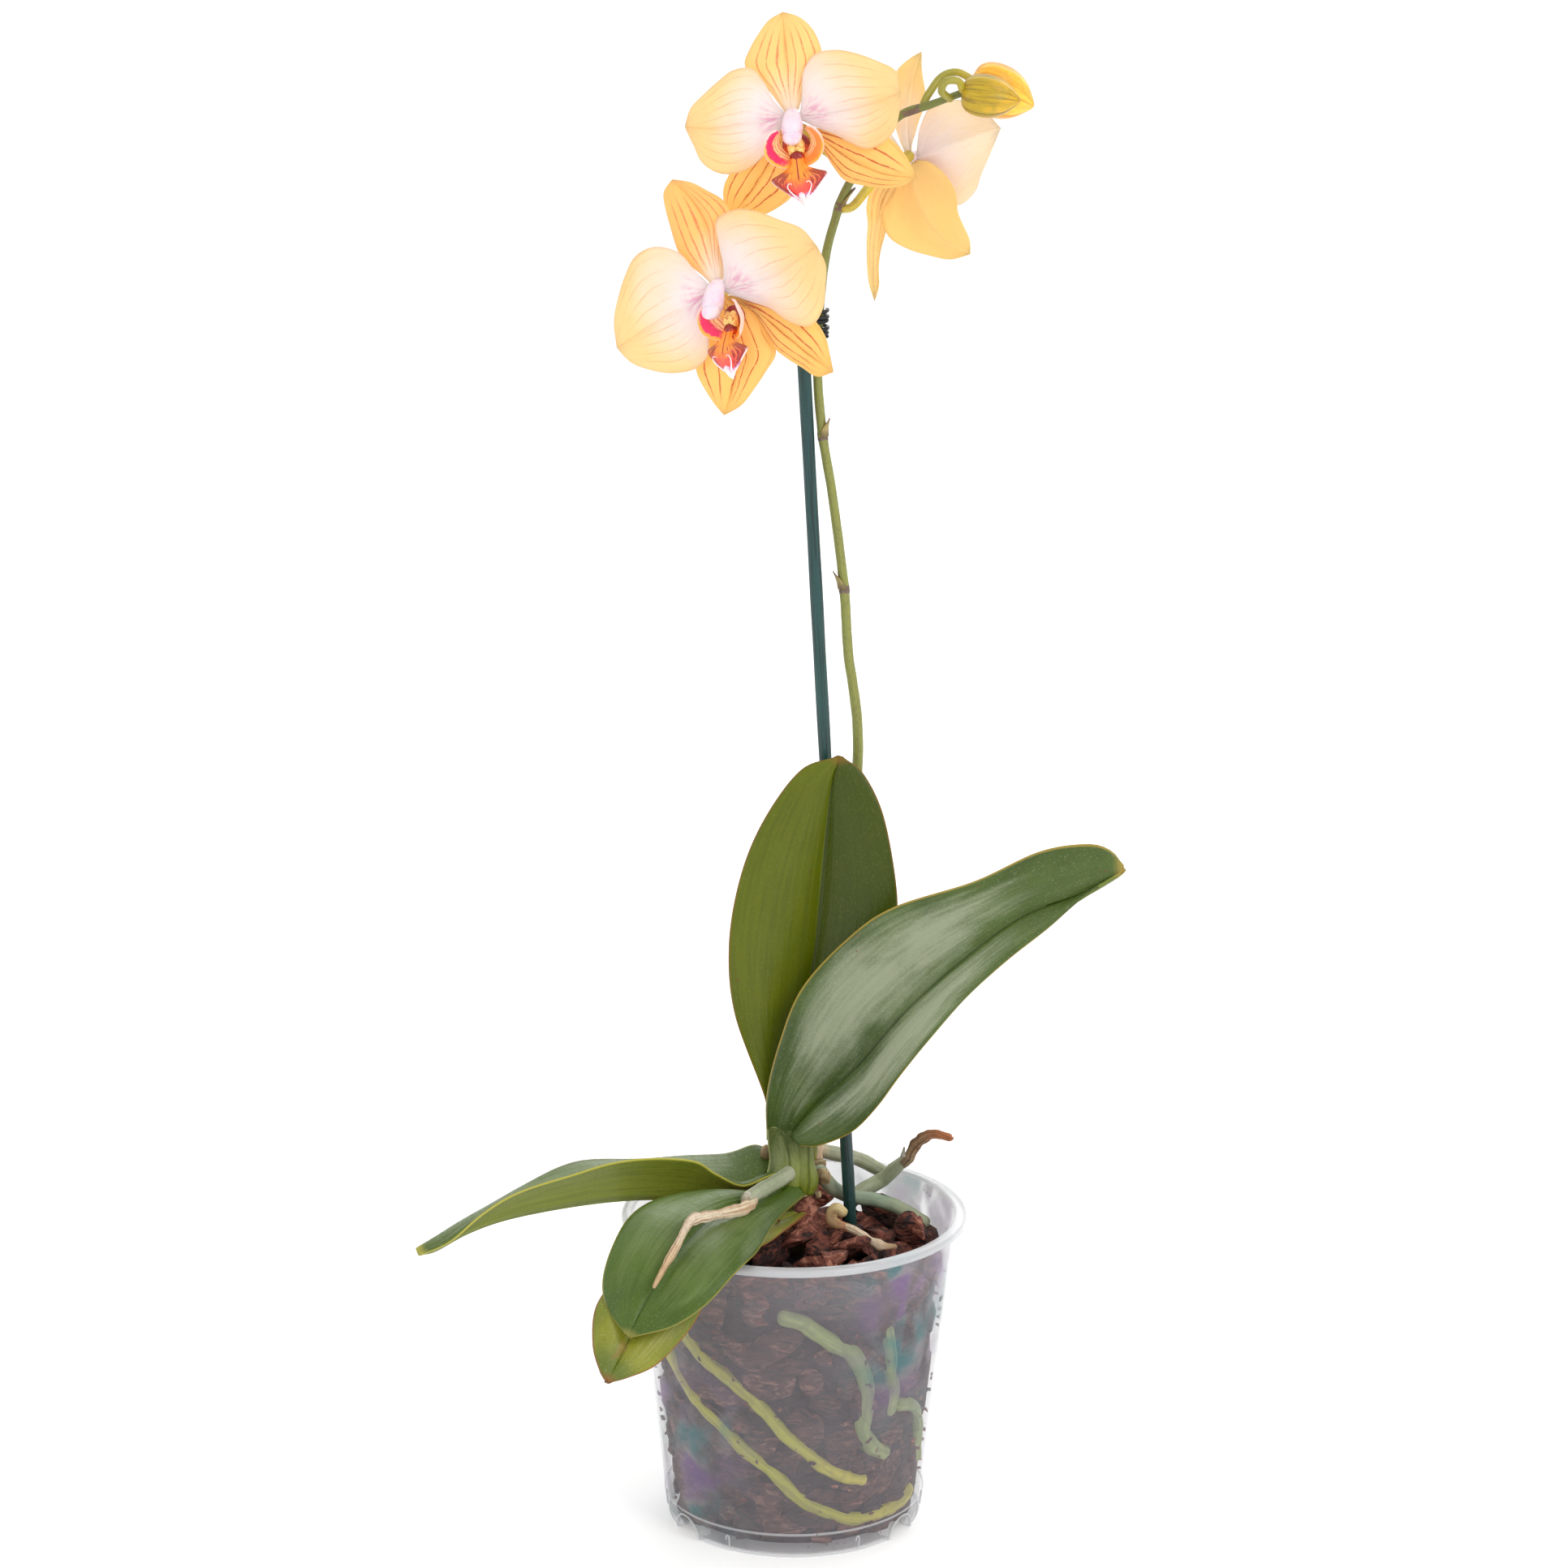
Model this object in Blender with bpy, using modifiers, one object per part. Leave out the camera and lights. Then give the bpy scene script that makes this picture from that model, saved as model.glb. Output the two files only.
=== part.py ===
"""Potted moth orchid: three open flowers and two buds on a staked spike, five leaves, aerial roots,
and a clear nursery pot filled with bark.

Units are metres, +Z is up. The origin is on the pot's axis, at the flat pad the pot stands on.
Plant points are measured from the middle of the bark surface, so they follow the pot's height.
"""

import math
import random

import bmesh
import bpy
from mathutils import Matrix, Vector

CLEARANCE = 0.0003
SEED = 11

# Clear pot
POT_HEIGHT = 0.111
POT_FOOT_RADIUS = 0.0442
POT_WALL_SLOPE = 0.1113
POT_WALL = 0.0008
POT_RIM_RADIUS = 0.060
POT_RIM_DEPTH = 0.0022
POT_STEPS = 40
PAD_RADIUS = 0.0145
PAD_THICKNESS = 0.0012
FLOOR_LIFT = 0.0018
FLOOR_THICKNESS = 0.0012
FLOOR_RADIUS = 0.0385
FOOT_WIDTH = 0.0032
RING_HEIGHT = 0.009
RING_STEP = 0.0004
NOTCH_ANGLES = (-57.0, 57.0, 180.0)
NOTCH_WIDTH = 0.0140
NOTCH_HEIGHT = 0.0068
SLOT_ANGLES = (-150.0, -90.0, -30.0, 30.0, 90.0, 150.0)
SLOT_WIDTH = 0.0014
SLOT_LOW = 0.0015
SLOT_HIGH = 0.0058

# Bark
BARK_BELOW_RIM = 0.014
BARK_SIDE_GAP = 0.0015
BARK_ROUGHNESS = 0.0022
BARK_STEPS = 32
CHIP_JITTER = 0.16

# Support stake and its wire tie
STAKE_RADIUS = 0.00225
STAKE_FOOT_HEIGHT = 0.012
STAKE_AT_BARK = (0.0200, 0.0180)
STAKE_TOP = (0.0020, 0.0330, 0.3260)
TIE_WIRE_RADIUS = 0.00055
TIE_TURNS = 6
TIE_PITCH = 0.0016
TIE_HEIGHT = 0.3195
TIE_POINTS_PER_TURN = 10

# Plant
LEAF_THICKNESS = 0.0013
LEAF_STATIONS = 13
LEAF_STRIPS = 4
WALL_ROOT_GAP = 0.0004

# Flower
PETAL_THICKNESS = 0.0008
PETAL_STATIONS = 9
PETAL_STRIPS = 4
HEART_RADIUS = 0.0030
PETAL_LAYER = 0.0016
SEPAL_LAYER = 0.0015
DORSAL_LENGTH = 0.0360
DORSAL_HALF_WIDTH = 0.0128
PETAL_LENGTH = 0.0350
PETAL_HALF_WIDTH = 0.0195
LATERAL_LENGTH = 0.0390
LATERAL_HALF_WIDTH = 0.0122
COLUMN_LENGTH = 0.0085
COLUMN_RADIUS = 0.0021
CAP_RADIUS = 0.0028
PEDICEL_RADIUS = 0.0015

# Buds
YOUNG_BUD_LENGTH = 0.0180
YOUNG_BUD_RADIUS = 0.0067
OLD_BUD_LENGTH = 0.0205
OLD_BUD_RADIUS = 0.0078

BARK_TOP = POT_HEIGHT - BARK_BELOW_RIM
FLOOR_TOP = FLOOR_LIFT + FLOOR_THICKNESS

FINISHES = {
    "clear_plastic": ((0.62, 0.62, 0.64), 0.25, 0.0),
    "bark": ((0.12, 0.05, 0.035), 0.85, 0.0),
    "stake_green": ((0.01, 0.07, 0.06), 0.4, 0.0),
    "wire": ((0.02, 0.02, 0.02), 0.5, 0.6),
    "leaf_green": ((0.06, 0.13, 0.02), 0.4, 0.0),
    "stem_green": ((0.14, 0.18, 0.04), 0.5, 0.0),
    "petal_yellow": ((0.90, 0.62, 0.22), 0.55, 0.0),
    "sepal_orange": ((0.88, 0.48, 0.12), 0.55, 0.0),
    "lip_red": ((0.70, 0.05, 0.06), 0.45, 0.0),
    "column_white": ((0.86, 0.78, 0.80), 0.5, 0.0),
    "bud_olive": ((0.30, 0.30, 0.02), 0.5, 0.0),
    "root_grey": ((0.30, 0.34, 0.22), 0.7, 0.0),
    "dry_tan": ((0.45, 0.30, 0.16), 0.8, 0.0),
}


# ---------------------------------------------------------------- scene and helpers


def clear_scene():
    for obj in list(bpy.data.objects):
        bpy.data.objects.remove(obj, do_unlink=True)


def collection(name):
    made = bpy.data.collections.new(name)
    bpy.context.scene.collection.children.link(made)
    return made


def finish_of(name):
    """The material of a finish, made the first time it is asked for."""
    if name in bpy.data.materials:
        return bpy.data.materials[name]
    colour, roughness, metallic = FINISHES[name]
    material = bpy.data.materials.new(name)
    material.use_nodes = True
    shader = material.node_tree.nodes["Principled BSDF"]
    shader.inputs["Base Color"].default_value = (*colour, 1.0)
    shader.inputs["Roughness"].default_value = roughness
    shader.inputs["Metallic"].default_value = metallic
    return material


def add_part(obj, finish, parent=None):
    """Puts an object in the parts collection with its finish and its parent."""
    PARTS.objects.link(obj)
    obj.data.materials.append(finish_of(finish))
    obj.parent = parent
    return obj


def add_cutter(obj, parent=None):
    CUTTERS.objects.link(obj)
    obj.parent = parent
    obj.hide_render = True
    obj.display_type = "WIRE"
    return obj


def add_empty(name, location=(0.0, 0.0, 0.0)):
    obj = bpy.data.objects.new(name, None)
    PARTS.objects.link(obj)
    obj.location = location
    return obj


def smooth_path(points, count):
    """Evenly spaced points on a Catmull-Rom curve through the given ones."""
    knots = [Vector(p) for p in points]
    ends = [2 * knots[0] - knots[1], *knots, 2 * knots[-1] - knots[-2]]
    fine = []
    for i in range(len(knots) - 1):
        a, b, c, d = ends[i : i + 4]
        for step in range(12):
            t = step / 12
            fine.append(
                0.5
                * (
                    2 * b
                    + (c - a) * t
                    + (2 * a - 5 * b + 4 * c - d) * t * t
                    + (3 * b - a - 3 * c + d) * t**3
                )
            )
    fine.append(knots[-1])
    reach = [0.0]
    for a, b in zip(fine, fine[1:]):
        reach.append(reach[-1] + (b - a).length)
    path = []
    at = 0
    for i in range(count):
        want = reach[-1] * i / (count - 1)
        while at < len(fine) - 2 and reach[at + 1] < want:
            at += 1
        share = (want - reach[at]) / max(reach[at + 1] - reach[at], 1e-9)
        path.append(fine[at].lerp(fine[at + 1], min(share, 1.0)))
    return path


def spread(values, count):
    """The values drawn out evenly over count places, with straight lines between them."""
    made = []
    for i in range(count):
        at = (len(values) - 1) * i / (count - 1)
        low = min(int(at), len(values) - 2)
        made.append(values[low] + (values[low + 1] - values[low]) * (at - low))
    return made


def tube_object(name, path, radii, roundness=1, closed=False):
    """A round bar along the path, as a curve with a bevel and filled caps."""
    curve = bpy.data.curves.new(name, "CURVE")
    curve.dimensions = "3D"
    curve.bevel_depth = 1.0
    curve.bevel_resolution = roundness
    curve.use_fill_caps = True
    spline = curve.splines.new("POLY")
    spline.points.add(len(path) - 1)
    spline.use_cyclic_u = closed
    for point, place, radius in zip(spline.points, path, radii):
        point.co = (*place, 1.0)
        point.radius = radius
    return bpy.data.objects.new(name, curve)


def tube(name, points, radii, count, finish, parent=None, roundness=1):
    path = smooth_path(points, count)
    obj = tube_object(name, path, spread(radii, count), roundness)
    return add_part(obj, finish, parent)


def meshed(obj):
    """The object made a plain mesh of what it evaluates to, with its caps welded."""
    bpy.context.view_layer.update()
    graph = bpy.context.evaluated_depsgraph_get()
    mesh = bpy.data.meshes.new_from_object(obj.evaluated_get(graph))
    work = bmesh.new()
    work.from_mesh(mesh)
    bmesh.ops.remove_doubles(work, verts=work.verts, dist=1e-6)
    bmesh.ops.recalc_face_normals(work, faces=work.faces)
    work.to_mesh(mesh)
    work.free()
    made = bpy.data.objects.new(obj.name + "_mesh", mesh)
    made.matrix_world = obj.matrix_world.copy()
    bpy.data.objects.remove(obj, do_unlink=True)
    return made


def tube_cutter(name, path, radii, roundness=1):
    obj = tube_object(name, path, radii, roundness)
    CUTTERS.objects.link(obj)
    return add_cutter(meshed(obj))


def boolean(obj, other, operation="DIFFERENCE"):
    modifier = obj.modifiers.new(other.name, "BOOLEAN")
    modifier.operation = operation
    modifier.solver = "EXACT"
    modifier.object = other


def turned_object(name, profile, steps):
    """A profile in the XZ plane, turned about Z."""
    mesh = bpy.data.meshes.new(name)
    points = [(radius, 0.0, height) for radius, height in profile]
    mesh.from_pydata(points, [(i, i + 1) for i in range(len(points) - 1)], [])
    obj = bpy.data.objects.new(name, mesh)
    screw = obj.modifiers.new("turn", "SCREW")
    screw.steps = steps
    screw.render_steps = steps
    screw.use_merge_vertices = True
    screw.merge_threshold = 1e-5
    return obj


def sheet_object(name, rows, thickness):
    """A closed sheet over a grid of points, given as equal rows, thickened evenly to both sides."""
    width = len(rows[0])
    mesh = bpy.data.meshes.new(name)
    faces = []
    for i in range(len(rows) - 1):
        for j in range(width - 1):
            corner = i * width + j
            faces.append((corner, corner + 1, corner + width + 1, corner + width))
    mesh.from_pydata([point for row in rows for point in row], [], faces)
    mesh.shade_smooth()
    obj = bpy.data.objects.new(name, mesh)
    shell = obj.modifiers.new("thickness", "SOLIDIFY")
    shell.thickness = thickness
    shell.offset = 0.0
    return obj


# ---------------------------------------------------------------- pot


def wall_radius(height):
    """Outer radius of the pot's tapered wall at a height."""
    return POT_FOOT_RADIUS + POT_WALL_SLOPE * height


def bore_radius(height):
    return wall_radius(height) - POT_WALL


def around(angle, radius, height):
    """A point at an angle from the front, positive to the right, in degrees."""
    turn = math.radians(angle)
    return Vector((radius * math.sin(turn), -radius * math.cos(turn), height))


def pot_profile():
    under_rim = POT_HEIGHT - POT_RIM_DEPTH
    foot_inside = POT_FOOT_RADIUS - FOOT_WIDTH
    return [
        (0.0, PAD_THICKNESS),
        (PAD_RADIUS, PAD_THICKNESS),
        (PAD_RADIUS + FLOOR_LIFT, FLOOR_TOP),
        (FLOOR_RADIUS, FLOOR_TOP),
        (foot_inside - POT_WALL / 2, FLOOR_THICKNESS),
        (bore_radius(FLOOR_THICKNESS), FLOOR_THICKNESS),
        (bore_radius(POT_HEIGHT), POT_HEIGHT),
        (POT_RIM_RADIUS - POT_WALL / 2, POT_HEIGHT),
        (POT_RIM_RADIUS, POT_HEIGHT - POT_WALL / 2),
        (POT_RIM_RADIUS, under_rim),
        (POT_RIM_RADIUS - POT_WALL, under_rim),
        (POT_RIM_RADIUS - POT_WALL, POT_HEIGHT - POT_WALL),
        (wall_radius(POT_HEIGHT), POT_HEIGHT - POT_WALL),
        (wall_radius(RING_HEIGHT) + RING_STEP, RING_HEIGHT),
        (wall_radius(RING_HEIGHT), RING_HEIGHT - RING_STEP),
        (POT_FOOT_RADIUS, POT_WALL),
        (POT_FOOT_RADIUS - POT_WALL, 0.0),
        (foot_inside, 0.0),
        (FLOOR_RADIUS, FLOOR_LIFT),
        (PAD_RADIUS + FLOOR_LIFT + POT_WALL, FLOOR_LIFT),
        (PAD_RADIUS + POT_WALL, 0.0),
        (0.0, 0.0),
    ]


def radial_cutter(name, angle, height, half_width, half_height, sides):
    """A short bar lying across the foot of the wall, pointing at the pot's axis."""
    work = bmesh.new()
    bmesh.ops.create_cone(
        work, cap_ends=True, segments=sides, radius1=1.0, radius2=1.0, depth=1.0
    )
    reach = 3 * FOOT_WIDTH
    shape = Matrix.Diagonal((half_width, half_height, reach, 1.0))
    lie = Matrix.Rotation(math.radians(90), 4, "X")
    bmesh.ops.transform(work, matrix=lie @ shape, verts=work.verts)
    mesh = bpy.data.meshes.new(name)
    work.to_mesh(mesh)
    work.free()
    obj = add_cutter(bpy.data.objects.new(name, mesh))
    obj.location = around(angle, wall_radius(height), height)
    obj.rotation_euler = (0.0, 0.0, math.radians(angle))
    return obj


def make_pot():
    pot = add_part(turned_object("pot", pot_profile(), POT_STEPS), "clear_plastic")
    for number, angle in enumerate(NOTCH_ANGLES):
        cutter = radial_cutter(f"cut_notch_{number}", angle, 0.0, NOTCH_WIDTH / 2, NOTCH_HEIGHT, 20)
        boolean(pot, cutter)
    middle = (SLOT_LOW + SLOT_HIGH) / 2
    for number, angle in enumerate(SLOT_ANGLES):
        half = (SLOT_HIGH - SLOT_LOW) / 2
        cutter = radial_cutter(f"cut_slot_{number}", angle, middle, SLOT_WIDTH / 2, half, 8)
        boolean(pot, cutter)
    return pot


# ---------------------------------------------------------------- bark and what stands in it


def make_bark_bed(cutters):
    """The packed bark as one body: a taper inside the wall with an uneven top, cut for what it holds."""
    low = FLOOR_TOP + CLEARANCE
    top_radius = bore_radius(BARK_TOP) - BARK_SIDE_GAP
    rings = [top_radius * share for share in (0.0, 0.22, 0.45, 0.68, 0.88, 1.0)]
    middle = (low + BARK_TOP) / 2
    profile = [(radius, BARK_TOP) for radius in rings]
    profile += [(bore_radius(middle) - BARK_SIDE_GAP, middle)]
    profile += [(bore_radius(low) - BARK_SIDE_GAP, low), (0.0, low)]
    turned = turned_object("bark_bed_blank", profile, BARK_STEPS)
    CUTTERS.objects.link(turned)
    bed = meshed(turned)
    bed.name = "bark_bed"
    dice = random.Random(SEED)
    for vertex in bed.data.vertices:
        if vertex.co.z > BARK_TOP - CLEARANCE:
            vertex.co.z -= dice.uniform(0.0, BARK_ROUGHNESS)
    add_part(bed, "bark")
    for cutter in cutters:
        boolean(bed, cutter)
    return bed


def make_chip(name, number, place, size, turn):
    """One loose bark chip: a jittered block whose lowest corner rests on the bark at its place."""
    dice = random.Random(SEED + number)
    work = bmesh.new()
    bmesh.ops.create_cube(work, size=1.0)
    bmesh.ops.subdivide_edges(work, edges=work.edges, cuts=1, use_grid_fill=True)
    for vertex in work.verts:
        vertex.co *= 1.0 - 0.22 * (vertex.co.length_squared - 0.25)
        vertex.co += Vector([dice.uniform(-CHIP_JITTER, CHIP_JITTER) / 2 for _ in range(3)])
    turned = Matrix.Rotation(math.radians(turn[1]), 4, "Z") @ Matrix.Rotation(math.radians(turn[0]), 4, "Y")
    bmesh.ops.transform(work, matrix=turned @ Matrix.Diagonal((*size, 1.0)), verts=work.verts)
    lowest = min(vertex.co.z for vertex in work.verts)
    mesh = bpy.data.meshes.new(name)
    work.to_mesh(mesh)
    work.free()
    chip = add_part(bpy.data.objects.new(name, mesh), "bark", PLANT)
    chip.location = (place[0], place[1], CLEARANCE - lowest)
    return chip


def stake_ends():
    """The stake's foot and top, on one straight line through its place in the bark surface."""
    top = Vector((STAKE_TOP[0], STAKE_TOP[1], BARK_TOP + STAKE_TOP[2]))
    at_bark = Vector((*STAKE_AT_BARK, BARK_TOP))
    slope = (at_bark - top) / (top.z - at_bark.z)
    foot = at_bark + slope * (BARK_TOP - STAKE_FOOT_HEIGHT)
    return foot, top


def make_stake():
    foot, top = stake_ends()
    cut_foot = foot - Vector((0, 0, CLEARANCE))
    cutter = tube_cutter("cut_stake", [cut_foot, top], [STAKE_RADIUS + CLEARANCE] * 2, 3)
    add_part(tube_object("support_stake", [foot, top], [STAKE_RADIUS] * 2, 3), "stake_green")
    return cutter


# ---------------------------------------------------------------- leaves, crown and roots

CROWN_ROUTE = [(0.002, 0.013, -0.012), (0.002, 0.014, 0.009), (0.002, 0.015, 0.02),
(0.002, 0.016, 0.028), (0.001, 0.0155, 0.034)]
CROWN_RADII = [0.0036, 0.0046, 0.0052, 0.0042, 0.0018]

LEAVES = {
    "leaf_upright": (
        [(-0.0095, 0.018, 0.0345), (-0.01, 0.014, 0.0495), (-0.0205, 0.009, 0.082),
         (-0.0225, 0.008, 0.1075), (-0.0185, 0.009, 0.1315),
         (-0.0105, 0.012, 0.151), (0.002, 0.016, 0.1675), (0.0145, 0.018, 0.1718)],
        [(-0.0045, 0.02, 0.0345), (-0.001, 0.02, 0.064), (0.006, 0.019, 0.094), (0.009, 0.019, 0.12),
         (0.011, 0.019, 0.1435), (0.013, 0.018, 0.1625),
         (0.0155, 0.018, 0.172)],
        [(0.001, 0.0185, 0.036), (0.0115, 0.014, 0.06), (0.023, 0.01, 0.085), (0.0325, 0.009, 0.1085),
         (0.0355, 0.009, 0.123), (0.031, 0.012, 0.151),
         (0.024, 0.016, 0.166), (0.0165, 0.018, 0.1718)],
    ),
    "leaf_right": (
        [(-0.0095, 0.012, 0.0355), (-0.0095, 0.01, 0.0525), (-0.005, 0.006, 0.073),
         (0.003, 0.002, 0.0945), (0.02, -0.002, 0.1145), (0.035, -0.005, 0.1255),
         (0.061, -0.01, 0.1355), (0.0825, -0.014, 0.147), (0.0985, -0.017, 0.1505),
         (0.1065, -0.018, 0.1485), (0.1105, -0.019, 0.1435)],
        [(-0.001, 0.011, 0.0375), (0.009, 0.008, 0.0515), (0.023, 0.004, 0.0663),
         (0.039, -0.002, 0.0873), (0.0555, -0.007, 0.1048), (0.077, -0.012, 0.1233),
         (0.096, -0.016, 0.1317), (0.108, -0.019, 0.1395), (0.111, -0.0192, 0.1425)],
        [(0.002, 0.004, 0.036), (0.009, 0.0, 0.0375), (0.02, -0.003, 0.0435), (0.0285, -0.006, 0.0535),
         (0.0365, -0.009, 0.066), (0.0475, -0.012, 0.0815),
         (0.0585, -0.014, 0.0955), (0.072, -0.016, 0.109), (0.0855, -0.018, 0.121),
         (0.096, -0.02, 0.1315), (0.108, -0.02, 0.1405),
         (0.1105, -0.0195, 0.1418)],
    ),
    "leaf_left": (
        [(-0.0025, 0.008, 0.026), (-0.01, 0.0015, 0.025), (-0.018, -0.005, 0.0245),
         (-0.027, -0.01, 0.031), (-0.036, -0.013, 0.0367), (-0.0605, -0.018, 0.0375),
         (-0.0775, -0.019, 0.0335), (-0.094, -0.019, 0.027), (-0.107, -0.018, 0.0185),
         (-0.1185, -0.016, 0.008), (-0.129, -0.012, 0.0015)],
        [(-0.0055, 0.012, 0.024), (-0.018, 0.004, 0.02), (-0.036, -0.001, 0.0205),
         (-0.0585, -0.005, 0.021), (-0.078, -0.008, 0.0195), (-0.099, -0.011, 0.016),
         (-0.113, -0.012, 0.011), (-0.124, -0.012, 0.0045), (-0.13, -0.0105, 0.0018)],
        [(-0.008, 0.018, 0.029), (-0.014, 0.021, 0.0305), (-0.025, 0.022, 0.0265),
         (-0.045, 0.02, 0.0265), (-0.069, 0.016, 0.0265),
         (-0.082, 0.013, 0.0245), (-0.096, 0.008, 0.0195), (-0.1095, 0.003, 0.0125),
         (-0.1235, -0.003, 0.0055), (-0.131, -0.009, 0.003)],
    ),
    "leaf_front_left": (
        [(-0.0035, 0.0065, 0.0193), (-0.0135, -0.002, 0.0203), (-0.0305, -0.014, 0.0265),
         (-0.0465, -0.028, 0.0275), (-0.056, -0.042, 0.0265),
         (-0.0615, -0.056, 0.02), (-0.064, -0.0655, 0.0115), (-0.062, -0.0725, 0.0046),
         (-0.056, -0.081, -0.0002)],
        [(0.0, 0.0065, 0.0205), (-0.0095, -0.008, 0.0205), (-0.022, -0.025, 0.0228),
         (-0.0325, -0.047, 0.0228), (-0.042, -0.064, 0.0176),
         (-0.0485, -0.073, 0.0093), (-0.055, -0.082, -0.001)],
        [(0.0035, 0.005, 0.017), (-0.005, -0.016, 0.017), (-0.0115, -0.045, 0.017),
         (-0.016, -0.06, 0.0172), (-0.02, -0.068, 0.0155),
         (-0.029, -0.076, 0.0083), (-0.0405, -0.08, 0.002), (-0.054, -0.0825, -0.0009)],
    ),
    "leaf_lowest": (
        [(0.001, 0.0075, 0.0105), (-0.012, -0.004, 0.013), (-0.028, -0.02, 0.017),
         (-0.045, -0.039, 0.0168), (-0.051, -0.046, 0.0157), (-0.058, -0.056, 0.0125),
         (-0.066, -0.07, 0.0055), (-0.067, -0.0795, -0.0045), (-0.0645, -0.086, -0.0115),
         (-0.0625, -0.088, -0.014)],
        [(0.003, 0.007, 0.0095), (-0.008, -0.008, 0.0104), (-0.019, -0.027, 0.0145),
         (-0.034, -0.0465, 0.0159), (-0.039, -0.054, 0.0146), (-0.045, -0.063, 0.0085),
         (-0.0535, -0.0745, -0.0018), (-0.0585, -0.0825, -0.0095), (-0.062, -0.088, -0.0145)],
        [(0.005, 0.0065, 0.0105), (-0.003, -0.012, 0.0106), (-0.011, -0.034, 0.0135),
         (-0.0225, -0.0525, 0.0157), (-0.0265, -0.0605, 0.0138), (-0.03, -0.0675, 0.006),
         (-0.035, -0.072, -0.0023), (-0.0455, -0.08, -0.0113), (-0.055, -0.085, -0.014),
         (-0.0615, -0.0875, -0.0148)],
    ),
}
DROOPING_LEAVES = ("leaf_front_left", "leaf_lowest")
LEAF_RIM_DESIGN = 0.060

AERIAL_ROOTS = {
    "aerial_root_over_leaf": (
        "dry_tan", [0.0025, 0.0025, 0.0024, 0.002, 0.0018, 0.0016, 0.0016, 0.0013, 0.0011],
        [(0.001, 0.005, 0.026), (-0.0095, -0.012, 0.026), (-0.015, -0.02, 0.0255),
         (-0.017, -0.03, 0.026), (-0.027, -0.042, 0.0265),
         (-0.035, -0.055, 0.0275), (-0.0385, -0.062, 0.0246), (-0.043, -0.07, 0.0192),
         (-0.0465, -0.076, 0.0146)],
    ),
    "aerial_root_right": (
        "root_grey", [0.0024, 0.0025, 0.0025, 0.0025, 0.0022],
        [(0.0095, 0.019, 0.0205), (0.013, 0.025, 0.0135), (0.019, 0.026, 0.0095), (0.029, 0.026, 0.008),
         (0.0375, 0.024, 0.0055), (0.045, 0.018, 0.0034)],
    ),
    "aerial_root_loop": (
        "root_grey", [0.0023, 0.0024, 0.0025, 0.0025, 0.0024],
        [(0.008, 0.027, 0.024), (0.0075, 0.031, 0.025), (0.0105, 0.036, 0.0225), (0.0165, 0.038, 0.0205),
         (0.0235, 0.041, 0.0175), (0.031, 0.044, 0.013)],
    ),
    "aerial_root_raised": (
        "dry_tan", [0.0025, 0.0025, 0.0023, 0.002, 0.0018, 0.0017],
        [(0.022, 0.033, 0.008), (0.031, 0.037, 0.0115), (0.037, 0.033, 0.019), (0.042, 0.028, 0.025),
         (0.045, 0.025, 0.031), (0.0495, 0.022, 0.034),
         (0.054, 0.02, 0.0335)],
    ),
    "aerial_root_front": (
        "dry_tan", [0.0019, 0.0022, 0.0018, 0.0017, 0.0016],
        [(0.014, 0.007, 0.0115), (0.0125, 0.004, 0.009), (0.016, 0.002, 0.0075),
         (0.0215, -0.002, 0.0065), (0.027, -0.007, 0.0045), (0.034, -0.008, 0.003)],
    ),
}

# Roots against the wall: radius, then degrees from the front and height as a share of the bark's depth
WALL_ROOTS = {
    "pot_root_long": (
        0.0023,
        [(-50, 0.80), (-39, 0.71), (-26, 0.64), (-13, 0.54), (-5, 0.45), (4, 0.38), (13, 0.30),
         (23, 0.25), (32, 0.22)],
    ),
    "pot_root_low": (
        0.0023,
        [(-67, 0.72), (-58, 0.63), (-46, 0.53), (-33, 0.45), (-22, 0.36), (-11, 0.29), (-1, 0.20),
         (8, 0.14),
         (25, 0.07), (41, 0.05), (60, 0.05), (72, 0.07)],
    ),
    "pot_root_bent": (
        0.0030,
        [(-4, 0.93), (4, 0.90), (13, 0.83), (24, 0.76), (30, 0.66), (32, 0.54), (31, 0.43), (36, 0.35),
         (44, 0.30)],
    ),
    "pot_root_short": (0.0021, [(40, 0.83), (43, 0.72), (43, 0.65), (46, 0.57), (45, 0.48)]),
    "pot_root_side": (0.0024, [(50, 0.49), (62, 0.45), (73, 0.35), (76, 0.26), (80, 0.18)]),
    "pot_root_stub": (0.0019, [(-46, 0.86), (-49, 0.90), (-53, 0.92)]),
}


def over_the_rim(points):
    """Points of a drooping leaf, moved out from the crown as the rim grows so that it still hangs clear."""
    stretch = POT_RIM_RADIUS / LEAF_RIM_DESIGN
    foot = Vector(CROWN_ROUTE[1])
    return [
        (foot.x + (x - foot.x) * stretch, foot.y + (y - foot.y) * stretch, z)
        for x, y, z in points
    ]


def make_leaf(name, rails):
    """A blade through three rails, one margin, the midrib and the other margin."""
    if name in DROOPING_LEAVES:
        rails = [over_the_rim(rail) for rail in rails]
    left, middle, right = [smooth_path(rail, LEAF_STATIONS) for rail in rails]
    rows = []
    for a, m, b in zip(left, middle, right):
        row = []
        for strip in range(LEAF_STRIPS + 1):
            across = 2 * strip / LEAF_STRIPS - 1
            flat = m.lerp(a if across < 0 else b, abs(across))
            sag = (m - (a + b) / 2) * 0.35 * abs(across) * (1 - abs(across))
            row.append(flat + sag)
        rows.append(row)
    return add_part(sheet_object(name, rows, LEAF_THICKNESS), "leaf_green", PLANT)


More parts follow.
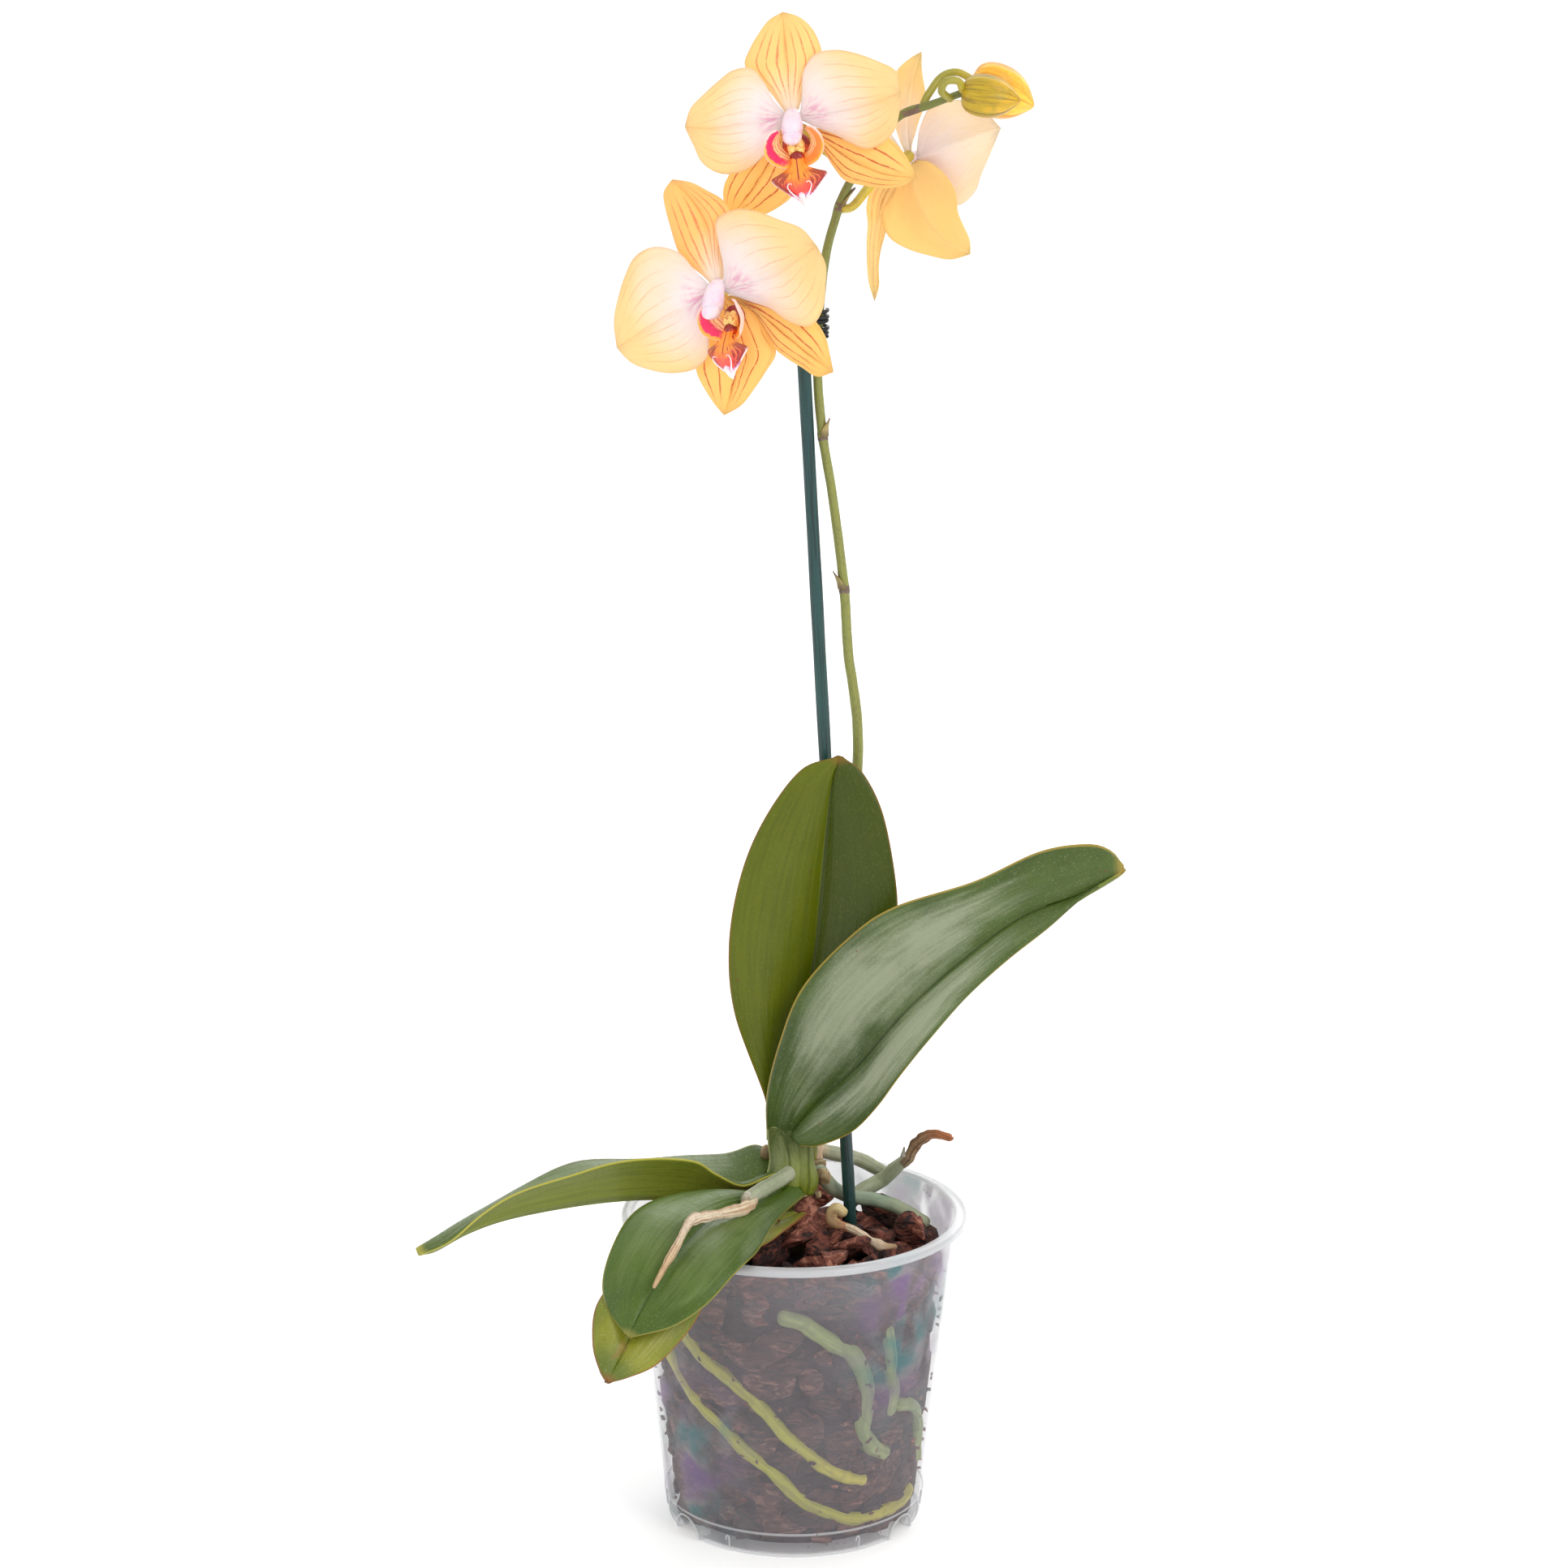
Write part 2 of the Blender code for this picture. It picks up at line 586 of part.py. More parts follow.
def make_crown():
    path = smooth_path(CROWN_ROUTE, 11)
    radii = spread(CROWN_RADII, 11)
    bed_place = Vector((0.0, 0.0, BARK_TOP))
    cutter = tube_cutter(
        "cut_crown", [p + bed_place for p in path[:6]], [r + CLEARANCE for r in radii[:6]], 2
    )
    cutter.location.z -= CLEARANCE
    add_part(tube_object("crown", path, radii, 2), "stem_green", PLANT)
    return cutter


def make_wall_root(name, radius, route):
    """A root lying against the inside of the wall, and the groove it leaves in the bark."""
    lowest = FLOOR_TOP + 2 * CLEARANCE + radius
    depth = BARK_TOP - lowest
    points = []
    for angle, share in route:
        height = lowest + depth * share
        points.append(around(angle, bore_radius(height) - WALL_ROOT_GAP - radius, height))
    count = 2 * len(route)
    path = smooth_path(points, count)
    add_part(tube_object(name, path, [radius] * count), "root_grey")
    return tube_cutter("cut_" + name, path, [radius + CLEARANCE] * count)


# ---------------------------------------------------------------- spike, tie, flowers and buds

SPIKE_ROUTE = [(0.0055, 0.0235, 0.017), (0.006, 0.0245, 0.026), (0.01, 0.029, 0.06),
(0.0145, 0.031, 0.09), (0.022, 0.033, 0.1665), (0.0185, 0.033, 0.206),
               (0.017, 0.033, 0.2285), (0.013, 0.033, 0.26), (0.0095, 0.033, 0.2815),
               (0.0078, 0.034, 0.301), (0.0085, 0.034, 0.319),
               (0.0105, 0.034, 0.342), (0.014, 0.034, 0.3515), (0.0175, 0.033, 0.3655),
               (0.026, 0.032, 0.3785), (0.035, 0.03, 0.389),
               (0.045, 0.027, 0.393), (0.055, 0.025, 0.397)]
SPIKE_RADII = [0.0021, 0.0021, 0.002, 0.0019, 0.0018, 0.0017, 0.0016, 0.0016, 0.0015, 0.0014, 0.0012]
SPIKE_POINTS = 40

# Each small sheath on the spike: height, and the side that it opens to
SPIKE_BRACTS = {
    "spike_bract_low": (0.226, -170.0),
    "spike_bract_middle": (0.279, -10.0),
    "spike_bract_upper": (0.356, 20.0),
}
BRACT_LENGTH = 0.0065
BRACT_HALF_WIDTH = 0.0016

# Each flower: centre, turn to the side, nod and roll in degrees, the angles that its five parts grow at
# from straight up, their lengths and widths against the usual ones, their twists, how far each stands in
# front of the flower's heart, and its stalk's way from the spike
PARTS_OF_A_FLOWER = ("dorsal_sepal", "left_petal", "right_petal", "left_sepal", "right_sepal")
FLOWERS = {
    "flower_top": {
        "centre": (0.0005, 0.02, 0.3853),
        "pose": (-8.0, -6.0, -10.0),
        "angles": (2.0, -74.0, 79.0, -131.0, 119.0),
        "lengths": (1.0, 1.0, 1.0, 0.93, 1.06),
        "widths": (1.0, 1.0, 1.0, 1.0, 1.0),
        "twists": (0.0, 0.0, 0.0, 0.0, 0.0),
        "layers": (0.0, PETAL_LAYER, PETAL_LAYER, -SEPAL_LAYER, 0.0),
        "stalk": [(0.0135, 0.031, 0.371), (0.009, 0.029, 0.382)],
    },
    "flower_low": {
        "centre": (-0.0255, 0.008, 0.3326),
        "pose": (-19.0, -8.0, -26.0),
        "angles": (3.0, -80.0, 86.0, -158.0, 144.0),
        "lengths": (1.0, 0.96, 1.13, 0.98, 1.14),
        "widths": (1.0, 1.0, 1.05, 1.0, 1.0),
        "twists": (0.0, 0.0, 0.0, 0.0, 0.0),
        "layers": (0.0, PETAL_LAYER, PETAL_LAYER, -SEPAL_LAYER, 0.0),
        "stalk": [(0.006, 0.0315, 0.33), (-0.008, 0.024, 0.338)],
    },
    "flower_rear": {
        "centre": (0.039, 0.051, 0.371),
        "pose": (142.0, -4.0, 0.0),
        "angles": (-17.0, -80.0, 62.0, -137.0, 168.0),
        "lengths": (1.1, 1.0, 0.9, 0.98, 1.16),
        "widths": (0.75, 1.0, 1.0, 1.1, 0.9),
        "twists": (0.0, 0.0, 0.0, 0.0, -50.0),
        "layers": (0.0, PETAL_LAYER, PETAL_LAYER, 0.0, -SEPAL_LAYER),
        "stalk": [(0.0205, 0.035, 0.361), (0.027, 0.042, 0.366)],
    },
}
LENGTHS = (DORSAL_LENGTH, PETAL_LENGTH, PETAL_LENGTH, LATERAL_LENGTH, LATERAL_LENGTH)
HALF_WIDTHS = (DORSAL_HALF_WIDTH, PETAL_HALF_WIDTH, PETAL_HALF_WIDTH, LATERAL_HALF_WIDTH, LATERAL_HALF_WIDTH)

# Each bud: middle, direction it points, length, radius, finish and its stalk's route
BUDS = {
    "bud_younger": (
        (0.0645, 0.02, 0.3965), (1.0, -0.15, -0.12), YOUNG_BUD_LENGTH, YOUNG_BUD_RADIUS, "bud_olive",
        [(0.0515, 0.0225, 0.3955), (0.0485, 0.018, 0.3985), (0.05, 0.0155, 0.402),
         (0.054, 0.017, 0.4015), (0.0545, 0.02, 0.3984)],
    ),
    "bud_older": (
        (0.069, 0.035, 0.397), (1.0, 0.1, -0.35), OLD_BUD_LENGTH, OLD_BUD_RADIUS, "sepal_orange",
        [(0.044, 0.0305, 0.395), (0.049, 0.034, 0.4015), (0.054, 0.035, 0.403), (0.0576, 0.0346, 0.4012)],
    ),
}


def spike_at(height):
    """The spike's centre at a height above the bark, from the points that it is drawn through."""
    path = smooth_path(SPIKE_ROUTE, SPIKE_POINTS)
    for low, high in zip(path, path[1:]):
        if high.z >= height:
            return low.lerp(high, (height - low.z) / (high.z - low.z))
    return path[-1]


def spike_radius_at(height):
    """The spike's radius at a height above the bark."""
    path = smooth_path(SPIKE_ROUTE, SPIKE_POINTS)
    for point, radius in zip(path, spread(SPIKE_RADII, SPIKE_POINTS)):
        if point.z >= height:
            return radius
    return SPIKE_RADII[-1]


def make_spike():
    tube("flower_spike", SPIKE_ROUTE, SPIKE_RADII, SPIKE_POINTS, "stem_green", PLANT)
    for name, (height, side) in SPIKE_BRACTS.items():
        turn = math.radians(side)
        out = Vector((math.cos(turn), math.sin(turn), 0.0))
        across = Vector((-out.y, out.x, 0.0))
        foot = spike_at(height) + out * (spike_radius_at(height) + PETAL_THICKNESS / 2 + 2 * CLEARANCE)
        rows = []
        for t in (0.0, 0.35, 0.7, 1.0):
            half = BRACT_HALF_WIDTH * (1.0 - 0.8 * t * t)
            at = foot + Vector((0, 0, BRACT_LENGTH * t)) + out * 0.0015 * t * t
            rows.append([at - across * half, at + out * 0.0003, at + across * half])
        add_part(sheet_object(name, rows, PETAL_THICKNESS), "dry_tan", PLANT)


def make_tie():
    """Wire wound round the stake and the spike together, in an oval coil."""
    foot, top = stake_ends()
    middle = TIE_HEIGHT + BARK_TOP
    stake = foot.lerp(top, (middle - foot.z) / (top.z - foot.z))
    spike = spike_at(TIE_HEIGHT)
    between = Vector((spike.x - stake.x, spike.y - stake.y, 0.0))
    along = between.normalized()
    across = Vector((-along.y, along.x, 0.0))
    centre = Vector(((spike.x + stake.x) / 2, (spike.y + stake.y) / 2, TIE_HEIGHT))
    room = max(STAKE_RADIUS, max(SPIKE_RADII)) + TIE_WIRE_RADIUS + 2 * CLEARANCE
    path = []
    count = TIE_TURNS * TIE_POINTS_PER_TURN
    for step in range(count + 1):
        turn = 2 * math.pi * step / TIE_POINTS_PER_TURN
        rise = TIE_PITCH * (step / TIE_POINTS_PER_TURN - TIE_TURNS / 2)
        reach = math.copysign(between.length / 2, math.cos(turn))
        reach *= min(1.0, abs(math.cos(turn)) * 4)
        place = along * (reach + room * 1.08 * math.cos(turn)) + across * room * 1.08 * math.sin(turn)
        path.append(centre + place + Vector((0, 0, rise)))
    add_part(tube_object("stem_tie", path, [TIE_WIRE_RADIUS] * len(path)), "wire", PLANT)


def outline(share, sharpness, peak):
    """Half width of a petal along its length, from 0 at its foot to 1 at its widest."""
    return max(math.sin(math.pi * share**peak), 0.0) ** sharpness


def petal_rows(petal, length, half_width, layer, angle, twist):
    """A petal's or a sepal's grid in its flower's frame: X right, Y up, Z out of its face."""
    turn = math.radians(angle)
    out = Vector((math.sin(turn), math.cos(turn), 0.0))
    side = Vector((out.y, -out.x, 0.0))
    rise, cup = (0.0030, 0.0008) if petal else (-0.0030, -0.0012)
    sharpness, peak = (0.56, 0.98) if petal else (0.64, 0.88)
    rows = []
    for station in range(PETAL_STATIONS):
        t = station / (PETAL_STATIONS - 1)
        half = half_width * max(outline(0.02 + 0.965 * t, sharpness, peak), 0.05)
        tilt = math.radians(twist) * min(1.0, 3 * t)
        across = side * math.cos(tilt) + Vector((0, 0, math.sin(tilt)))
        row = []
        for strip in range(PETAL_STRIPS + 1):
            v = 2 * strip / PETAL_STRIPS - 1
            reach = HEART_RADIUS + length * (t - 0.06 * t * t * v * v)
            depth = layer + rise * t * t + cup * v * v * half / half_width
            row.append(out * reach + across * half * v + Vector((0, 0, depth)))
        rows.append(row)
    return rows


def lip_patch(name, rows):
    obj = sheet_object(name, rows, 2 * PETAL_THICKNESS)
    CUTTERS.objects.link(obj)
    return add_cutter(meshed(obj), None)


def make_lip(name, holder):
    """Lip in one piece: a callus, two upright side lobes and an arrow-shaped middle lobe."""
    work = bmesh.new()
    bmesh.ops.create_uvsphere(work, u_segments=10, v_segments=6, radius=1.0)
    size = Matrix.Diagonal((0.0027, 0.0030, 0.0036, 1.0))
    bmesh.ops.transform(work, matrix=Matrix.Translation((0, -0.0078, 0.0072)) @ size, verts=work.verts)
    mesh = bpy.data.meshes.new(name)
    work.to_mesh(mesh)
    work.free()
    lip = add_part(bpy.data.objects.new(name, mesh), "lip_red", holder)
    spine = [(0.0, -0.0075, 0.007), (0.0, -0.011, 0.0095), (0.0, -0.0155, 0.011), (0.0, -0.019, 0.0105),
    (0.0, -0.0235, 0.0085)]
    halves = [0.0016, 0.0024, 0.0082, 0.0048, 0.0008]
    path = smooth_path(spine, 8)
    rows = []
    for place, half in zip(path, spread(halves, 8)):
        across = (-1, -0.5, 0, 0.5, 1)
        rows.append([place + Vector((half * v, 0.0008 * abs(v), -0.0016 * v * v)) for v in across])
    patches = [lip_patch(name + "_middle", rows)]
    for side in (-1, 1):
        foot = smooth_path([(side * x, y, z) for x, y, z in [(0.0014, -0.0095, 0.006),
        (0.0036, -0.0105, 0.0076), (0.0064, -0.0086, 0.009), (0.0082, -0.0052, 0.0096),
        (0.0066, -0.0016, 0.0096)]], 7)
        head = smooth_path([(side * x, y, z) for x, y, z in [(0.0014, -0.0065, 0.0076),
        (0.0032, -0.0068, 0.0086), (0.0048, -0.0056, 0.0096), (0.0054, -0.0034, 0.0102),
        (0.0056, -0.0018, 0.0102)]], 7)
        rows = [[a, a.lerp(b, 0.5), b] for a, b in zip(foot, head)]
        patches.append(lip_patch(f"{name}_side_{side + 1}", rows))
    for patch in patches:
        patch.parent = holder
        boolean(lip, patch, "UNION")
    return lip


def make_flower(name, form):
    holder = add_empty(name + "_centre", form["centre"])
    holder.parent = PLANT
    turn, nod, roll = [math.radians(angle) for angle in form["pose"]]
    face = Matrix.Rotation(turn, 3, "Z") @ Matrix.Rotation(math.radians(90) + nod, 3, "X")
    face = face @ Matrix.Rotation(-roll, 3, "Z")
    holder.rotation_euler = face.to_euler()
    for number, part in enumerate(PARTS_OF_A_FLOWER):
        petal = part.endswith("petal")
        length = LENGTHS[number] * form["lengths"][number]
        half_width = HALF_WIDTHS[number] * form["widths"][number]
        placing = (form["layers"][number], form["angles"][number], form["twists"][number])
        rows = petal_rows(petal, length, half_width, *placing)
        finish = "petal_yellow" if petal else "sepal_orange"
        add_part(sheet_object(f"{name}_{part}", rows, PETAL_THICKNESS), finish, holder)
    column = [(0, 0, CLEARANCE), (0, 0.0002, COLUMN_LENGTH * 0.5), (0, -0.0012, COLUMN_LENGTH)]
    tube(f"{name}_column", column, [COLUMN_RADIUS, COLUMN_RADIUS, CAP_RADIUS], 7, "column_white", holder)
    make_lip(f"{name}_lip", holder)
    back = Vector(form["centre"]) - face @ Vector((0, 0, CLEARANCE))
    behind = back - face @ Vector((0, 0, 4 * PEDICEL_RADIUS))
    tube(f"{name}_pedicel", [*form["stalk"], behind, back], [PEDICEL_RADIUS] * 2, 10, "stem_green", PLANT)


def make_bud(name, middle, heading, length, radius, finish, stalk):
    """A plump bud, turned about its length, and the stalk that carries it."""
    profile = [(0.0, length / 2)]
    for step in range(1, 8):
        swing = math.pi * step / 8
        taper = 1.0 - 0.22 * math.cos(swing)
        profile.append((radius * taper * math.sin(swing) ** 0.9, length / 2 * math.cos(swing)))
    profile.append((0.0, -length / 2))
    bud = add_part(turned_object(name, profile, 14), finish, PLANT)
    bud.location = middle
    bud.rotation_euler = Vector(heading).to_track_quat("Z", "Y").to_euler()
    tube(f"{name}_pedicel", stalk, [PEDICEL_RADIUS * 0.8] * 2, 10, "stem_green", PLANT)


CHIPS = {
    "bark_chip_right": ((0.042, 0.007), (0.014, 0.008, 0.009), (-18.0, 60.0)),
    "bark_chip_right_rear": ((0.03, 0.033), (0.007, 0.006, 0.005), (12.0, 5.0)),
    "bark_chip_rear": ((0.007, 0.045), (0.013, 0.007, 0.009), (10.0, -12.0)),
    "bark_chip_rear_left": ((-0.023, 0.042), (0.013, 0.008, 0.011), (-14.0, 35.0)),
    "bark_chip_front": ((0.01, -0.02), (0.015, 0.009, 0.006), (8.0, -25.0)),
}


def make_plant():
    cutters = [make_crown()]
    for name, rails in LEAVES.items():
        make_leaf(name, rails)
    for name, (finish, radii, route) in AERIAL_ROOTS.items():
        tube(name, route, radii, 3 * len(route), finish, PLANT)
    for name, (radius, route) in WALL_ROOTS.items():
        cutters.append(make_wall_root(name, radius, route))
    make_spike()
    for name, values in FLOWERS.items():
        make_flower(name, values)
    for name, values in BUDS.items():
        make_bud(name, *values)
    return cutters


clear_scene()
PARTS = collection("potted_orchid")
CUTTERS = collection("cutters")
PLANT = add_empty("plant_on_bark", (0.0, 0.0, BARK_TOP))
make_pot()
bed_cutters = [make_stake(), *make_plant()]
make_tie()
make_bark_bed(bed_cutters)
for chip_number, (chip_name, chip) in enumerate(CHIPS.items()):
    make_chip(chip_name, chip_number, *chip)
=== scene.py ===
"""Potted moth orchid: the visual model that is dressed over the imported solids.

Three open flowers and two buds on a staked spike, five leaves, roots in the air and against the wall,
and a clear nursery pot filled with bark. Lengths are in metres, +Z is up, and the origin is on the pot's
axis at the surface that the pot stands on. Plant points are measured from the middle of the bark.
"""

import logging
import math
import random
from dataclasses import dataclass, field
from enum import Enum
from typing import Iterable, Sequence

import bmesh
import bpy
import numpy as np
from mathutils import Matrix, Vector, noise

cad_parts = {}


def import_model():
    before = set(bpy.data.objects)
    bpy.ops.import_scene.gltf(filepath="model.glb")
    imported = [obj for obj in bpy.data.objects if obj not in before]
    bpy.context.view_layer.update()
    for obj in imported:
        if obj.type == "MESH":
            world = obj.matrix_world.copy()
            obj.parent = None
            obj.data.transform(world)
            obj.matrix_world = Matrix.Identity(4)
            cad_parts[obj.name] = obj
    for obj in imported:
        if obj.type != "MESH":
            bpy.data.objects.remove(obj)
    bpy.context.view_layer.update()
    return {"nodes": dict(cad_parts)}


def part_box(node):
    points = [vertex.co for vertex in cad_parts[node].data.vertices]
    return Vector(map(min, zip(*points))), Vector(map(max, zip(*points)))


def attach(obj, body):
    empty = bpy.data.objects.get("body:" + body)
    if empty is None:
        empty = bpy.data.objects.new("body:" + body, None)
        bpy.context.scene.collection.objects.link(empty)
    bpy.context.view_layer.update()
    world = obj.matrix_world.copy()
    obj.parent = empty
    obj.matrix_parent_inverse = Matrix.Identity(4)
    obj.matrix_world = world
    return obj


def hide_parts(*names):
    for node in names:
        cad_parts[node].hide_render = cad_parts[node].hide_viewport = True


LOG = logging.getLogger("orchid")
BODY = "root"
BARK_BELOW_RIM = 0.014
MM = 0.001
GOLDEN_ANGLE = 137.5

Point = tuple[float, float, float]
Colour = tuple[float, float, float]
Socket = bpy.types.NodeSocket


class Slot(Enum):
    """The record's material slots."""

    CLEAR = "clear_plastic"
    BARK = "bark"
    STAKE = "stake_green"
    WIRE = "wire"
    LEAF = "leaf_green"
    CROWN = "crown_green"
    STEM = "stem_green"
    STALK = "pedicel_green"
    PETAL = "petal_yellow"
    SEPAL = "sepal_orange"
    LIP = "lip_red"
    COLUMN = "column_white"
    YOUNG_BUD = "bud_olive"
    OLD_BUD = "bud_yellow"
    ROOT = "root_grey"
    DRY = "dry_tan"


def settle(piece: bpy.types.Object, slot: Slot, *nodes: str) -> None:
    """Rides a finished piece on the plant's one body in place of the solids it stands for.

    Args:
        piece: The finished object, already where it belongs.
        slot: The record's slot that its finish belongs to; not used.
        nodes: The solids that it stands for.
    """
    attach(piece, BODY)
    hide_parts(*nodes)
    LOG.info("%s: %d faces, for %s", piece.name, len(piece.data.polygons), ", ".join(nodes))


def linear(red: int, green: int, blue: int) -> Colour:
    """A colour given as 0 to 255 on a screen, as linear light.

    Args:
        red, green, blue: The screen values.

    Returns:
        The same colour in linear light.
    """

    def one(value: float) -> float:
        """One channel."""
        share = value / 255
        return share / 12.92 if share <= 0.04045 else ((share + 0.055) / 1.055) ** 2.4

    return one(red), one(green), one(blue)


# ---------------------------------------------------------------- shapes


def smooth_path(points: Sequence[Sequence[float]], count: int) -> np.ndarray:
    """Evenly spaced points on a Catmull-Rom curve through the given ones.

    Args:
        points: The points that the curve passes through.
        count: How many points to return.

    Returns:
        The curve's points, one to a row.
    """
    knots = np.array(points, float)
    ends = np.vstack([2 * knots[0] - knots[1], knots, 2 * knots[-1] - knots[-2]])
    t = np.linspace(0, 1, 14, endpoint=False)[:, None]
    fine = [
        0.5 * (
            2 * b + (c - a) * t + (2 * a - 5 * b + 4 * c - d) * t ** 2 + (3 * b - a - 3 * c + d) * t ** 3
        )
        for a, b, c, d in zip(ends, ends[1:], ends[2:], ends[3:])
    ]
    line = np.vstack([*fine, knots[-1:]])
    reach = distances(line)
    want = np.linspace(0, reach[-1], count)
    return np.column_stack([np.interp(want, reach, line[:, axis]) for axis in range(line.shape[1])])


def unit(vectors: np.ndarray) -> np.ndarray:
    """Each row's vector at a length of 1."""
    return vectors / np.maximum(np.linalg.norm(vectors, axis=-1, keepdims=True), 1e-12)


def distances(line: np.ndarray) -> np.ndarray:
    """How far each point of a line is from its start."""
    return np.concatenate([[0.0], np.cumsum(np.linalg.norm(np.diff(line, axis=0), axis=1))])


def spin(axis: str, degrees: float) -> Matrix:
    """A turn about an axis."""
    return Matrix.Rotation(math.radians(degrees), 4, axis)


def spread(values: Sequence[float], count: int) -> np.ndarray:
    """The values drawn out evenly over count places, with straight lines between them."""
    return np.interp(np.linspace(0, 1, count), np.linspace(0, 1, len(values)), values)


@dataclass
class Skin:
    """A closed surface before it is a mesh, with what its finish reads at each point.

    place is (across -1 to 1, along 0 to 1, side 0 under to 1 upper) and size is (half width or radius,
    distance along, chance 0 to 1), both one row to a point.
    """

    points: np.ndarray
    faces: list[tuple[int, ...]]
    place: np.ndarray
    size: np.ndarray
    finish: bpy.types.Material

    def moved(self, matrix: Matrix) -> "Skin":
        """The same skin, moved by a matrix.

        Args:
            matrix: The 4 by 4 move.

        Returns:
            A new skin, with its faces turned round if the matrix mirrors.
        """
        numbers = np.array(matrix)
        points = self.points @ numbers[:3, :3].T + numbers[:3, 3]
        mirrored = np.linalg.det(numbers[:3, :3]) < 0
        faces = [face[::-1] for face in self.faces] if mirrored else self.faces
        return Skin(points, faces, self.place, self.size, self.finish)


def make_piece(name: str, skins: Sequence[Skin], lift: float = 0.0) -> bpy.types.Object:
    """Joins skins into one object.

    Args:
        name: The piece's name.
        skins: What it is made of.
        lift: How far up to move it all, such as the bark's height for plant points.

    Returns:
        The object, smooth-shaded, with a material slot for each finish.
    """
    mesh = bpy.data.meshes.new(name)
    finishes: list[bpy.types.Material] = []
    faces: list[tuple[int, ...]] = []
    owners: list[int] = []
    start = 0
    for skin in skins:
        if skin.finish not in finishes:
            finishes.append(skin.finish)
        owner = finishes.index(skin.finish)
        faces += [tuple(corner + start for corner in face) for face in skin.faces]
        owners += [owner] * len(skin.faces)
        start += len(skin.points)
    points = np.vstack([skin.points for skin in skins]) + np.array((0.0, 0.0, lift))
    mesh.from_pydata(points.tolist(), [], faces)
    mesh.polygons.foreach_set("material_index", owners)
    for trait in ("place", "size"):
        values = np.vstack([getattr(skin, trait) for skin in skins]).astype(np.float32)
        mesh.attributes.new(trait, "FLOAT_VECTOR", "POINT").data.foreach_set("vector", values.ravel())
    mesh.shade_smooth()
    for finish in finishes:
        mesh.materials.append(finish)
    piece = bpy.data.objects.new(name, mesh)
    bpy.context.scene.collection.objects.link(piece)
    return piece


def grid_faces(rows: int, columns: int, start: int = 0, flip: bool = False) -> list[tuple[int, ...]]:
    """The quads of a grid of points.

    Args:
        rows, columns: The grid's size in points.
        start: The number of its first point.
        flip: Whether its faces look the other way.

    Returns:
        Its quads as point numbers.
    """
    corners = np.arange(rows * columns).reshape(rows, columns) + start
    quads = np.stack([corners[:-1, :-1], corners[:-1, 1:], corners[1:, 1:], corners[1:, :-1]], axis=-1)
    quads = quads.reshape(-1, 4)
    return [tuple(quad) for quad in (quads[:, ::-1] if flip else quads).tolist()]


def sheet(grid: np.ndarray, thickness: np.ndarray, finish: bpy.types.Material, chance: float = 0.5) -> Skin:
    """A closed sheet round a grid of points that lie halfway through its thickness.

    Args:
        grid: The points, as rows along the sheet by columns across it.
        thickness: How thick it is at each point.
        finish: Its material.
        chance: A number from 0 to 1 that its finish may vary with.

    Returns:
        The sheet, with its upper side where rows cross columns anticlockwise.
    """
    rows, columns = grid.shape[:2]
    along = np.gradient(grid, axis=0)
    across = np.gradient(grid, axis=1)
    normal = unit(np.cross(across, along))
    offset = normal * thickness[..., None] / 2
    count = rows * columns
    points = np.vstack([(grid + offset).reshape(-1, 3), (grid - offset).reshape(-1, 3)])
    faces = grid_faces(rows, columns) + grid_faces(rows, columns, count, flip=True)
    corners = np.arange(count).reshape(rows, columns)
    rim = [*corners[0, :-1], *corners[:-1, -1], *corners[-1, :0:-1], *corners[:0:-1, 0]]
    faces += [(int(b), int(a), int(a) + count, int(b) + count) for a, b in zip(rim, rim[1:] + rim[:1])]
    share = np.linspace(-1, 1, columns)[None, :].repeat(rows, 0)
    middle = grid[:, columns // 2]
    reach = distances(middle)
    run = (reach / max(reach[-1], 1e-9))[:, None].repeat(columns, 1)
    half = (np.linalg.norm(np.diff(grid, axis=1), axis=2).sum(1) / 2)[:, None].repeat(columns, 1)
    distance = reach[:, None].repeat(columns, 1)
    flat = [part.reshape(-1) for part in (share, run, half, distance)]
    place = np.vstack([np.column_stack([flat[0], flat[1], np.full(count, side)]) for side in (1.0, 0.0)])
    size = np.tile(np.column_stack([flat[2], flat[3], np.full(count, chance)]), (2, 1))
    return Skin(points, faces, place, size, finish)


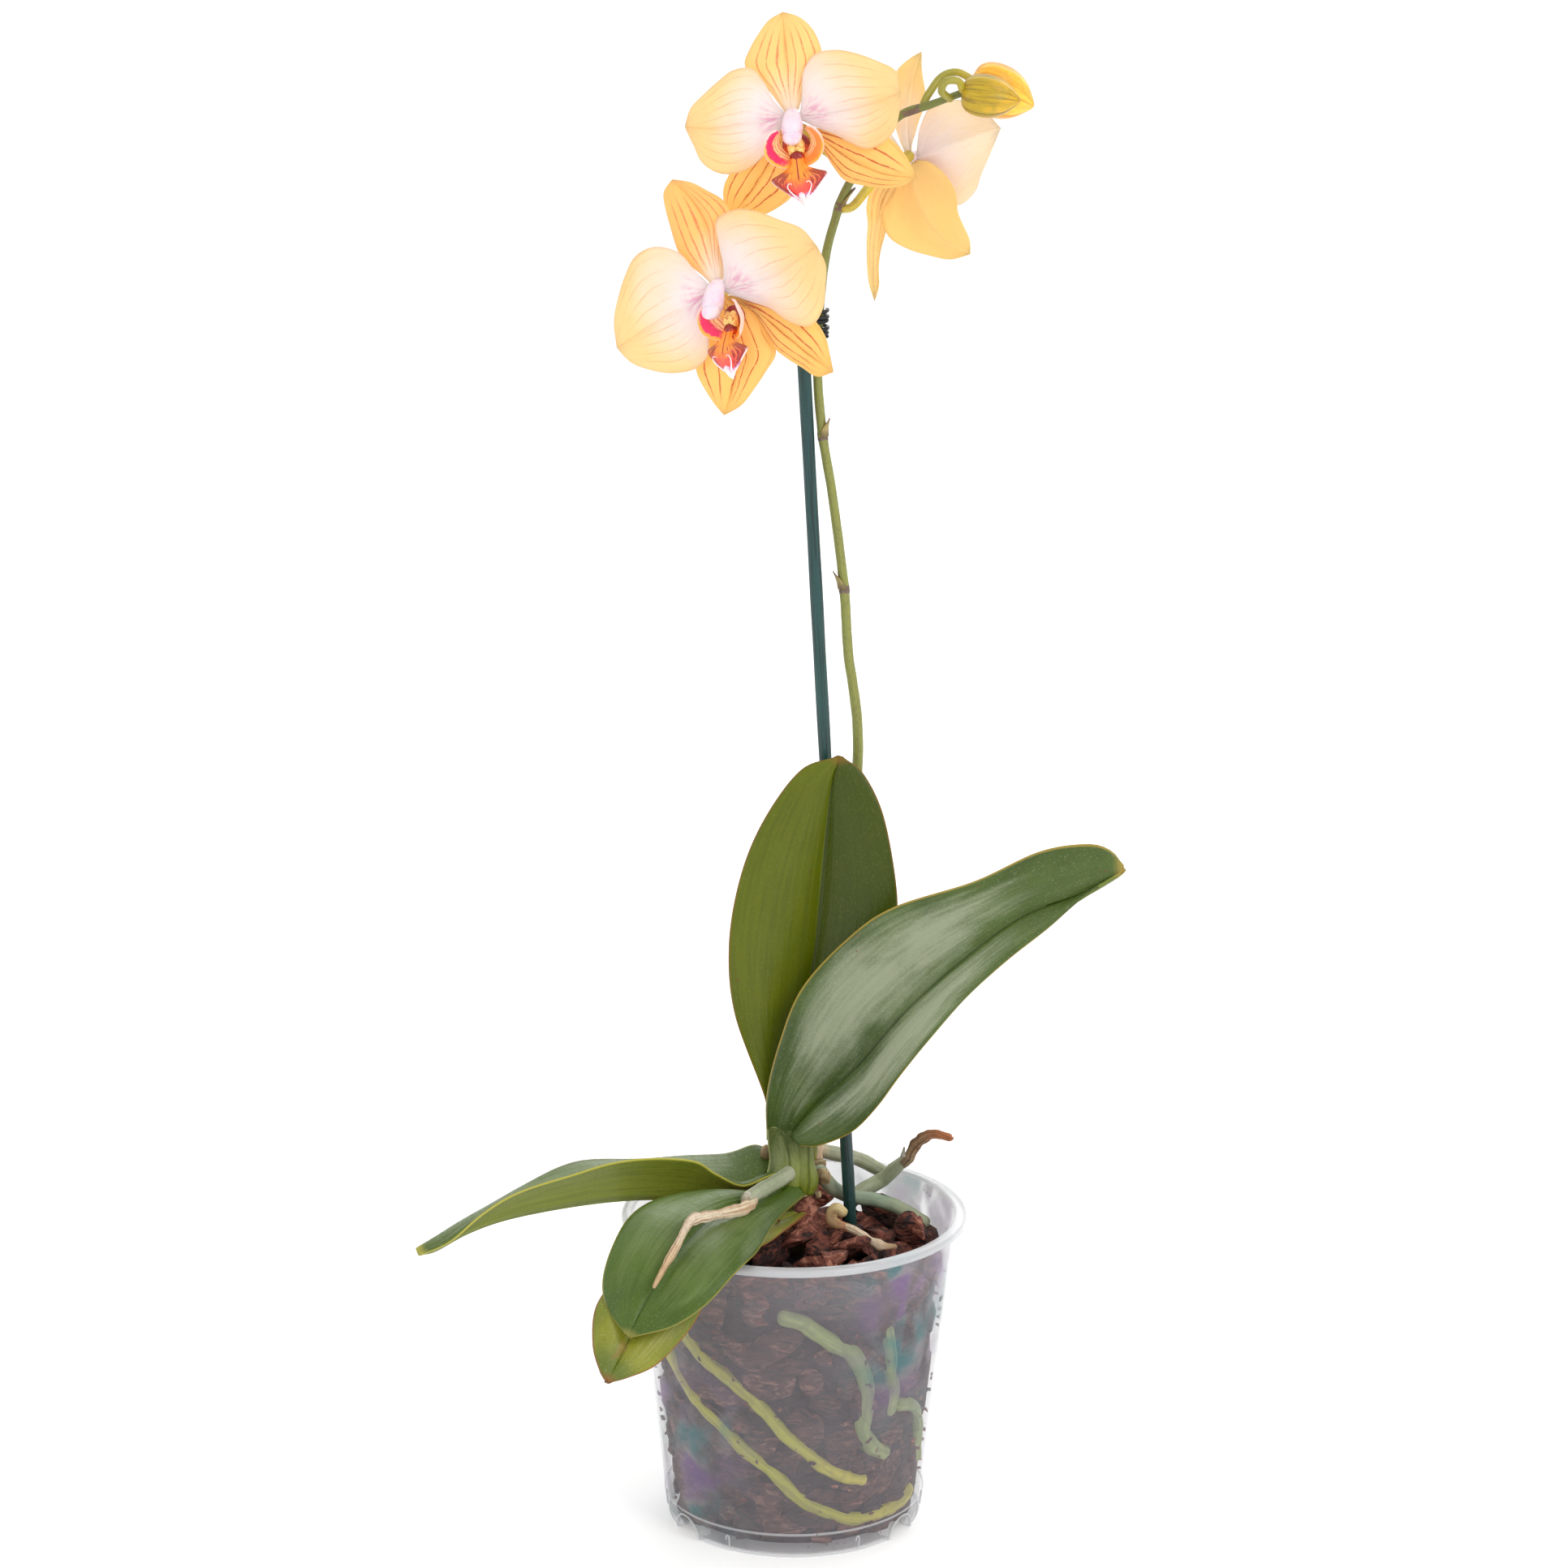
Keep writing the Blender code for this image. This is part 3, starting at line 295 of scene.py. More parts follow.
def round_bar(
    path: np.ndarray,
    radii: np.ndarray,
    finish: bpy.types.Material,
    sides: int = 12,
    lumps: float = 0.0,
    lump_size: float = 0.003,
    squash: Sequence[float] | None = None,
    chance: float = 0.5,
) -> Skin:
    """A round bar along a path, with rounded ends.

    Args:
        path: Points along its middle.
        radii: Its radius at each.
        finish: Its material.
        sides: How many sides it has.
        lumps: How uneven its surface is, as a share of its radius.
        lump_size: How long the lumps are.
        squash: How flat it is from start to end, where 0 is round and 1 is flat.
        chance: A number from 0 to 1 that its finish may vary with.

    Returns:
        The bar. Its place's first number goes once round it, from -1 to 1.
    """
    ahead = unit(np.gradient(path, axis=0))
    ball = np.array([0.35, 0.72, 0.93])
    first = [path[0] - ahead[0] * radii[0] * math.sqrt(1 - b * b) * 0.8 for b in ball]
    last = [path[-1] + ahead[-1] * radii[-1] * math.sqrt(1 - b * b) * 0.8 for b in ball[::-1]]
    line = np.vstack([first, path, last])
    ahead = np.vstack([[ahead[0]] * 3, ahead, [ahead[-1]] * 3])
    width = np.concatenate([radii[0] * ball, radii, radii[-1] * ball[::-1]])
    flat = spread(squash if squash is not None else (0.0, 0.0), len(line))
    side = np.cross(ahead[0], (0.0, 1.0, 0.0) if abs(ahead[0][1]) < 0.9 else (1.0, 0.0, 0.0))
    reach = distances(line)
    angles = np.linspace(0, 2 * math.pi, sides, endpoint=False)
    points = []
    for place, heading, radius, thin in zip(line, ahead, width, flat):
        side = side - heading * float(side @ heading)
        side /= max(np.linalg.norm(side), 1e-12)
        up = np.cross(heading, side)
        for angle in angles:
            out = side * math.cos(angle) + up * math.sin(angle) * (1 - thin)
            grow = radius
            if lumps:
                at = Vector((place + out * radius) / lump_size) + Vector((chance * 50, 0, 0))
                grow *= 1 + lumps * noise.noise(at)
            points.append(place + out * grow)
    rows = len(line)
    start = len(points)
    points += [line[0] - ahead[0] * radii[0] * 0.06, line[-1] + ahead[-1] * radii[-1] * 0.06]
    faces = []
    for row in range(rows - 1):
        for column in range(sides):
            a, b = row * sides + column, row * sides + (column + 1) % sides
            faces.append((a, b, b + sides, a + sides))
    for column in range(sides):
        a, b = column, (column + 1) % sides
        faces.append((start, b, a))
        faces.append((start + 1, (rows - 1) * sides + a, (rows - 1) * sides + b))
    turn = np.tile(np.linspace(-1, 1, sides, endpoint=False), rows)
    run = np.repeat(reach / max(reach[-1], 1e-9), sides)
    place = np.column_stack([turn, run, np.ones(len(run))])
    place = np.vstack([place, (0.0, 0.0, 1.0), (0.0, 1.0, 1.0)])
    size = np.column_stack([np.repeat(width, sides), np.repeat(reach, sides), np.full(len(run), chance)])
    size = np.vstack([size, (radii[0], 0.0, chance), (radii[-1], reach[-1], chance)])
    return Skin(np.array(points), faces, place, size, finish)


def lump(
    radii: Sequence[float], finish: bpy.types.Material, cuts: int, dice: random.Random, rough: float = 0.0
) -> Skin:
    """A rounded or broken lump about the origin.

    Args:
        radii: Its half length along X, Y and Z.
        finish: Its material.
        cuts: How many flat breaks it has.
        dice: Where its chances come from.
        rough: How uneven it is, as a share of its size.

    Returns:
        The lump.
    """
    work = bmesh.new()
    bmesh.ops.create_icosphere(work, subdivisions=3 if rough or not cuts else 2, radius=1.0)
    points = np.array([vertex.co[:] for vertex in work.verts])
    faces = [tuple(vertex.index for vertex in face.verts) for face in work.faces]
    work.free()
    for _ in range(cuts):
        way = np.array([dice.gauss(0, 1) for _ in range(3)])
        way /= np.linalg.norm(way)
        over = np.maximum(points @ way - dice.uniform(0.35, 0.8), 0)
        points = points - over[:, None] * way
    shift = dice.uniform(0, 90)
    if rough:
        grain = np.array(
            [noise.noise(Vector(p * (2.2, 2.2, 7.0)) + Vector((shift, 0, 0))) for p in points]
        )
        points = points * (1 + rough * grain)[:, None]
    place = np.column_stack([points[:, 0], points[:, 1] / 2 + 0.5, np.ones(len(points))])
    size = np.column_stack([np.full((len(points), 2), radii[0]), np.full(len(points), dice.random())])
    return Skin(points * np.array(radii), faces, place, size, finish)


def turned(profile: Sequence[Sequence[float]], steps: int, finish: bpy.types.Material) -> Skin:
    """A closed profile of (radius, height) turned about Z.

    Args:
        profile: The loop, whose points on the axis may be at radius 0.
        steps: How many steps go round.
        finish: Its material.

    Returns:
        The turned skin.
    """
    loop = np.array(profile, float)
    angles = np.linspace(0, 2 * math.pi, steps, endpoint=False)
    rings = [
        np.column_stack([loop[:, 0] * math.cos(a), loop[:, 0] * math.sin(a), loop[:, 1]]) for a in angles
    ]
    count = len(loop)
    faces = []
    for ring in range(steps):
        following = (ring + 1) % steps
        for i in range(count - 1):
            a, b = ring * count + i, following * count + i
            faces.append((a, b, b + 1, a + 1))
    points = np.vstack(rings)
    turn = np.repeat(np.linspace(-1, 1, steps, endpoint=False), count)
    rise = np.tile((loop[:, 1] - loop[:, 1].min()) / np.ptp(loop[:, 1]), steps)
    place = np.column_stack([turn, rise, np.ones(len(points))])
    size = np.column_stack([np.tile(loop[:, 0], steps), points[:, 2], np.full(len(points), 0.5)])
    return Skin(points, faces, place, size, finish)


def welded(piece: bpy.types.Object) -> bpy.types.Object:
    """Joins points that meet and turns all faces outwards.

    Args:
        piece: The object to mend.

    Returns:
        The same object.
    """
    work = bmesh.new()
    work.from_mesh(piece.data)
    bmesh.ops.remove_doubles(work, verts=work.verts, dist=1e-6)
    bmesh.ops.dissolve_degenerate(work, edges=work.edges, dist=1e-7)
    bmesh.ops.recalc_face_normals(work, faces=work.faces)
    work.to_mesh(piece.data)
    work.free()
    return piece


# ---------------------------------------------------------------- finishes


@dataclass(frozen=True)
class Signal:
    """What flows between a material's nodes. A sum on it adds a Math node."""

    paint: "Paint"
    socket: Socket

    def __add__(self, other: object) -> "Signal":
        """This plus other."""
        return self.paint.maths("ADD", self, other)

    def __radd__(self, other: object) -> "Signal":
        """Other plus this."""
        return self.paint.maths("ADD", other, self)

    def __sub__(self, other: object) -> "Signal":
        """This less other."""
        return self.paint.maths("SUBTRACT", self, other)

    def __rsub__(self, other: object) -> "Signal":
        """Other less this."""
        return self.paint.maths("SUBTRACT", other, self)

    def __mul__(self, other: object) -> "Signal":
        """This times other."""
        return self.paint.maths("MULTIPLY", self, other)

    def __rmul__(self, other: object) -> "Signal":
        """Other times this."""
        return self.paint.maths("MULTIPLY", other, self)

    def __truediv__(self, other: object) -> "Signal":
        """This over other."""
        return self.paint.maths("DIVIDE", self, other)

    def __abs__(self) -> "Signal":
        """This without its sign."""
        return self.paint.maths("ABSOLUTE", self)


class Paint:
    """Wires one material's nodes in short calls."""

    def __init__(self, name: str) -> None:
        """Starts a material of that name with its main shader."""
        self.material = bpy.data.materials.new(name)
        self.material.use_nodes = True
        self.tree = self.material.node_tree
        self.shader = self.tree.nodes["Principled BSDF"]

    def node(self, kind: str, **settings: object) -> bpy.types.Node:
        """Adds a node of that kind with its settings.

        Args:
            kind: The node's type, after ShaderNode.
            settings: Its plain settings.

        Returns:
            The new node.
        """
        made = self.tree.nodes.new("ShaderNode" + kind)
        for name, value in settings.items():
            setattr(made, name, value)
        return made

    def feed(self, socket: Socket, value: object) -> None:
        """Links a socket to an output, or gives it a plain value.

        Args:
            socket: The input to set.
            value: A signal, an output, a colour or a number.
        """
        source = value.socket if isinstance(value, Signal) else value
        if isinstance(source, Socket):
            self.tree.links.new(source, socket)
        elif isinstance(value, tuple) and socket.type == "RGBA":
            socket.default_value = (*value, 1.0)
        else:
            socket.default_value = value

    def fed(self, node: bpy.types.Node, pairs: Iterable[tuple[Socket, object]], output: int = 0) -> Signal:
        """Feeds a node's sockets and returns one of its outputs.

        Args:
            node: The node to feed.
            pairs: Its sockets, each with what goes into it.
            output: The number of the output that is wanted.

        Returns:
            That output.
        """
        for socket, value in pairs:
            self.feed(socket, value)
        return Signal(self, node.outputs[output])

    def maths(self, operation: str, *values: object, clamp: bool = False) -> Signal:
        """One sum on numbers, such as SINE."""
        made = self.node("Math", operation=operation, use_clamp=clamp)
        return self.fed(made, zip(made.inputs, values))

    def parts(self, vector: object) -> list[Signal]:
        """The three numbers of a vector.

        Args:
            vector: The vector to take apart.

        Returns:
            Its three numbers.
        """
        made = self.node("SeparateXYZ")
        self.feed(made.inputs[0], vector)
        return [Signal(self, output) for output in made.outputs]

    def trait(self, name: str) -> list[Signal]:
        """The three numbers that each point of the mesh holds under a name."""
        return self.parts(self.node("Attribute", attribute_name=name).outputs["Vector"])

    def spot(self, *numbers: object) -> Signal:
        """A vector of three numbers."""
        made = self.node("CombineXYZ")
        return self.fed(made, zip(made.inputs, numbers))

    def round(self, turn: Signal, scale: float, rise: object) -> Signal:
        """A place on a pillar: turn is from -1 to 1 round it, scale its radius and rise its height."""
        angle = turn * math.pi
        return self.spot(self.maths("COSINE", angle) * scale, self.maths("SINE", angle) * scale, rise)

    def space(self, stretch: Point = (1.0, 1.0, 1.0)) -> Signal:
        """Places on the object in metres, stretched along each axis.

        Args:
            stretch: How much each axis is stretched.

        Returns:
            The places.
        """
        made = self.node("Mapping")
        self.feed(made.inputs["Vector"], self.node("TexCoord").outputs["Object"])
        made.inputs["Scale"].default_value = stretch
        return Signal(self, made.outputs[0])

    def noise(self, where: Signal, scale: float, detail: float = 3.0, bend: float = 0.0) -> Signal:
        """Cloudy noise from about 0 to 1.

        Args:
            where: The places that it is read at.
            scale: How fine it is.
            detail: How many finer layers it has.
            bend: How much it is warped.

        Returns:
            The noise.
        """
        made = self.node("TexNoise")
        sockets = [made.inputs[name] for name in ("Vector", "Scale", "Detail", "Distortion")]
        return self.fed(made, zip(sockets, (where, scale, detail, bend)))

    def cells(self, where: Signal, scale: float) -> Signal:
        """The distance to the nearest of many scattered points, in units of 1 over scale."""
        made = self.node("TexVoronoi")
        return self.fed(made, ((made.inputs["Vector"], where), (made.inputs["Scale"], scale)))

    def rise(self, value: object, low: float, high: float) -> Signal:
        """A smooth rise from 0 at low to 1 at high; low may be over high for a fall.

        Args:
            value: What rises.
            low: Where the result is 0.
            high: Where the result is 1.

        Returns:
            The rise.
        """
        made = self.node("MapRange", interpolation_type="SMOOTHSTEP", clamp=True)
        ends = (1.0, 0.0) if low > high else (0.0, 1.0)
        return self.fed(made, zip(made.inputs, (value, min(low, high), max(low, high), *ends)))

    def mix(self, share: object, under: object, over: object, blend: str = "MIX") -> Signal:
        """Two colours mixed by a share.

        Args:
            share: How much of over shows, from 0 to 1.
            under: The first colour.
            over: The second colour.
            blend: How the second is laid on.

        Returns:
            The mixed colour.
        """
        made = self.node("Mix", data_type="RGBA", blend_type=blend)
        pairs = ((made.inputs[0], share), (made.inputs[6], under), (made.inputs[7], over))
        return self.fed(made, pairs, output=2)

    def bump(self, height: Signal, distance: float, under: Signal | None = None) -> Signal:
        """A bump from a height of 0 to 1 that is distance deep, on top of another bump if one is given.

        Args:
            height: The height.
            distance: How deep it is in metres.
            under: The bump that it lies on.

        Returns:
            The bent surface direction.
        """
        made = self.node("Bump")
        pairs = [(made.inputs["Height"], height), (made.inputs["Distance"], distance)]
        if under is not None:
            pairs.append((made.inputs["Normal"], under))
        return self.fed(made, pairs)

    def lines(self, across: Signal, half: Signal, count: int, width: float, wobble: Signal) -> Signal:
        """Lines that run along a blade at even steps across it.

        Args:
            across: From -1 to 1 across the blade.
            half: The blade's half width in metres.
            count: How many lines fit in half the blade.
            width: How wide a line is in metres.
            wobble: A small number that bends them.

        Returns:
            1 on a line and 0 away from it.
        """
        at = across * float(count) + wobble
        off = abs(self.maths("FRACT", at) - 0.5)
        return self.rise(off * half / float(count), width, 0.0)

    def backlit(self, colour: object, share: float, relief: Signal | None = None) -> None:
        """Lets a share of the light behind shine through in a colour.

        Args:
            colour: The colour that shines through.
            share: How much of the surface lets it through.
            relief: The bump that it follows.
        """
        glow, both = self.node("BsdfTranslucent"), self.node("MixShader")
        self.feed(glow.inputs["Color"], colour)
        if relief is not None:
            self.feed(glow.inputs["Normal"], relief)
        self.fed(both, zip(both.inputs, (share, self.shader.outputs[0], glow.outputs[0])))
        self.feed(self.tree.nodes["Material Output"].inputs["Surface"], both.outputs[0])

    def finish(self, **sockets: object) -> bpy.types.Material:
        """Feeds the main shader, whose sockets are named with _ for a space, and returns the material.

        Args:
            sockets: What goes into each socket.

        Returns:
            The material.
        """
        for name, value in sockets.items():
            self.feed(self.shader.inputs[name.replace("_", " ")], value)
        return self.material


@dataclass(frozen=True)
class PetalFinish:
    """A petal's or sepal's skin: pale heart, deeper margin, blush at the foot and fine red veins."""

    name: str
    margin: Colour
    heart: Colour
    back: Colour
    blush: Colour = linear(226, 150, 190)
    vein: Colour = linear(222, 120, 84)
    veins: int = 5
    vein_width: float = 0.00036
    vein_from: float = 0.25
    vein_to: float = 0.86
    vein_strength: float = 0.75
    heart_reach: float = 0.55
    blush_strength: float = 0.6

    def material(self) -> bpy.types.Material:
        """Builds the material.

        Returns:
            The material.
        """
        paint = Paint(self.name)
        across, along, side = paint.trait("place")
        half, _, chance = paint.trait("size")
        where = paint.space()
        soft = paint.noise(where, 90.0, 3.0, 0.4)
        edge = across * across
        run = along + edge * 0.3
        run = run + (soft - 0.5) * 0.22
        colour = paint.mix(
            paint.rise(run, self.heart_reach - 0.38, self.heart_reach + 0.22), self.heart, self.margin
        )
        deep = paint.rise(paint.noise(where, 45.0, 2.0), 0.42, 0.72)
        colour = paint.mix(deep * 0.1, colour, self.margin, "MULTIPLY")
        near = paint.rise(abs(along - 0.17), 0.17, 0.02)
        near = near * paint.rise(abs(across), 0.75, 0.05)
        patch = paint.spot(across * 11.0, along * 9.0, chance)
        patch = paint.rise(paint.noise(patch, 1.0, 3.0), 0.38, 0.64)
        blush = near * patch * self.blush_strength
        colour = paint.mix(blush, colour, self.blush)
        bend = paint.noise(paint.spot(across * 2.0, along * 3.0, chance), 1.6)
        wobble = bend * 0.55
        line = paint.lines(across, half, self.veins, self.vein_width, wobble)
        broken = paint.noise(paint.spot(across * 16.0, along * 34.0, chance), 1.0, 2.0)
        reach = (
            paint.rise(along, self.vein_from, self.vein_from + 0.22)
            * paint.rise(along, self.vein_to, self.vein_to - 0.2)
        )
        line = line * (reach * paint.rise(broken, 0.24, 0.46))
        line = line * paint.rise(abs(across), 0.97, 0.8)
        line = line * (side * self.vein_strength)
        colour = paint.mix(line, colour, self.vein)
        fine = paint.noise(paint.spot(across * 26.0, along * 4.0, chance), 1.0, 3.0)
        colour = paint.mix(paint.rise(fine, 0.45, 0.75) * 0.08, colour, self.margin, "MULTIPLY")
        rear = paint.mix(paint.rise(run, 0.1, 0.9), self.heart, self.back)
        rear = paint.mix(paint.rise(fine, 0.45, 0.7) * 0.25, rear, self.margin)
        colour = paint.mix(side, rear, colour)
        crinkle = paint.bump(fine, 0.00030)
        crinkle = paint.bump(paint.noise(where, 1400.0, 2.0), 0.00006, under=crinkle)
        paint.backlit(colour, 0.38, crinkle)
        # Painted light: a weak glow in the petal's own colour lifts its brightness, though it is no lamp.
        return paint.finish(
            Base_Color=colour, Roughness=0.48, Normal=crinkle, Sheen_Weight=0.15, Specular_IOR_Level=0.3,
            Emission_Color=colour, Emission_Strength=0.07,
        )


@dataclass(frozen=True)
class LeafFinish:
    """A thick waxy leaf: fine lengthwise grain, cross wrinkles, a keel crease darkened as painted shade, a
    painted sheen patch and a thin warm margin.
    """

    name: str
    upper: Colour
    shade: Colour
    under: Colour
    rim: Colour
    # Pale colour of fine specks and of the painted sheen that stands for a lamp's reflection, then the
    # strength of that painted sheen.
    bloom_and_sheen: Colour
    sheen_strength: float
    mottle: float = 0.3
    foot: Colour = linear(96, 70, 60)
    foot_reach: float = 0.0
    glow: float = 0.0
    clouds: float = 1.0
    # Where along the blade the painted sheen patch lies.
    sheen_at: float = 0.5
    # How far one half of the blade is darkened towards the shade colour, as painted shade.
    halves: float = 0.0

    def material(self) -> bpy.types.Material:
        """Builds the material.

        Returns:
            The material.
        """
        paint = Paint(self.name)
        across, along, side = paint.trait("place")
        half, run, chance = paint.trait("size")
        where = paint.space()
        cloud = paint.noise(where, 30.0, 4.0, 0.6)
        colour = paint.mix(paint.rise(cloud, 0.66, 0.34) * self.clouds, self.upper, self.shade)
        # Painted shade: the half of the blade on one side of the keel is darkened, as if that half faced
        # away from the light.
        if self.halves:
            colour = paint.mix(paint.rise(across, -0.02, 0.02) * self.halves, colour, self.shade)
        grain = paint.noise(paint.spot(across * 24.0, run * 40.0, chance), 1.0, 4.0)
        colour = paint.mix(paint.rise(grain, 0.4, 0.7) * 0.22, colour, self.shade)
        speck = paint.noise(where, 1500.0, 2.0)
        colour = paint.mix(paint.rise(speck, 0.56, 0.72) * 0.16, colour, self.bloom_and_sheen)
        # Painted sheen: a broad pale patch about a set place across and along the blade, broken up by noise,
        # stands for the reflection of a soft lamp.
        band = paint.noise(paint.spot(across * 2.2, along * 3.6, chance), 1.5, 4.0, 0.5)
        aside = (abs(across) - 0.48) / 0.34
        ahead = (along - self.sheen_at) / 0.26
        far = aside * aside + ahead * ahead
        far = far + (band - 0.5) * 4.0
        far = far + (grain - 0.5) * 1.8
        far = far + (speck - 0.5) * 1.6
        painted_sheen = paint.rise(far, 2.4, -0.4) * self.sheen_strength
        colour = paint.mix(painted_sheen, colour, self.bloom_and_sheen)
        # Painted shade: the keel crease is darkened towards the shade colour.
        keel = paint.rise(abs(across) * half, 0.0009, 0.0002)
        colour = paint.mix(keel * 0.6, colour, self.shade)
        blotch = paint.rise(paint.noise(where, 130.0, 4.0, 1.0), 0.56, 0.74)
        colour = paint.mix(blotch * self.mottle, colour, self.rim)
        under = paint.mix(paint.rise(grain, 0.4, 0.7) * 0.3, self.under, self.shade)
        colour = paint.mix(side, under, colour)
        if self.foot_reach:
            low = paint.rise(along + cloud * 0.06, self.foot_reach, 0.03)
            low = low * (1.0 - side)
            colour = paint.mix(low, colour, self.foot)
        gap = (1.0 - abs(across)) * half
        margin = paint.rise(gap + speck * 0.0003, 0.0009, 0.0003)
        tip = paint.rise(along, 0.965, 1.0)
        colour = paint.mix(paint.maths("MAXIMUM", margin, tip) * 0.8, colour, self.rim)
        spots = paint.rise(paint.cells(where, 210.0), 0.16, 0.08)
        spots = spots * paint.rise(paint.noise(where, 60.0), 0.6, 0.7)
        colour = paint.mix(spots * 0.55, colour, linear(110, 72, 40))
        folds = paint.noise(paint.spot(across * 3.0, run * 900.0, chance), 1.0, 3.0, 0.8)
        relief = paint.bump(grain, 0.00025)
        relief = paint.bump(folds, 0.00012, under=relief)
        relief = paint.bump(speck, 0.00004, under=relief)
        gloss = 0.3 + paint.rise(folds, 0.3, 0.7) * 0.16
        paint.finish(
            Base_Color=colour, Roughness=gloss, Normal=relief, Specular_IOR_Level=0.32, Coat_Weight=0.08,
            Coat_Roughness=0.3,
        )
        if self.glow:
            paint.backlit(paint.mix(1.0, colour, (1.0, 0.95, 0.45), "MULTIPLY"), self.glow)
        return paint.material


@dataclass(frozen=True)
class BarFinish:
    """A stem, stalk, root or stake: colours that change along it, streaks, mottling and scars."""

    name: str
    start: Colour
    middle: Colour
    end: Colour
    dark: Colour
    streak: float = 0.3
    streaks: float = 9.0
    mottle: float = 0.3
    mottle_scale: float = 700.0
    rough: float = 0.5
    relief: float = 0.0002
    metallic: float = 0.0

    def material(self) -> bpy.types.Material:
        """Builds the material.

        Returns:
            The material.
        """
        paint = Paint(self.name)
        around, along, _ = paint.trait("place")
        _, run, chance = paint.trait("size")
        where = paint.space()
        rise = run * 45.0 + chance * 20.0
        ring = paint.round(around, self.streaks / 4, rise)
        streak = paint.noise(ring, 1.0, 4.0, 0.3)
        patch = paint.noise(where, self.mottle_scale, 4.0, 0.5)
        shift = along + (streak - 0.5) * 0.12
        colour = paint.mix(paint.rise(shift, 0.1, 0.5), self.start, self.middle)
        colour = paint.mix(paint.rise(shift, 0.55, 0.95), colour, self.end)
        colour = paint.mix(paint.rise(streak, 0.42, 0.66) * self.streak, colour, self.dark)
        colour = paint.mix(paint.rise(patch, 0.48, 0.68) * self.mottle, colour, self.dark)
        relief = paint.bump(streak, self.relief)
        relief = paint.bump(patch, self.relief / 2, under=relief)
        gloss = self.rough - 0.08 + patch * 0.16
        return paint.finish(Base_Color=colour, Roughness=gloss, Normal=relief, Metallic=self.metallic)


@dataclass(frozen=True)
class BarkFinish:
    """Coarse pine bark: red-brown plates with near-black hollows and paler broken edges."""

    name: str
    pale: Colour = linear(182, 122, 100)
    middle: Colour = linear(118, 64, 50)
    dark: Colour = linear(36, 20, 18)

    def material(self) -> bpy.types.Material:
        """Builds the material.

        Returns:
            The material.
        """
        paint = Paint(self.name)
        _, _, chance = paint.trait("size")
        where = paint.space()
        plates = paint.noise(paint.space((1.0, 1.0, 2.6)), 170.0, 6.0, 1.4)
        grit = paint.noise(where, 1500.0, 3.0)
        cracks = paint.cells(paint.space((1.0, 1.0, 2.2)), 240.0)
        own = plates + (chance - 0.5) * 0.26
        colour = paint.mix(paint.rise(own, 0.34, 0.58), self.dark, self.middle)
        colour = paint.mix(paint.rise(own, 0.56, 0.78), colour, self.pale)
        colour = paint.mix(paint.rise(grit, 0.5, 0.7) * 0.35, colour, self.dark)
        colour = paint.mix(paint.rise(cracks, 0.3, 0.05) * 0.4, colour, self.dark)
        relief = paint.bump(plates, 0.0016)
        relief = paint.bump(cracks, 0.0006, under=relief)
        relief = paint.bump(grit, 0.00025, under=relief)
        gloss = 0.62 + plates * 0.3
        return paint.finish(Base_Color=colour, Roughness=gloss, Normal=relief, Specular_IOR_Level=0.35)


@dataclass(frozen=True)
class ClearFinish:
    """Thin milky plastic, with soft colour streaks that are partly the stress colours of moulded sheet and
    partly painted iridescent reflection, fine scratches and specks of grit.
    """

    name: str
    solid: float
    milk: Colour = linear(156, 151, 157)
    # Colours and strength of the painted iridescent reflection.
    sheen_teal: Colour = linear(34, 126, 130)
    sheen_plum: Colour = linear(128, 96, 150)
    sheen_bands: float = 0.9

    def material(self) -> bpy.types.Material:
        """Builds the material.

        Returns:
            The material.
        """
        paint = Paint(self.name)
        where = paint.space()
        aside, _, up = paint.parts(where)
        # Painted reflection: blue-green and purple streaks are laid at the low left and the high right of
        # the wall, partly the stress colours of the moulded plastic.
        sweep = paint.noise(paint.space((1.0, 0.6, 1.3)), 26.0, 2.0, 1.5)
        low = paint.rise(aside, -0.008, -0.038) * paint.rise(up, 0.085, 0.045)
        high = paint.rise(aside, 0.008, 0.04) * paint.rise(up, 0.03, 0.075)
        sheen_zone = paint.maths("MAXIMUM", low, high) * self.sheen_bands
        hue = up * 170.0 + aside * -90.0
        hue = paint.maths("SINE", hue + sweep * 9.0)
        wisp = paint.rise(paint.noise(paint.space((1.0, 1.0, 0.7)), 60.0, 4.0, 1.0), 0.36, 0.62)
        sheen_zone = sheen_zone * wisp
        colour = paint.mix(paint.rise(hue, -0.2, 0.9) * sheen_zone, self.milk, self.sheen_teal)
        colour = paint.mix(paint.rise(hue, 0.1, -0.9) * sheen_zone, colour, self.sheen_plum)
        scratch = paint.noise(paint.space((1.0, 1.0, 0.12)), 900.0, 2.0, 0.3)
        haze = paint.noise(where, 70.0, 4.0)
        specks = paint.rise(paint.cells(where, 330.0), 0.13, 0.07)
        specks = specks * paint.rise(haze, 0.5, 0.6)
        colour = paint.mix(specks, colour, linear(70, 45, 40))
        alpha = self.solid - 0.03 + haze * 0.1
        alpha = alpha + sheen_zone * 0.28
        alpha = alpha + paint.rise(up, 0.082, 0.108) * 0.1
        alpha = paint.maths("ADD", alpha, specks * 0.5, clamp=True)
        relief = paint.bump(haze, 0.0004)
        relief = paint.bump(scratch, 0.00003, under=relief)
        gloss = 0.16 + haze * 0.14
        return paint.finish(
            Base_Color=colour, Roughness=gloss, Normal=relief, Alpha=alpha, IOR=1.5, Coat_Weight=0.5,
            Coat_Roughness=0.12,
        )


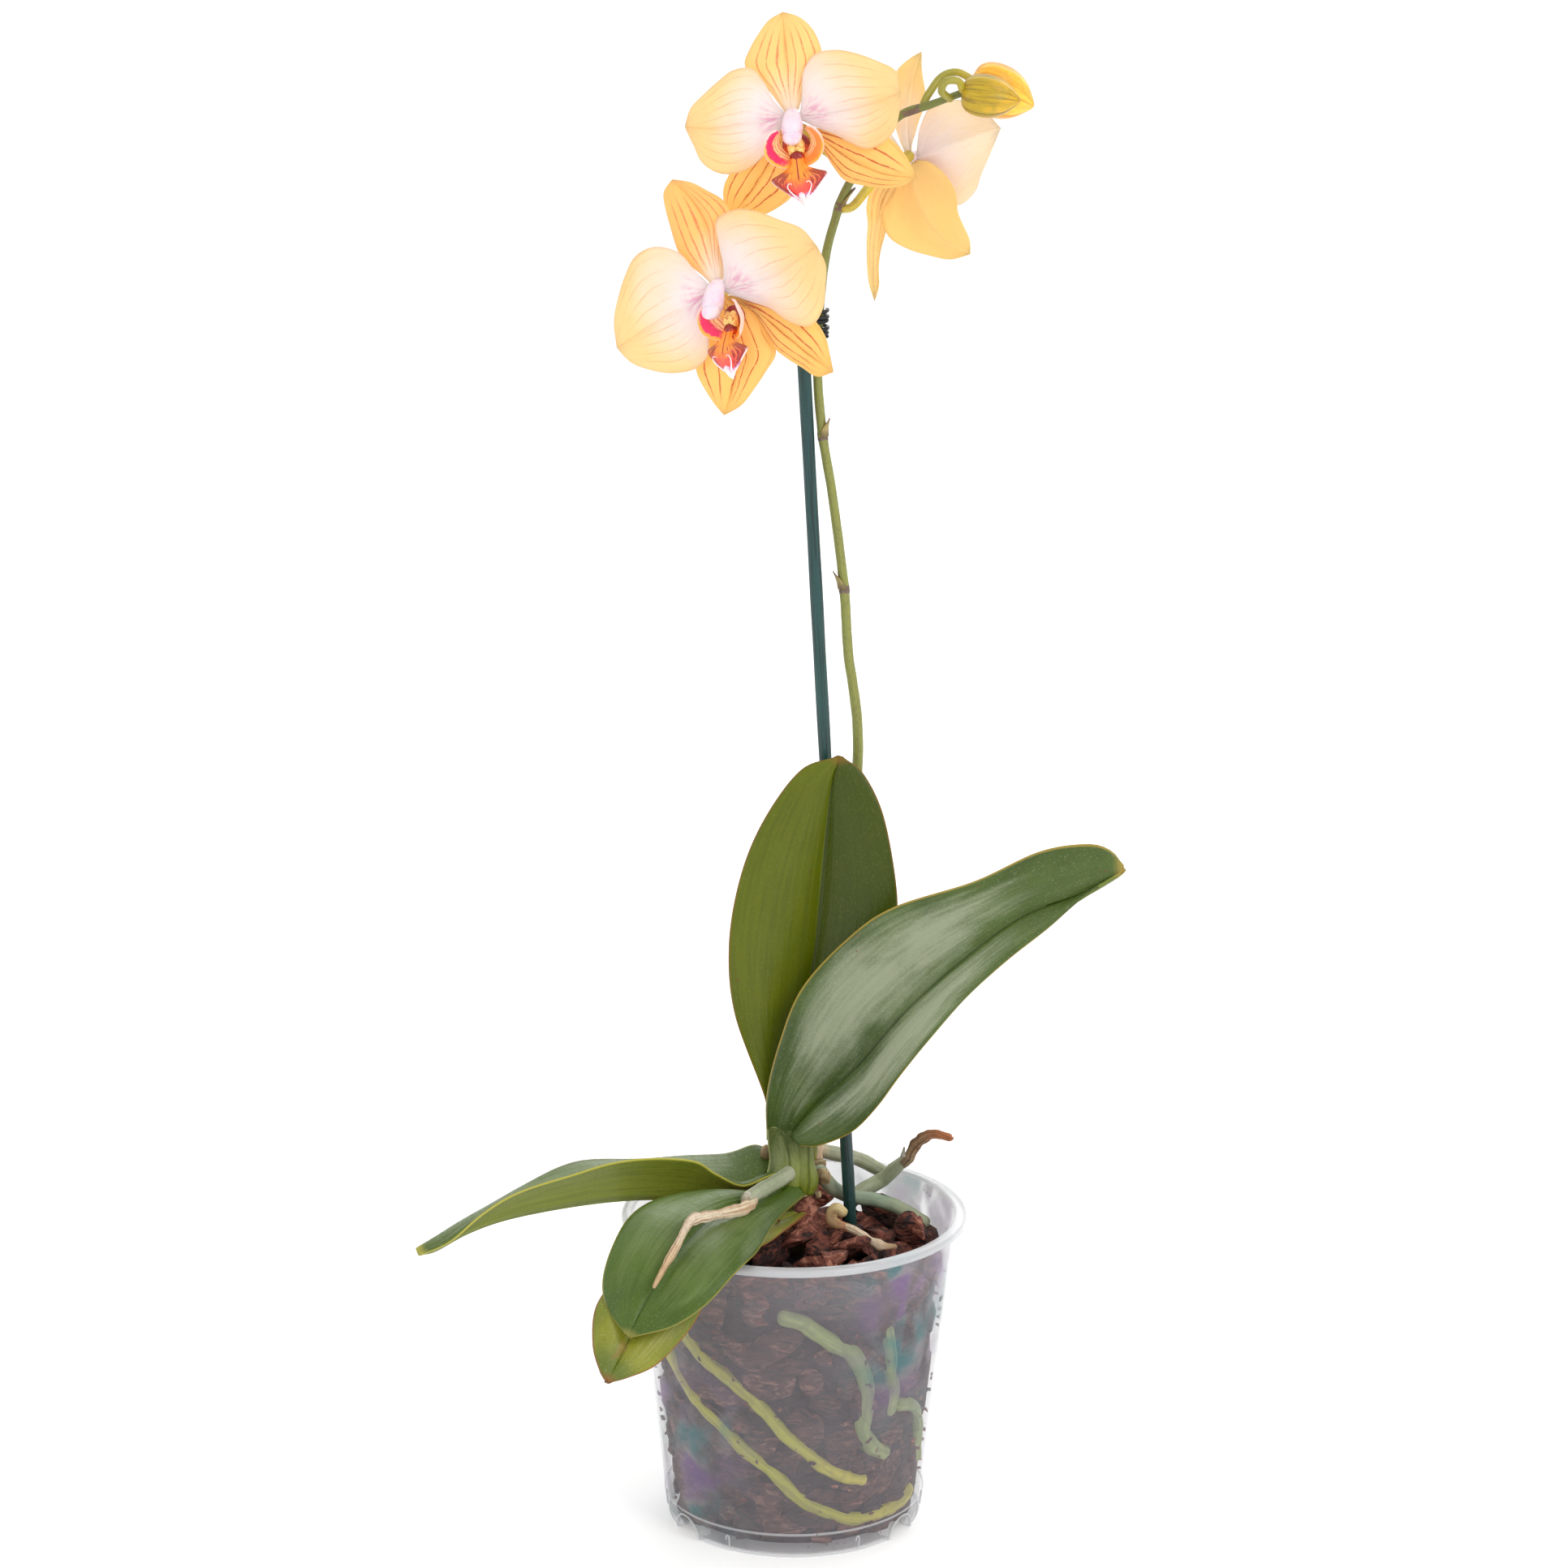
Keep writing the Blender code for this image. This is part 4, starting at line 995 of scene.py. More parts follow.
@dataclass(frozen=True)
class EarFinish:
    """The lip's upright side lobes: orange rim, magenta inside it, then dark stripes into the throat."""

    name: str
    rim: Colour = linear(252, 164, 60)
    flush: Colour = linear(226, 34, 92)
    throat: Colour = linear(255, 196, 140)
    stripe: Colour = linear(150, 26, 14)
    outside: Colour = linear(248, 196, 190)

    def material(self) -> bpy.types.Material:
        """Builds the material.

        Returns:
            The material.
        """
        paint = Paint(self.name)
        across, along, side = paint.trait("place")
        half, _, _ = paint.trait("size")
        where = paint.space()
        soft = (paint.noise(where, 700.0, 3.0) - 0.5) * 0.5
        at = across + soft
        colour = paint.mix(paint.rise(at, -0.05, 0.35), self.flush, self.throat)
        wobble = paint.noise(where, 300.0) * 0.8
        line = paint.lines(across, half, 3, 0.00022, wobble)
        line = line * paint.rise(across, -0.15, 0.15)
        colour = paint.mix(line, colour, self.stripe)
        low = paint.rise(along + soft, 0.3, 0.06)
        colour = paint.mix(low * 0.8, colour, self.rim)
        edge = paint.mix(paint.rise(along, 0.55, 0.85), self.rim, self.outside)
        colour = paint.mix(paint.rise(at, -0.62, -0.85), colour, edge)
        colour = paint.mix(side, self.outside, colour)
        relief = paint.bump(paint.noise(where, 1500.0, 2.0), 0.0001)
        # Painted light: a glow in the lobe's own colour stands for light scattered through it, though it is
        # no lamp.
        return paint.finish(
            Base_Color=colour, Roughness=0.36, Normal=relief, Emission_Color=colour,
            Emission_Strength=0.22, Coat_Weight=0.2, Coat_Roughness=0.3,
        )


@dataclass(frozen=True)
class BladeFinish:
    """The lip's arrow-shaped middle lobe: orange, dark keel line and corners, magenta band, white tip."""

    name: str
    orange: Colour = linear(248, 140, 34)
    flush: Colour = linear(232, 74, 60)
    dark: Colour = linear(132, 22, 16)
    tip: Colour = linear(250, 222, 220)
    lilac: Colour = linear(206, 120, 170)

    def material(self) -> bpy.types.Material:
        """Builds the material.

        Returns:
            The material.
        """
        paint = Paint(self.name)
        across, along, _ = paint.trait("place")
        half, _, _ = paint.trait("size")
        where = paint.space()
        soft = (paint.noise(where, 420.0, 4.0, 1.0) - 0.5) * 0.6
        wide = abs(across)
        run = along + soft * 0.5
        colour = paint.mix(paint.rise(run, 0.45, 0.72), self.orange, self.flush)
        ray = paint.noise(paint.spot(across * 14.0, along * 7.0, 0.0), 1.0, 4.0, 0.6)
        far = wide + (ray - 0.5) * 2.2
        corner = paint.rise(far, 0.4, 0.62) * paint.rise(along, 0.36, 0.5)
        colour = paint.mix(corner * 0.85, colour, self.dark)
        keel = paint.rise(wide * half, 0.00042, 0.0001)
        colour = paint.mix(keel * paint.rise(along, 0.62, 0.5), colour, self.dark)
        hem = paint.rise(wide, 0.88, 0.96) * paint.rise(along, 0.6, 0.7)
        colour = paint.mix(hem, colour, self.tip)
        colour = paint.mix(paint.rise(run, 0.80, 0.86), colour, self.lilac)
        colour = paint.mix(paint.rise(run, 0.86, 0.92), colour, self.tip)
        relief = paint.bump(paint.noise(where, 1200.0, 3.0), 0.00015)
        # Painted light: a glow in the lobe's own colour brightens it, though it is no lamp.
        return paint.finish(
            Base_Color=colour, Roughness=0.34, Normal=relief, Emission_Color=colour,
            Emission_Strength=0.15, Coat_Weight=0.25, Coat_Roughness=0.25,
        )


@dataclass(frozen=True)
class SpeckledFinish:
    """A smooth fleshy part with specks and a second colour that comes in with height."""

    name: str
    base: Colour
    second: Colour
    speck: Colour
    specks: float
    speck_scale: float = 900.0
    rough: float = 0.38
    streaks: float = 0.0

    def material(self) -> bpy.types.Material:
        """Builds the material.

        Returns:
            The material.
        """
        paint = Paint(self.name)
        around, along, _ = paint.trait("place")
        where = paint.space()
        cloud = paint.noise(where, 300.0, 3.0)
        colour = paint.mix(paint.rise(along + cloud, 0.7, 1.1), self.base, self.second)
        dots = paint.rise(paint.noise(where, self.speck_scale, 2.0), 0.52, 0.6)
        colour = paint.mix(dots * self.specks, colour, self.speck)
        relief = paint.bump(cloud, 0.0003)
        if self.streaks:
            streak = paint.noise(paint.round(around, self.streaks, along), 1.0, 4.0, 0.2)
            colour = paint.mix(paint.rise(streak, 0.48, 0.66) * 0.75, colour, self.speck)
            relief = paint.bump(streak, 0.0008, under=relief)
        return paint.finish(
            Base_Color=colour, Roughness=self.rough, Normal=relief, Subsurface_Weight=0.2,
            Subsurface_Scale=0.0015, Coat_Weight=0.15, Coat_Roughness=0.3,
        )


# ---------------------------------------------------------------- pot, bark, stake and tie


@dataclass
class Pot:
    """The clear nursery pot: a tapered wall, a turned-down rim, a raised floor, feet and small hooks."""

    height: float = 0.111
    foot_radius: float = 0.0442
    slope: float = 0.1113
    wall: float = 0.0008
    rim_radius: float = 0.060
    rim_depth: float = 0.0024
    ring_height: float = 0.009
    notch_angles: tuple[float, ...] = (-57.0, 57.0, 180.0)
    notch_half_width: float = 0.0070
    notch_height: float = 0.0068
    hook_angles: tuple[float, ...] = (-150.0, -90.0, -30.0, 30.0, 90.0, 150.0)
    hook_shape: tuple[tuple[float, float], ...] = (
        (0.0, 0.0), (0.0, 0.45), (0.0, 0.85), (-0.5, 1.0), (-1.0, 0.92), (-1.15, 0.7)
    )
    hook_wire: float = 0.00038
    notch_bead: float = 0.00045
    hook_low: float = 0.0012
    hook_high: float = 0.0060
    steps: int = 144

    def outside(self, height: float) -> float:
        """The wall's outer radius at a height."""
        return self.foot_radius + self.slope * height

    def around(self, angle: float, radius: float, height: float) -> np.ndarray:
        """A point at degrees from the front, positive to the right."""
        turn = math.radians(angle)
        return np.array((radius * math.sin(turn), -radius * math.cos(turn), height))

    def profile(self) -> list[tuple[float, float]]:
        """The closed loop of (radius, height) that the pot is turned from.

        Returns:
            The loop, from the axis inside, up, over the rim, down and back under the foot.
        """
        top, wall = self.height, self.wall
        inner = self.outside(top) - wall
        edge = self.rim_radius
        heights = np.linspace(0.0016, top - 0.0012, 14)
        inside = [(self.outside(h) - wall, float(h)) for h in heights]
        outer = [(self.outside(h), float(h)) for h in heights[::-1] if h > self.ring_height + 0.001]
        bead = [
            (self.outside(self.ring_height) + 0.0004, self.ring_height + 0.0005),
            (self.outside(self.ring_height) + 0.0005, self.ring_height),
            (self.outside(self.ring_height), self.ring_height - 0.0006),
        ]
        rolled = [
            (inner + 0.0003, top - 0.0002), (inner + 0.0008, top), (edge - 0.0012, top),
            (edge - 0.0003, top - 0.0004), (edge, top - 0.0011), (edge, top - self.rim_depth),
            (edge - 0.0004, top - self.rim_depth - 0.0003), (edge - wall, top - self.rim_depth),
            (edge - wall, top - 0.0012), (self.outside(top) + 0.0006, top - 0.0009),
        ]
        floor = [(0.0, 0.0012), (0.0145, 0.0012), (0.0163, 0.0030), (0.0385, 0.0030), (0.0406, 0.0012)]
        foot = [
            (self.foot_radius + 0.0001, 0.0012), (self.foot_radius - 0.0003, 0.0003),
            (self.foot_radius - 0.0009, 0.0), (self.foot_radius - 0.0032, 0.0), (0.0388, 0.0018),
            (0.0171, 0.0018), (0.0153, 0.0), (0.0, 0.0),
        ]
        return floor + inside + rolled + outer + bead + foot

    def cutter(self, angle: float) -> bpy.types.Object:
        """A rounded bar across the foot of the wall at an angle, for one notch.

        Args:
            angle: Where it stands, in degrees from the front.

        Returns:
            The bar, not yet in the scene.
        """
        work = bmesh.new()
        bmesh.ops.create_cone(work, cap_ends=True, segments=32, radius1=1.0, radius2=1.0, depth=0.012)
        squeeze = Matrix.Diagonal((self.notch_half_width, self.notch_height, 1.0, 1.0))
        lie = spin("X", 90)
        place = Matrix.Translation(Vector(self.around(angle, self.foot_radius, 0.0)))
        turn = spin("Z", angle)
        bmesh.ops.transform(work, matrix=place @ turn @ lie @ squeeze, verts=work.verts)
        mesh = bpy.data.meshes.new("notch")
        work.to_mesh(mesh)
        work.free()
        return bpy.data.objects.new("notch", mesh)

    def hooks(self, finish: bpy.types.Material) -> list[Skin]:
        """Small raised hooks moulded on the foot of the wall.

        Args:
            finish: Their material.

        Returns:
            One thin bar each.
        """
        made = []
        for angle in self.hook_angles:
            line = []
            for aside, rise in self.hook_shape:
                height = self.hook_low + (self.hook_high - self.hook_low) * rise
                line.append(self.around(angle + aside * 1.3, self.outside(height) + 0.0001, height))
            path = smooth_path(line, 20)
            made.append(round_bar(path, np.full(20, self.hook_wire), finish, 8))
        for angle in self.notch_angles:
            line = []
            for swing in np.linspace(-88, 88, 25):
                aside = (
                    math.degrees(self.notch_half_width / self.foot_radius) * math.sin(math.radians(swing))
                )
                height = 0.0004 + self.notch_height * math.cos(math.radians(swing))
                line.append(self.around(angle + aside, self.outside(height) + 0.0001, height))
            made.append(round_bar(np.array(line), np.full(25, self.notch_bead), finish, 8))
        return made

    def build(self) -> None:
        """Makes the pot and settles it."""
        wall = ClearFinish("clear_wall", 0.14).material()
        rim = ClearFinish("clear_rim", 0.46, milk=linear(208, 209, 211), sheen_bands=0.1).material()
        body = welded(make_piece("pot_body", [turned(self.profile(), self.steps, wall)]))
        cutters = [self.cutter(angle) for angle in self.notch_angles]
        for cutter in cutters:
            bpy.context.scene.collection.objects.link(cutter)
            cut = body.modifiers.new("notch", "BOOLEAN")
            cut.object, cut.operation, cut.solver = cutter, "DIFFERENCE", "EXACT"
        graph = bpy.context.evaluated_depsgraph_get()
        mesh = bpy.data.meshes.new_from_object(body.evaluated_get(graph))
        body.modifiers.clear()
        body.data = mesh
        for cutter in cutters:
            bpy.data.objects.remove(cutter, do_unlink=True)
        mesh.materials.append(rim)
        for face in mesh.polygons:
            out = math.hypot(face.center.x, face.center.y)
            high = face.center.z > self.height - 0.0032
            low = face.center.z < 0.0011 and out > 0.040
            ring = abs(face.center.z - self.ring_height) < 0.0008 and out > self.outside(self.ring_height)
            face.material_index = 1 if high or low or ring else 0
        trim = make_piece("pot_trim", self.hooks(rim))
        settle(body, Slot.CLEAR, "pot")
        settle(trim, Slot.CLEAR, "pot")


@dataclass
class Bark:
    """The chips that fill the pot: a packed layer behind the wall, a loose top, and larger loose chips."""

    pot: Pot
    top: float
    loose: Sequence[str]
    seed: int = 5
    wall_rows: int = 11
    row_count: int = 23
    top_count: int = 78
    crumbs: int = 300
    root_gap: float = 0.0017
    mound: float = 0.009
    mound_reach: float = 0.015
    floor: float = 0.0034
    chip: tuple[float, float, float] = (0.0088, 0.0066, 0.0036)

    def fitted(self, skin: Skin, gap: float) -> Skin:
        """The skin with every point drawn back to a gap inside the wall and above the floor.

        Args:
            skin: The skin to draw back.
            gap: How far inside the wall it stays.

        Returns:
            The same skin.
        """
        points = skin.points
        points[:, 2] = np.maximum(points[:, 2], self.floor)
        room = self.pot.outside(points[:, 2]) - self.pot.wall - gap
        out = np.hypot(points[:, 0], points[:, 1])
        points[:, :2] *= np.minimum(1.0, room / np.maximum(out, 1e-6))[:, None]
        return skin

    def chip_at(self, dice: random.Random, size: float, finish: bpy.types.Material) -> Skin:
        """One broken chip of about that size, lying along X."""
        grow = [side * size * dice.uniform(0.75, 1.3) for side in self.chip]
        return lump(grow, finish, 7, dice)

    def behind_wall(self, dice: random.Random, finish: bpy.types.Material) -> list[Skin]:
        """Chips pressed flat behind the wall, in staggered rows.

        Args:
            dice: Where the chances come from.
            finish: Its material.

        Returns:
            One skin to a chip.
        """
        made = []
        for row in range(self.wall_rows):
            height = 0.008 + (self.top - 0.014) * row / (self.wall_rows - 1)
            for number in range(self.row_count):
                angle = 360 * (number + 0.5 * (row % 2) + dice.uniform(-0.25, 0.25)) / self.row_count
                high = height + dice.uniform(-0.003, 0.003)
                depth = self.pot.outside(high) - self.pot.wall - 0.0038 - dice.uniform(0.0, 0.0022)
                skin = self.chip_at(dice, dice.choice((0.75, 0.95, 1.35)), finish)
                tilt = Matrix.Rotation(dice.uniform(0, math.pi), 4, "Z")
                stand = spin("X", 90 + dice.uniform(-12, 12))
                turn = spin("Z", angle)
                place = Matrix.Translation(Vector(self.pot.around(angle, depth, high)))
                made.append(self.fitted(skin.moved(place @ turn @ stand @ tilt), self.root_gap))
        return made

    def on_top(self, dice: random.Random, finish: bpy.types.Material) -> list[Skin]:
        """Loose chips that make the uneven top.

        Args:
            dice: Where the chances come from.
            finish: Its material.

        Returns:
            One skin to a chip.
        """
        made = []
        reach = self.pot.outside(self.top) - 0.0095
        for number in range(self.top_count):
            radius = reach * math.sqrt((number + 0.5) / self.top_count)
            angle = number * GOLDEN_ANGLE + dice.uniform(-10, 10)
            high = self.top - 0.0035 + dice.uniform(-0.002, 0.0030)
            spot = self.pot.around(angle, radius, high)
            high += (
                self.mound
                * math.exp(-((spot[0] - 0.002) ** 2 + (spot[1] - 0.008) ** 2) / self.mound_reach ** 2)
            )
            size = dice.uniform(0.9, 1.6)
            skin = lump(
                [self.chip[0] * size * 1.15, self.chip[1] * size * 0.8, self.chip[2] * size * 0.62],
                finish, 10, dice,
            )
            tilt = spin("X", dice.gauss(0, 30))
            lean = spin("Y", dice.gauss(0, 30))
            turn = Matrix.Rotation(dice.uniform(0, 6.3), 4, "Z")
            place = Matrix.Translation(Vector(self.pot.around(angle, radius, high)))
            made.append(self.fitted(skin.moved(place @ turn @ lean @ tilt), 0.0005))
        return made

    def grit(self, dice: random.Random, finish: bpy.types.Material) -> list[Skin]:
        """Crumbs of bark caught between the chips and the wall.

        Args:
            dice: Where the chances come from.
            finish: Its material.

        Returns:
            One skin to a crumb.
        """
        made = []
        for _ in range(self.crumbs):
            high = dice.uniform(0.006, self.top - 0.004)
            size = dice.uniform(0.0003, 0.0010)
            skin = lump((size * 1.6, size, size * 0.6), finish, 2, dice)
            radius = self.pot.outside(high) - self.pot.wall - 0.0007
            place = Matrix.Translation(Vector(self.pot.around(dice.uniform(0, 360), radius, high)))
            turn = Matrix.Rotation(dice.uniform(0, 6.3), 4, (dice.gauss(0, 1), dice.gauss(0, 1), 1.0))
            made.append(self.fitted(skin.moved(place @ turn), 0.0004))
        return made

    def core(self, finish: bpy.types.Material) -> Skin:
        """The mass of chips that is never seen closely, dressed in a dark copy of the bark finish as painted
        shade.

        Args:
            finish: Its material.

        Returns:
            The core.
        """
        low, high = 0.0036, self.top - 0.006
        inner = 0.0048
        side = [(self.pot.outside(h) - inner, float(h)) for h in np.linspace(low, high, 24)]
        loop = [(0.0, low), *side, (0.0, high)]
        return turned(loop, 48, finish)

    def build(self) -> None:
        """Makes the bed and the loose chips and settles them."""
        dice = random.Random(self.seed)
        finish = BarkFinish("bark").material()
        # Painted shade: a darker copy of the bark finish for the chips packed behind the wall.
        shaded_bark = BarkFinish(
            "bark_wall_shade", linear(150, 108, 94), linear(88, 56, 47), linear(32, 23, 21)
        ).material()
        # Painted shade: a still darker copy of the bark finish for the core inside the pot.
        deep = BarkFinish(
            "bark_core_shade", linear(62, 38, 32), linear(44, 26, 22), linear(20, 12, 11)
        ).material()
        skins = self.behind_wall(dice, shaded_bark) + self.on_top(dice, finish) + self.grit(dice, finish)
        settle(make_piece("bark_chips", [self.core(deep), *skins]), Slot.BARK, "bark_bed")
        for node in self.loose:
            low, high = [np.array(corner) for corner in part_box(node)]
            half = (high - low) / 2
            skins = []
            for share in (0.0, 1.0):
                size = half * (1.12 if not share else 0.7)
                skin = lump([size[0], size[1] * (0.7 + 0.3 * share), size[2]], finish, 8, dice, 0.10)
                shift = (
                    Vector(low + half)
                    + Vector((half[0] * 0.3 * share, -half[1] * 0.3 * share, -half[2] * 0.3))
                )
                lean = spin("Y", dice.uniform(-25, 25))
                skins.append(skin.moved(Matrix.Translation(shift) @ lean))
            settle(make_piece(node + "_piece", skins), Slot.BARK, node)


@dataclass
class Stake:
    """The dyed cane that holds the spike up, split lengthwise so that it has soft facets."""

    radius: float = 0.00228
    foot_height: float = 0.012
    at_bark: tuple[float, float] = (0.0200, 0.0180)
    top: Point = (0.0020, 0.0330, 0.3260)

    def line(self, lift: float) -> tuple[Vector, Vector]:
        """The stake's lower and upper ends when the bark is at height lift.

        Args:
            lift: The bark's height above the floor.

        Returns:
            The lower end and the upper end.
        """
        high = Vector((self.top[0], self.top[1], lift + self.top[2]))
        mid = Vector((*self.at_bark, lift))
        slope = (mid - high) / (high.z - mid.z)
        return mid + slope * (lift - self.foot_height), high

    def build(self, lift: float) -> None:
        """Makes the stake and settles it.

        Args:
            lift: The bark's height above the floor.
        """
        finish = BarFinish(
            "stake_dye", linear(22, 62, 58), linear(26, 72, 68), linear(24, 66, 66), linear(14, 34, 34),
            streak=0.85, streaks=11.0, mottle=0.15, rough=0.36, relief=0.00025,
        ).material()
        low, high = self.line(lift)
        stations, sides, cap_rings = 90, 14, 3
        path = np.linspace(np.array(low), np.array(high), stations)
        skin = round_bar(path, np.full(stations, self.radius), finish, sides, 0.05, 0.02)
        body = skin.points[cap_rings * sides : (cap_rings + stations) * sides]
        out = body - np.repeat(path, sides, axis=0)
        angle = np.arctan2(out[:, 1], out[:, 0])
        body -= out * (0.07 * np.abs(np.sin(angle * 2.5))[:, None])
        settle(make_piece("support_stake_cane", [skin]), Slot.STAKE, "support_stake")


@dataclass
class Tie:
    """Black wire wound round the stake and the spike together."""

    stake: Stake
    spike: "Spike"
    wire: float = 0.00068
    turns: int = 5
    pitch: float = 0.0019
    height: float = 0.3187
    points_per_turn: int = 36

    def build(self, lift: float) -> None:
        """Makes the wire and settles it.

        Args:
            lift: The bark's height above the floor.
        """
        low, high = self.stake.line(lift)
        share = (self.height + lift - low.z) / (high.z - low.z)
        stake = low.lerp(high, share)
        spike = Vector(self.spike.centre_at(self.height))
        between = Vector((spike.x - stake.x, spike.y - stake.y, 0.0))
        along = between.normalized()
        across = Vector((-along.y, along.x, 0.0))
        centre = Vector(((spike.x + stake.x) / 2, (spike.y + stake.y) / 2, self.height))
        room = self.stake.radius + self.wire
        path = []
        for step in range(self.turns * self.points_per_turn + 1):
            turn = 2 * math.pi * step / self.points_per_turn
            rise = self.pitch * (step / self.points_per_turn - self.turns / 2)
            rise += 0.0004 * math.sin(turn * 0.37 + 1.0)
            reach = between.length / 2 * max(-1.0, min(1.0, math.cos(turn) * 1.6))
            loose = room * (1.0 + 0.04 * math.sin(turn * 0.61))
            place = along * (reach + loose * math.cos(turn)) + across * loose * math.sin(turn)
            path.append(centre + place + Vector((0, 0, rise)))
        finish = BarFinish(
            "tie_wire", linear(34, 34, 34), linear(26, 28, 27), linear(40, 40, 40), linear(14, 14, 14),
            rough=0.42, relief=0.0001, metallic=0.35,
        ).material()
        line = np.array([point[:] for point in path])
        skin = round_bar(line, np.full(len(line), self.wire), finish, 8)
        settle(make_piece("stem_tie_wire", [skin], lift), Slot.WIRE, "stem_tie")


# ---------------------------------------------------------------- leaves


@dataclass
class Leaf:
    """One leaf drawn between three rails in millimetres: a margin, the midrib and the other margin."""

    name: str
    finish: LeafFinish
    left: Sequence[Point]
    middle: Sequence[Point]
    right: Sequence[Point]
    faces: Point = (0.0, 0.0, 1.0)
    bulge: float = 0.10
    wave: float = 0.0006
    thickness: float = 0.0019
    rim: float = 0.00055
    stations: int = 84
    columns: int = 27
    chance: float = 0.5

    def grid(self) -> np.ndarray:
        """The points halfway through the leaf, along it by across it.

        Returns:
            The points, by row and column.
        """
        rails = [smooth_path(rail, self.stations) * MM for rail in (self.left, self.middle, self.right)]
        left, middle, right = rails
        span = right - left
        ahead = np.gradient(middle, axis=0)
        up = unit(np.cross(span, ahead))
        if (up.mean(0) @ np.array(self.faces)) < 0:
            left, right, up = right, left, -up
        rows = []
        width = np.linalg.norm(span, axis=1) / 2
        run = np.linspace(0, 1, self.stations)
        for across in np.linspace(-1, 1, self.columns):
            wide = abs(across)
            margin = left if across < 0 else right
            crown = self.bulge * 4 * wide * (1 - wide) * width
            crease = -0.0006 * math.exp(-((across / 0.07) ** 2))
            ripple = (
                self.wave * wide ** 3 * np.sin(run * 17 + across * 2 + self.chance * 9)
                * np.sin(run * math.pi)
            )
            line = middle + (margin - middle) * wide + up * (crown + crease + ripple)[:, None]
            rows.append(line)
        return np.stack(rows, axis=1)

    def build(self, lift: float) -> None:
        """Makes the leaf and settles it.

        Args:
            lift: The bark's height above the floor.
        """
        grid = self.grid()
        across = np.linspace(-1, 1, self.columns)[None, :]
        run = np.linspace(0, 1, self.stations)[:, None]
        core = self.thickness * np.sqrt(np.maximum(1 - across**2, 0)) * (1 - 0.5 * run)
        keel = 0.0010 * np.exp(-((across / 0.10) ** 2)) * (1 - 0.7 * run)
        thick = self.rim + core + keel
        skin = sheet(grid, thick, self.finish.material(), self.chance)
        settle(make_piece(self.name + "_blade", [skin], lift), Slot.LEAF, self.name)


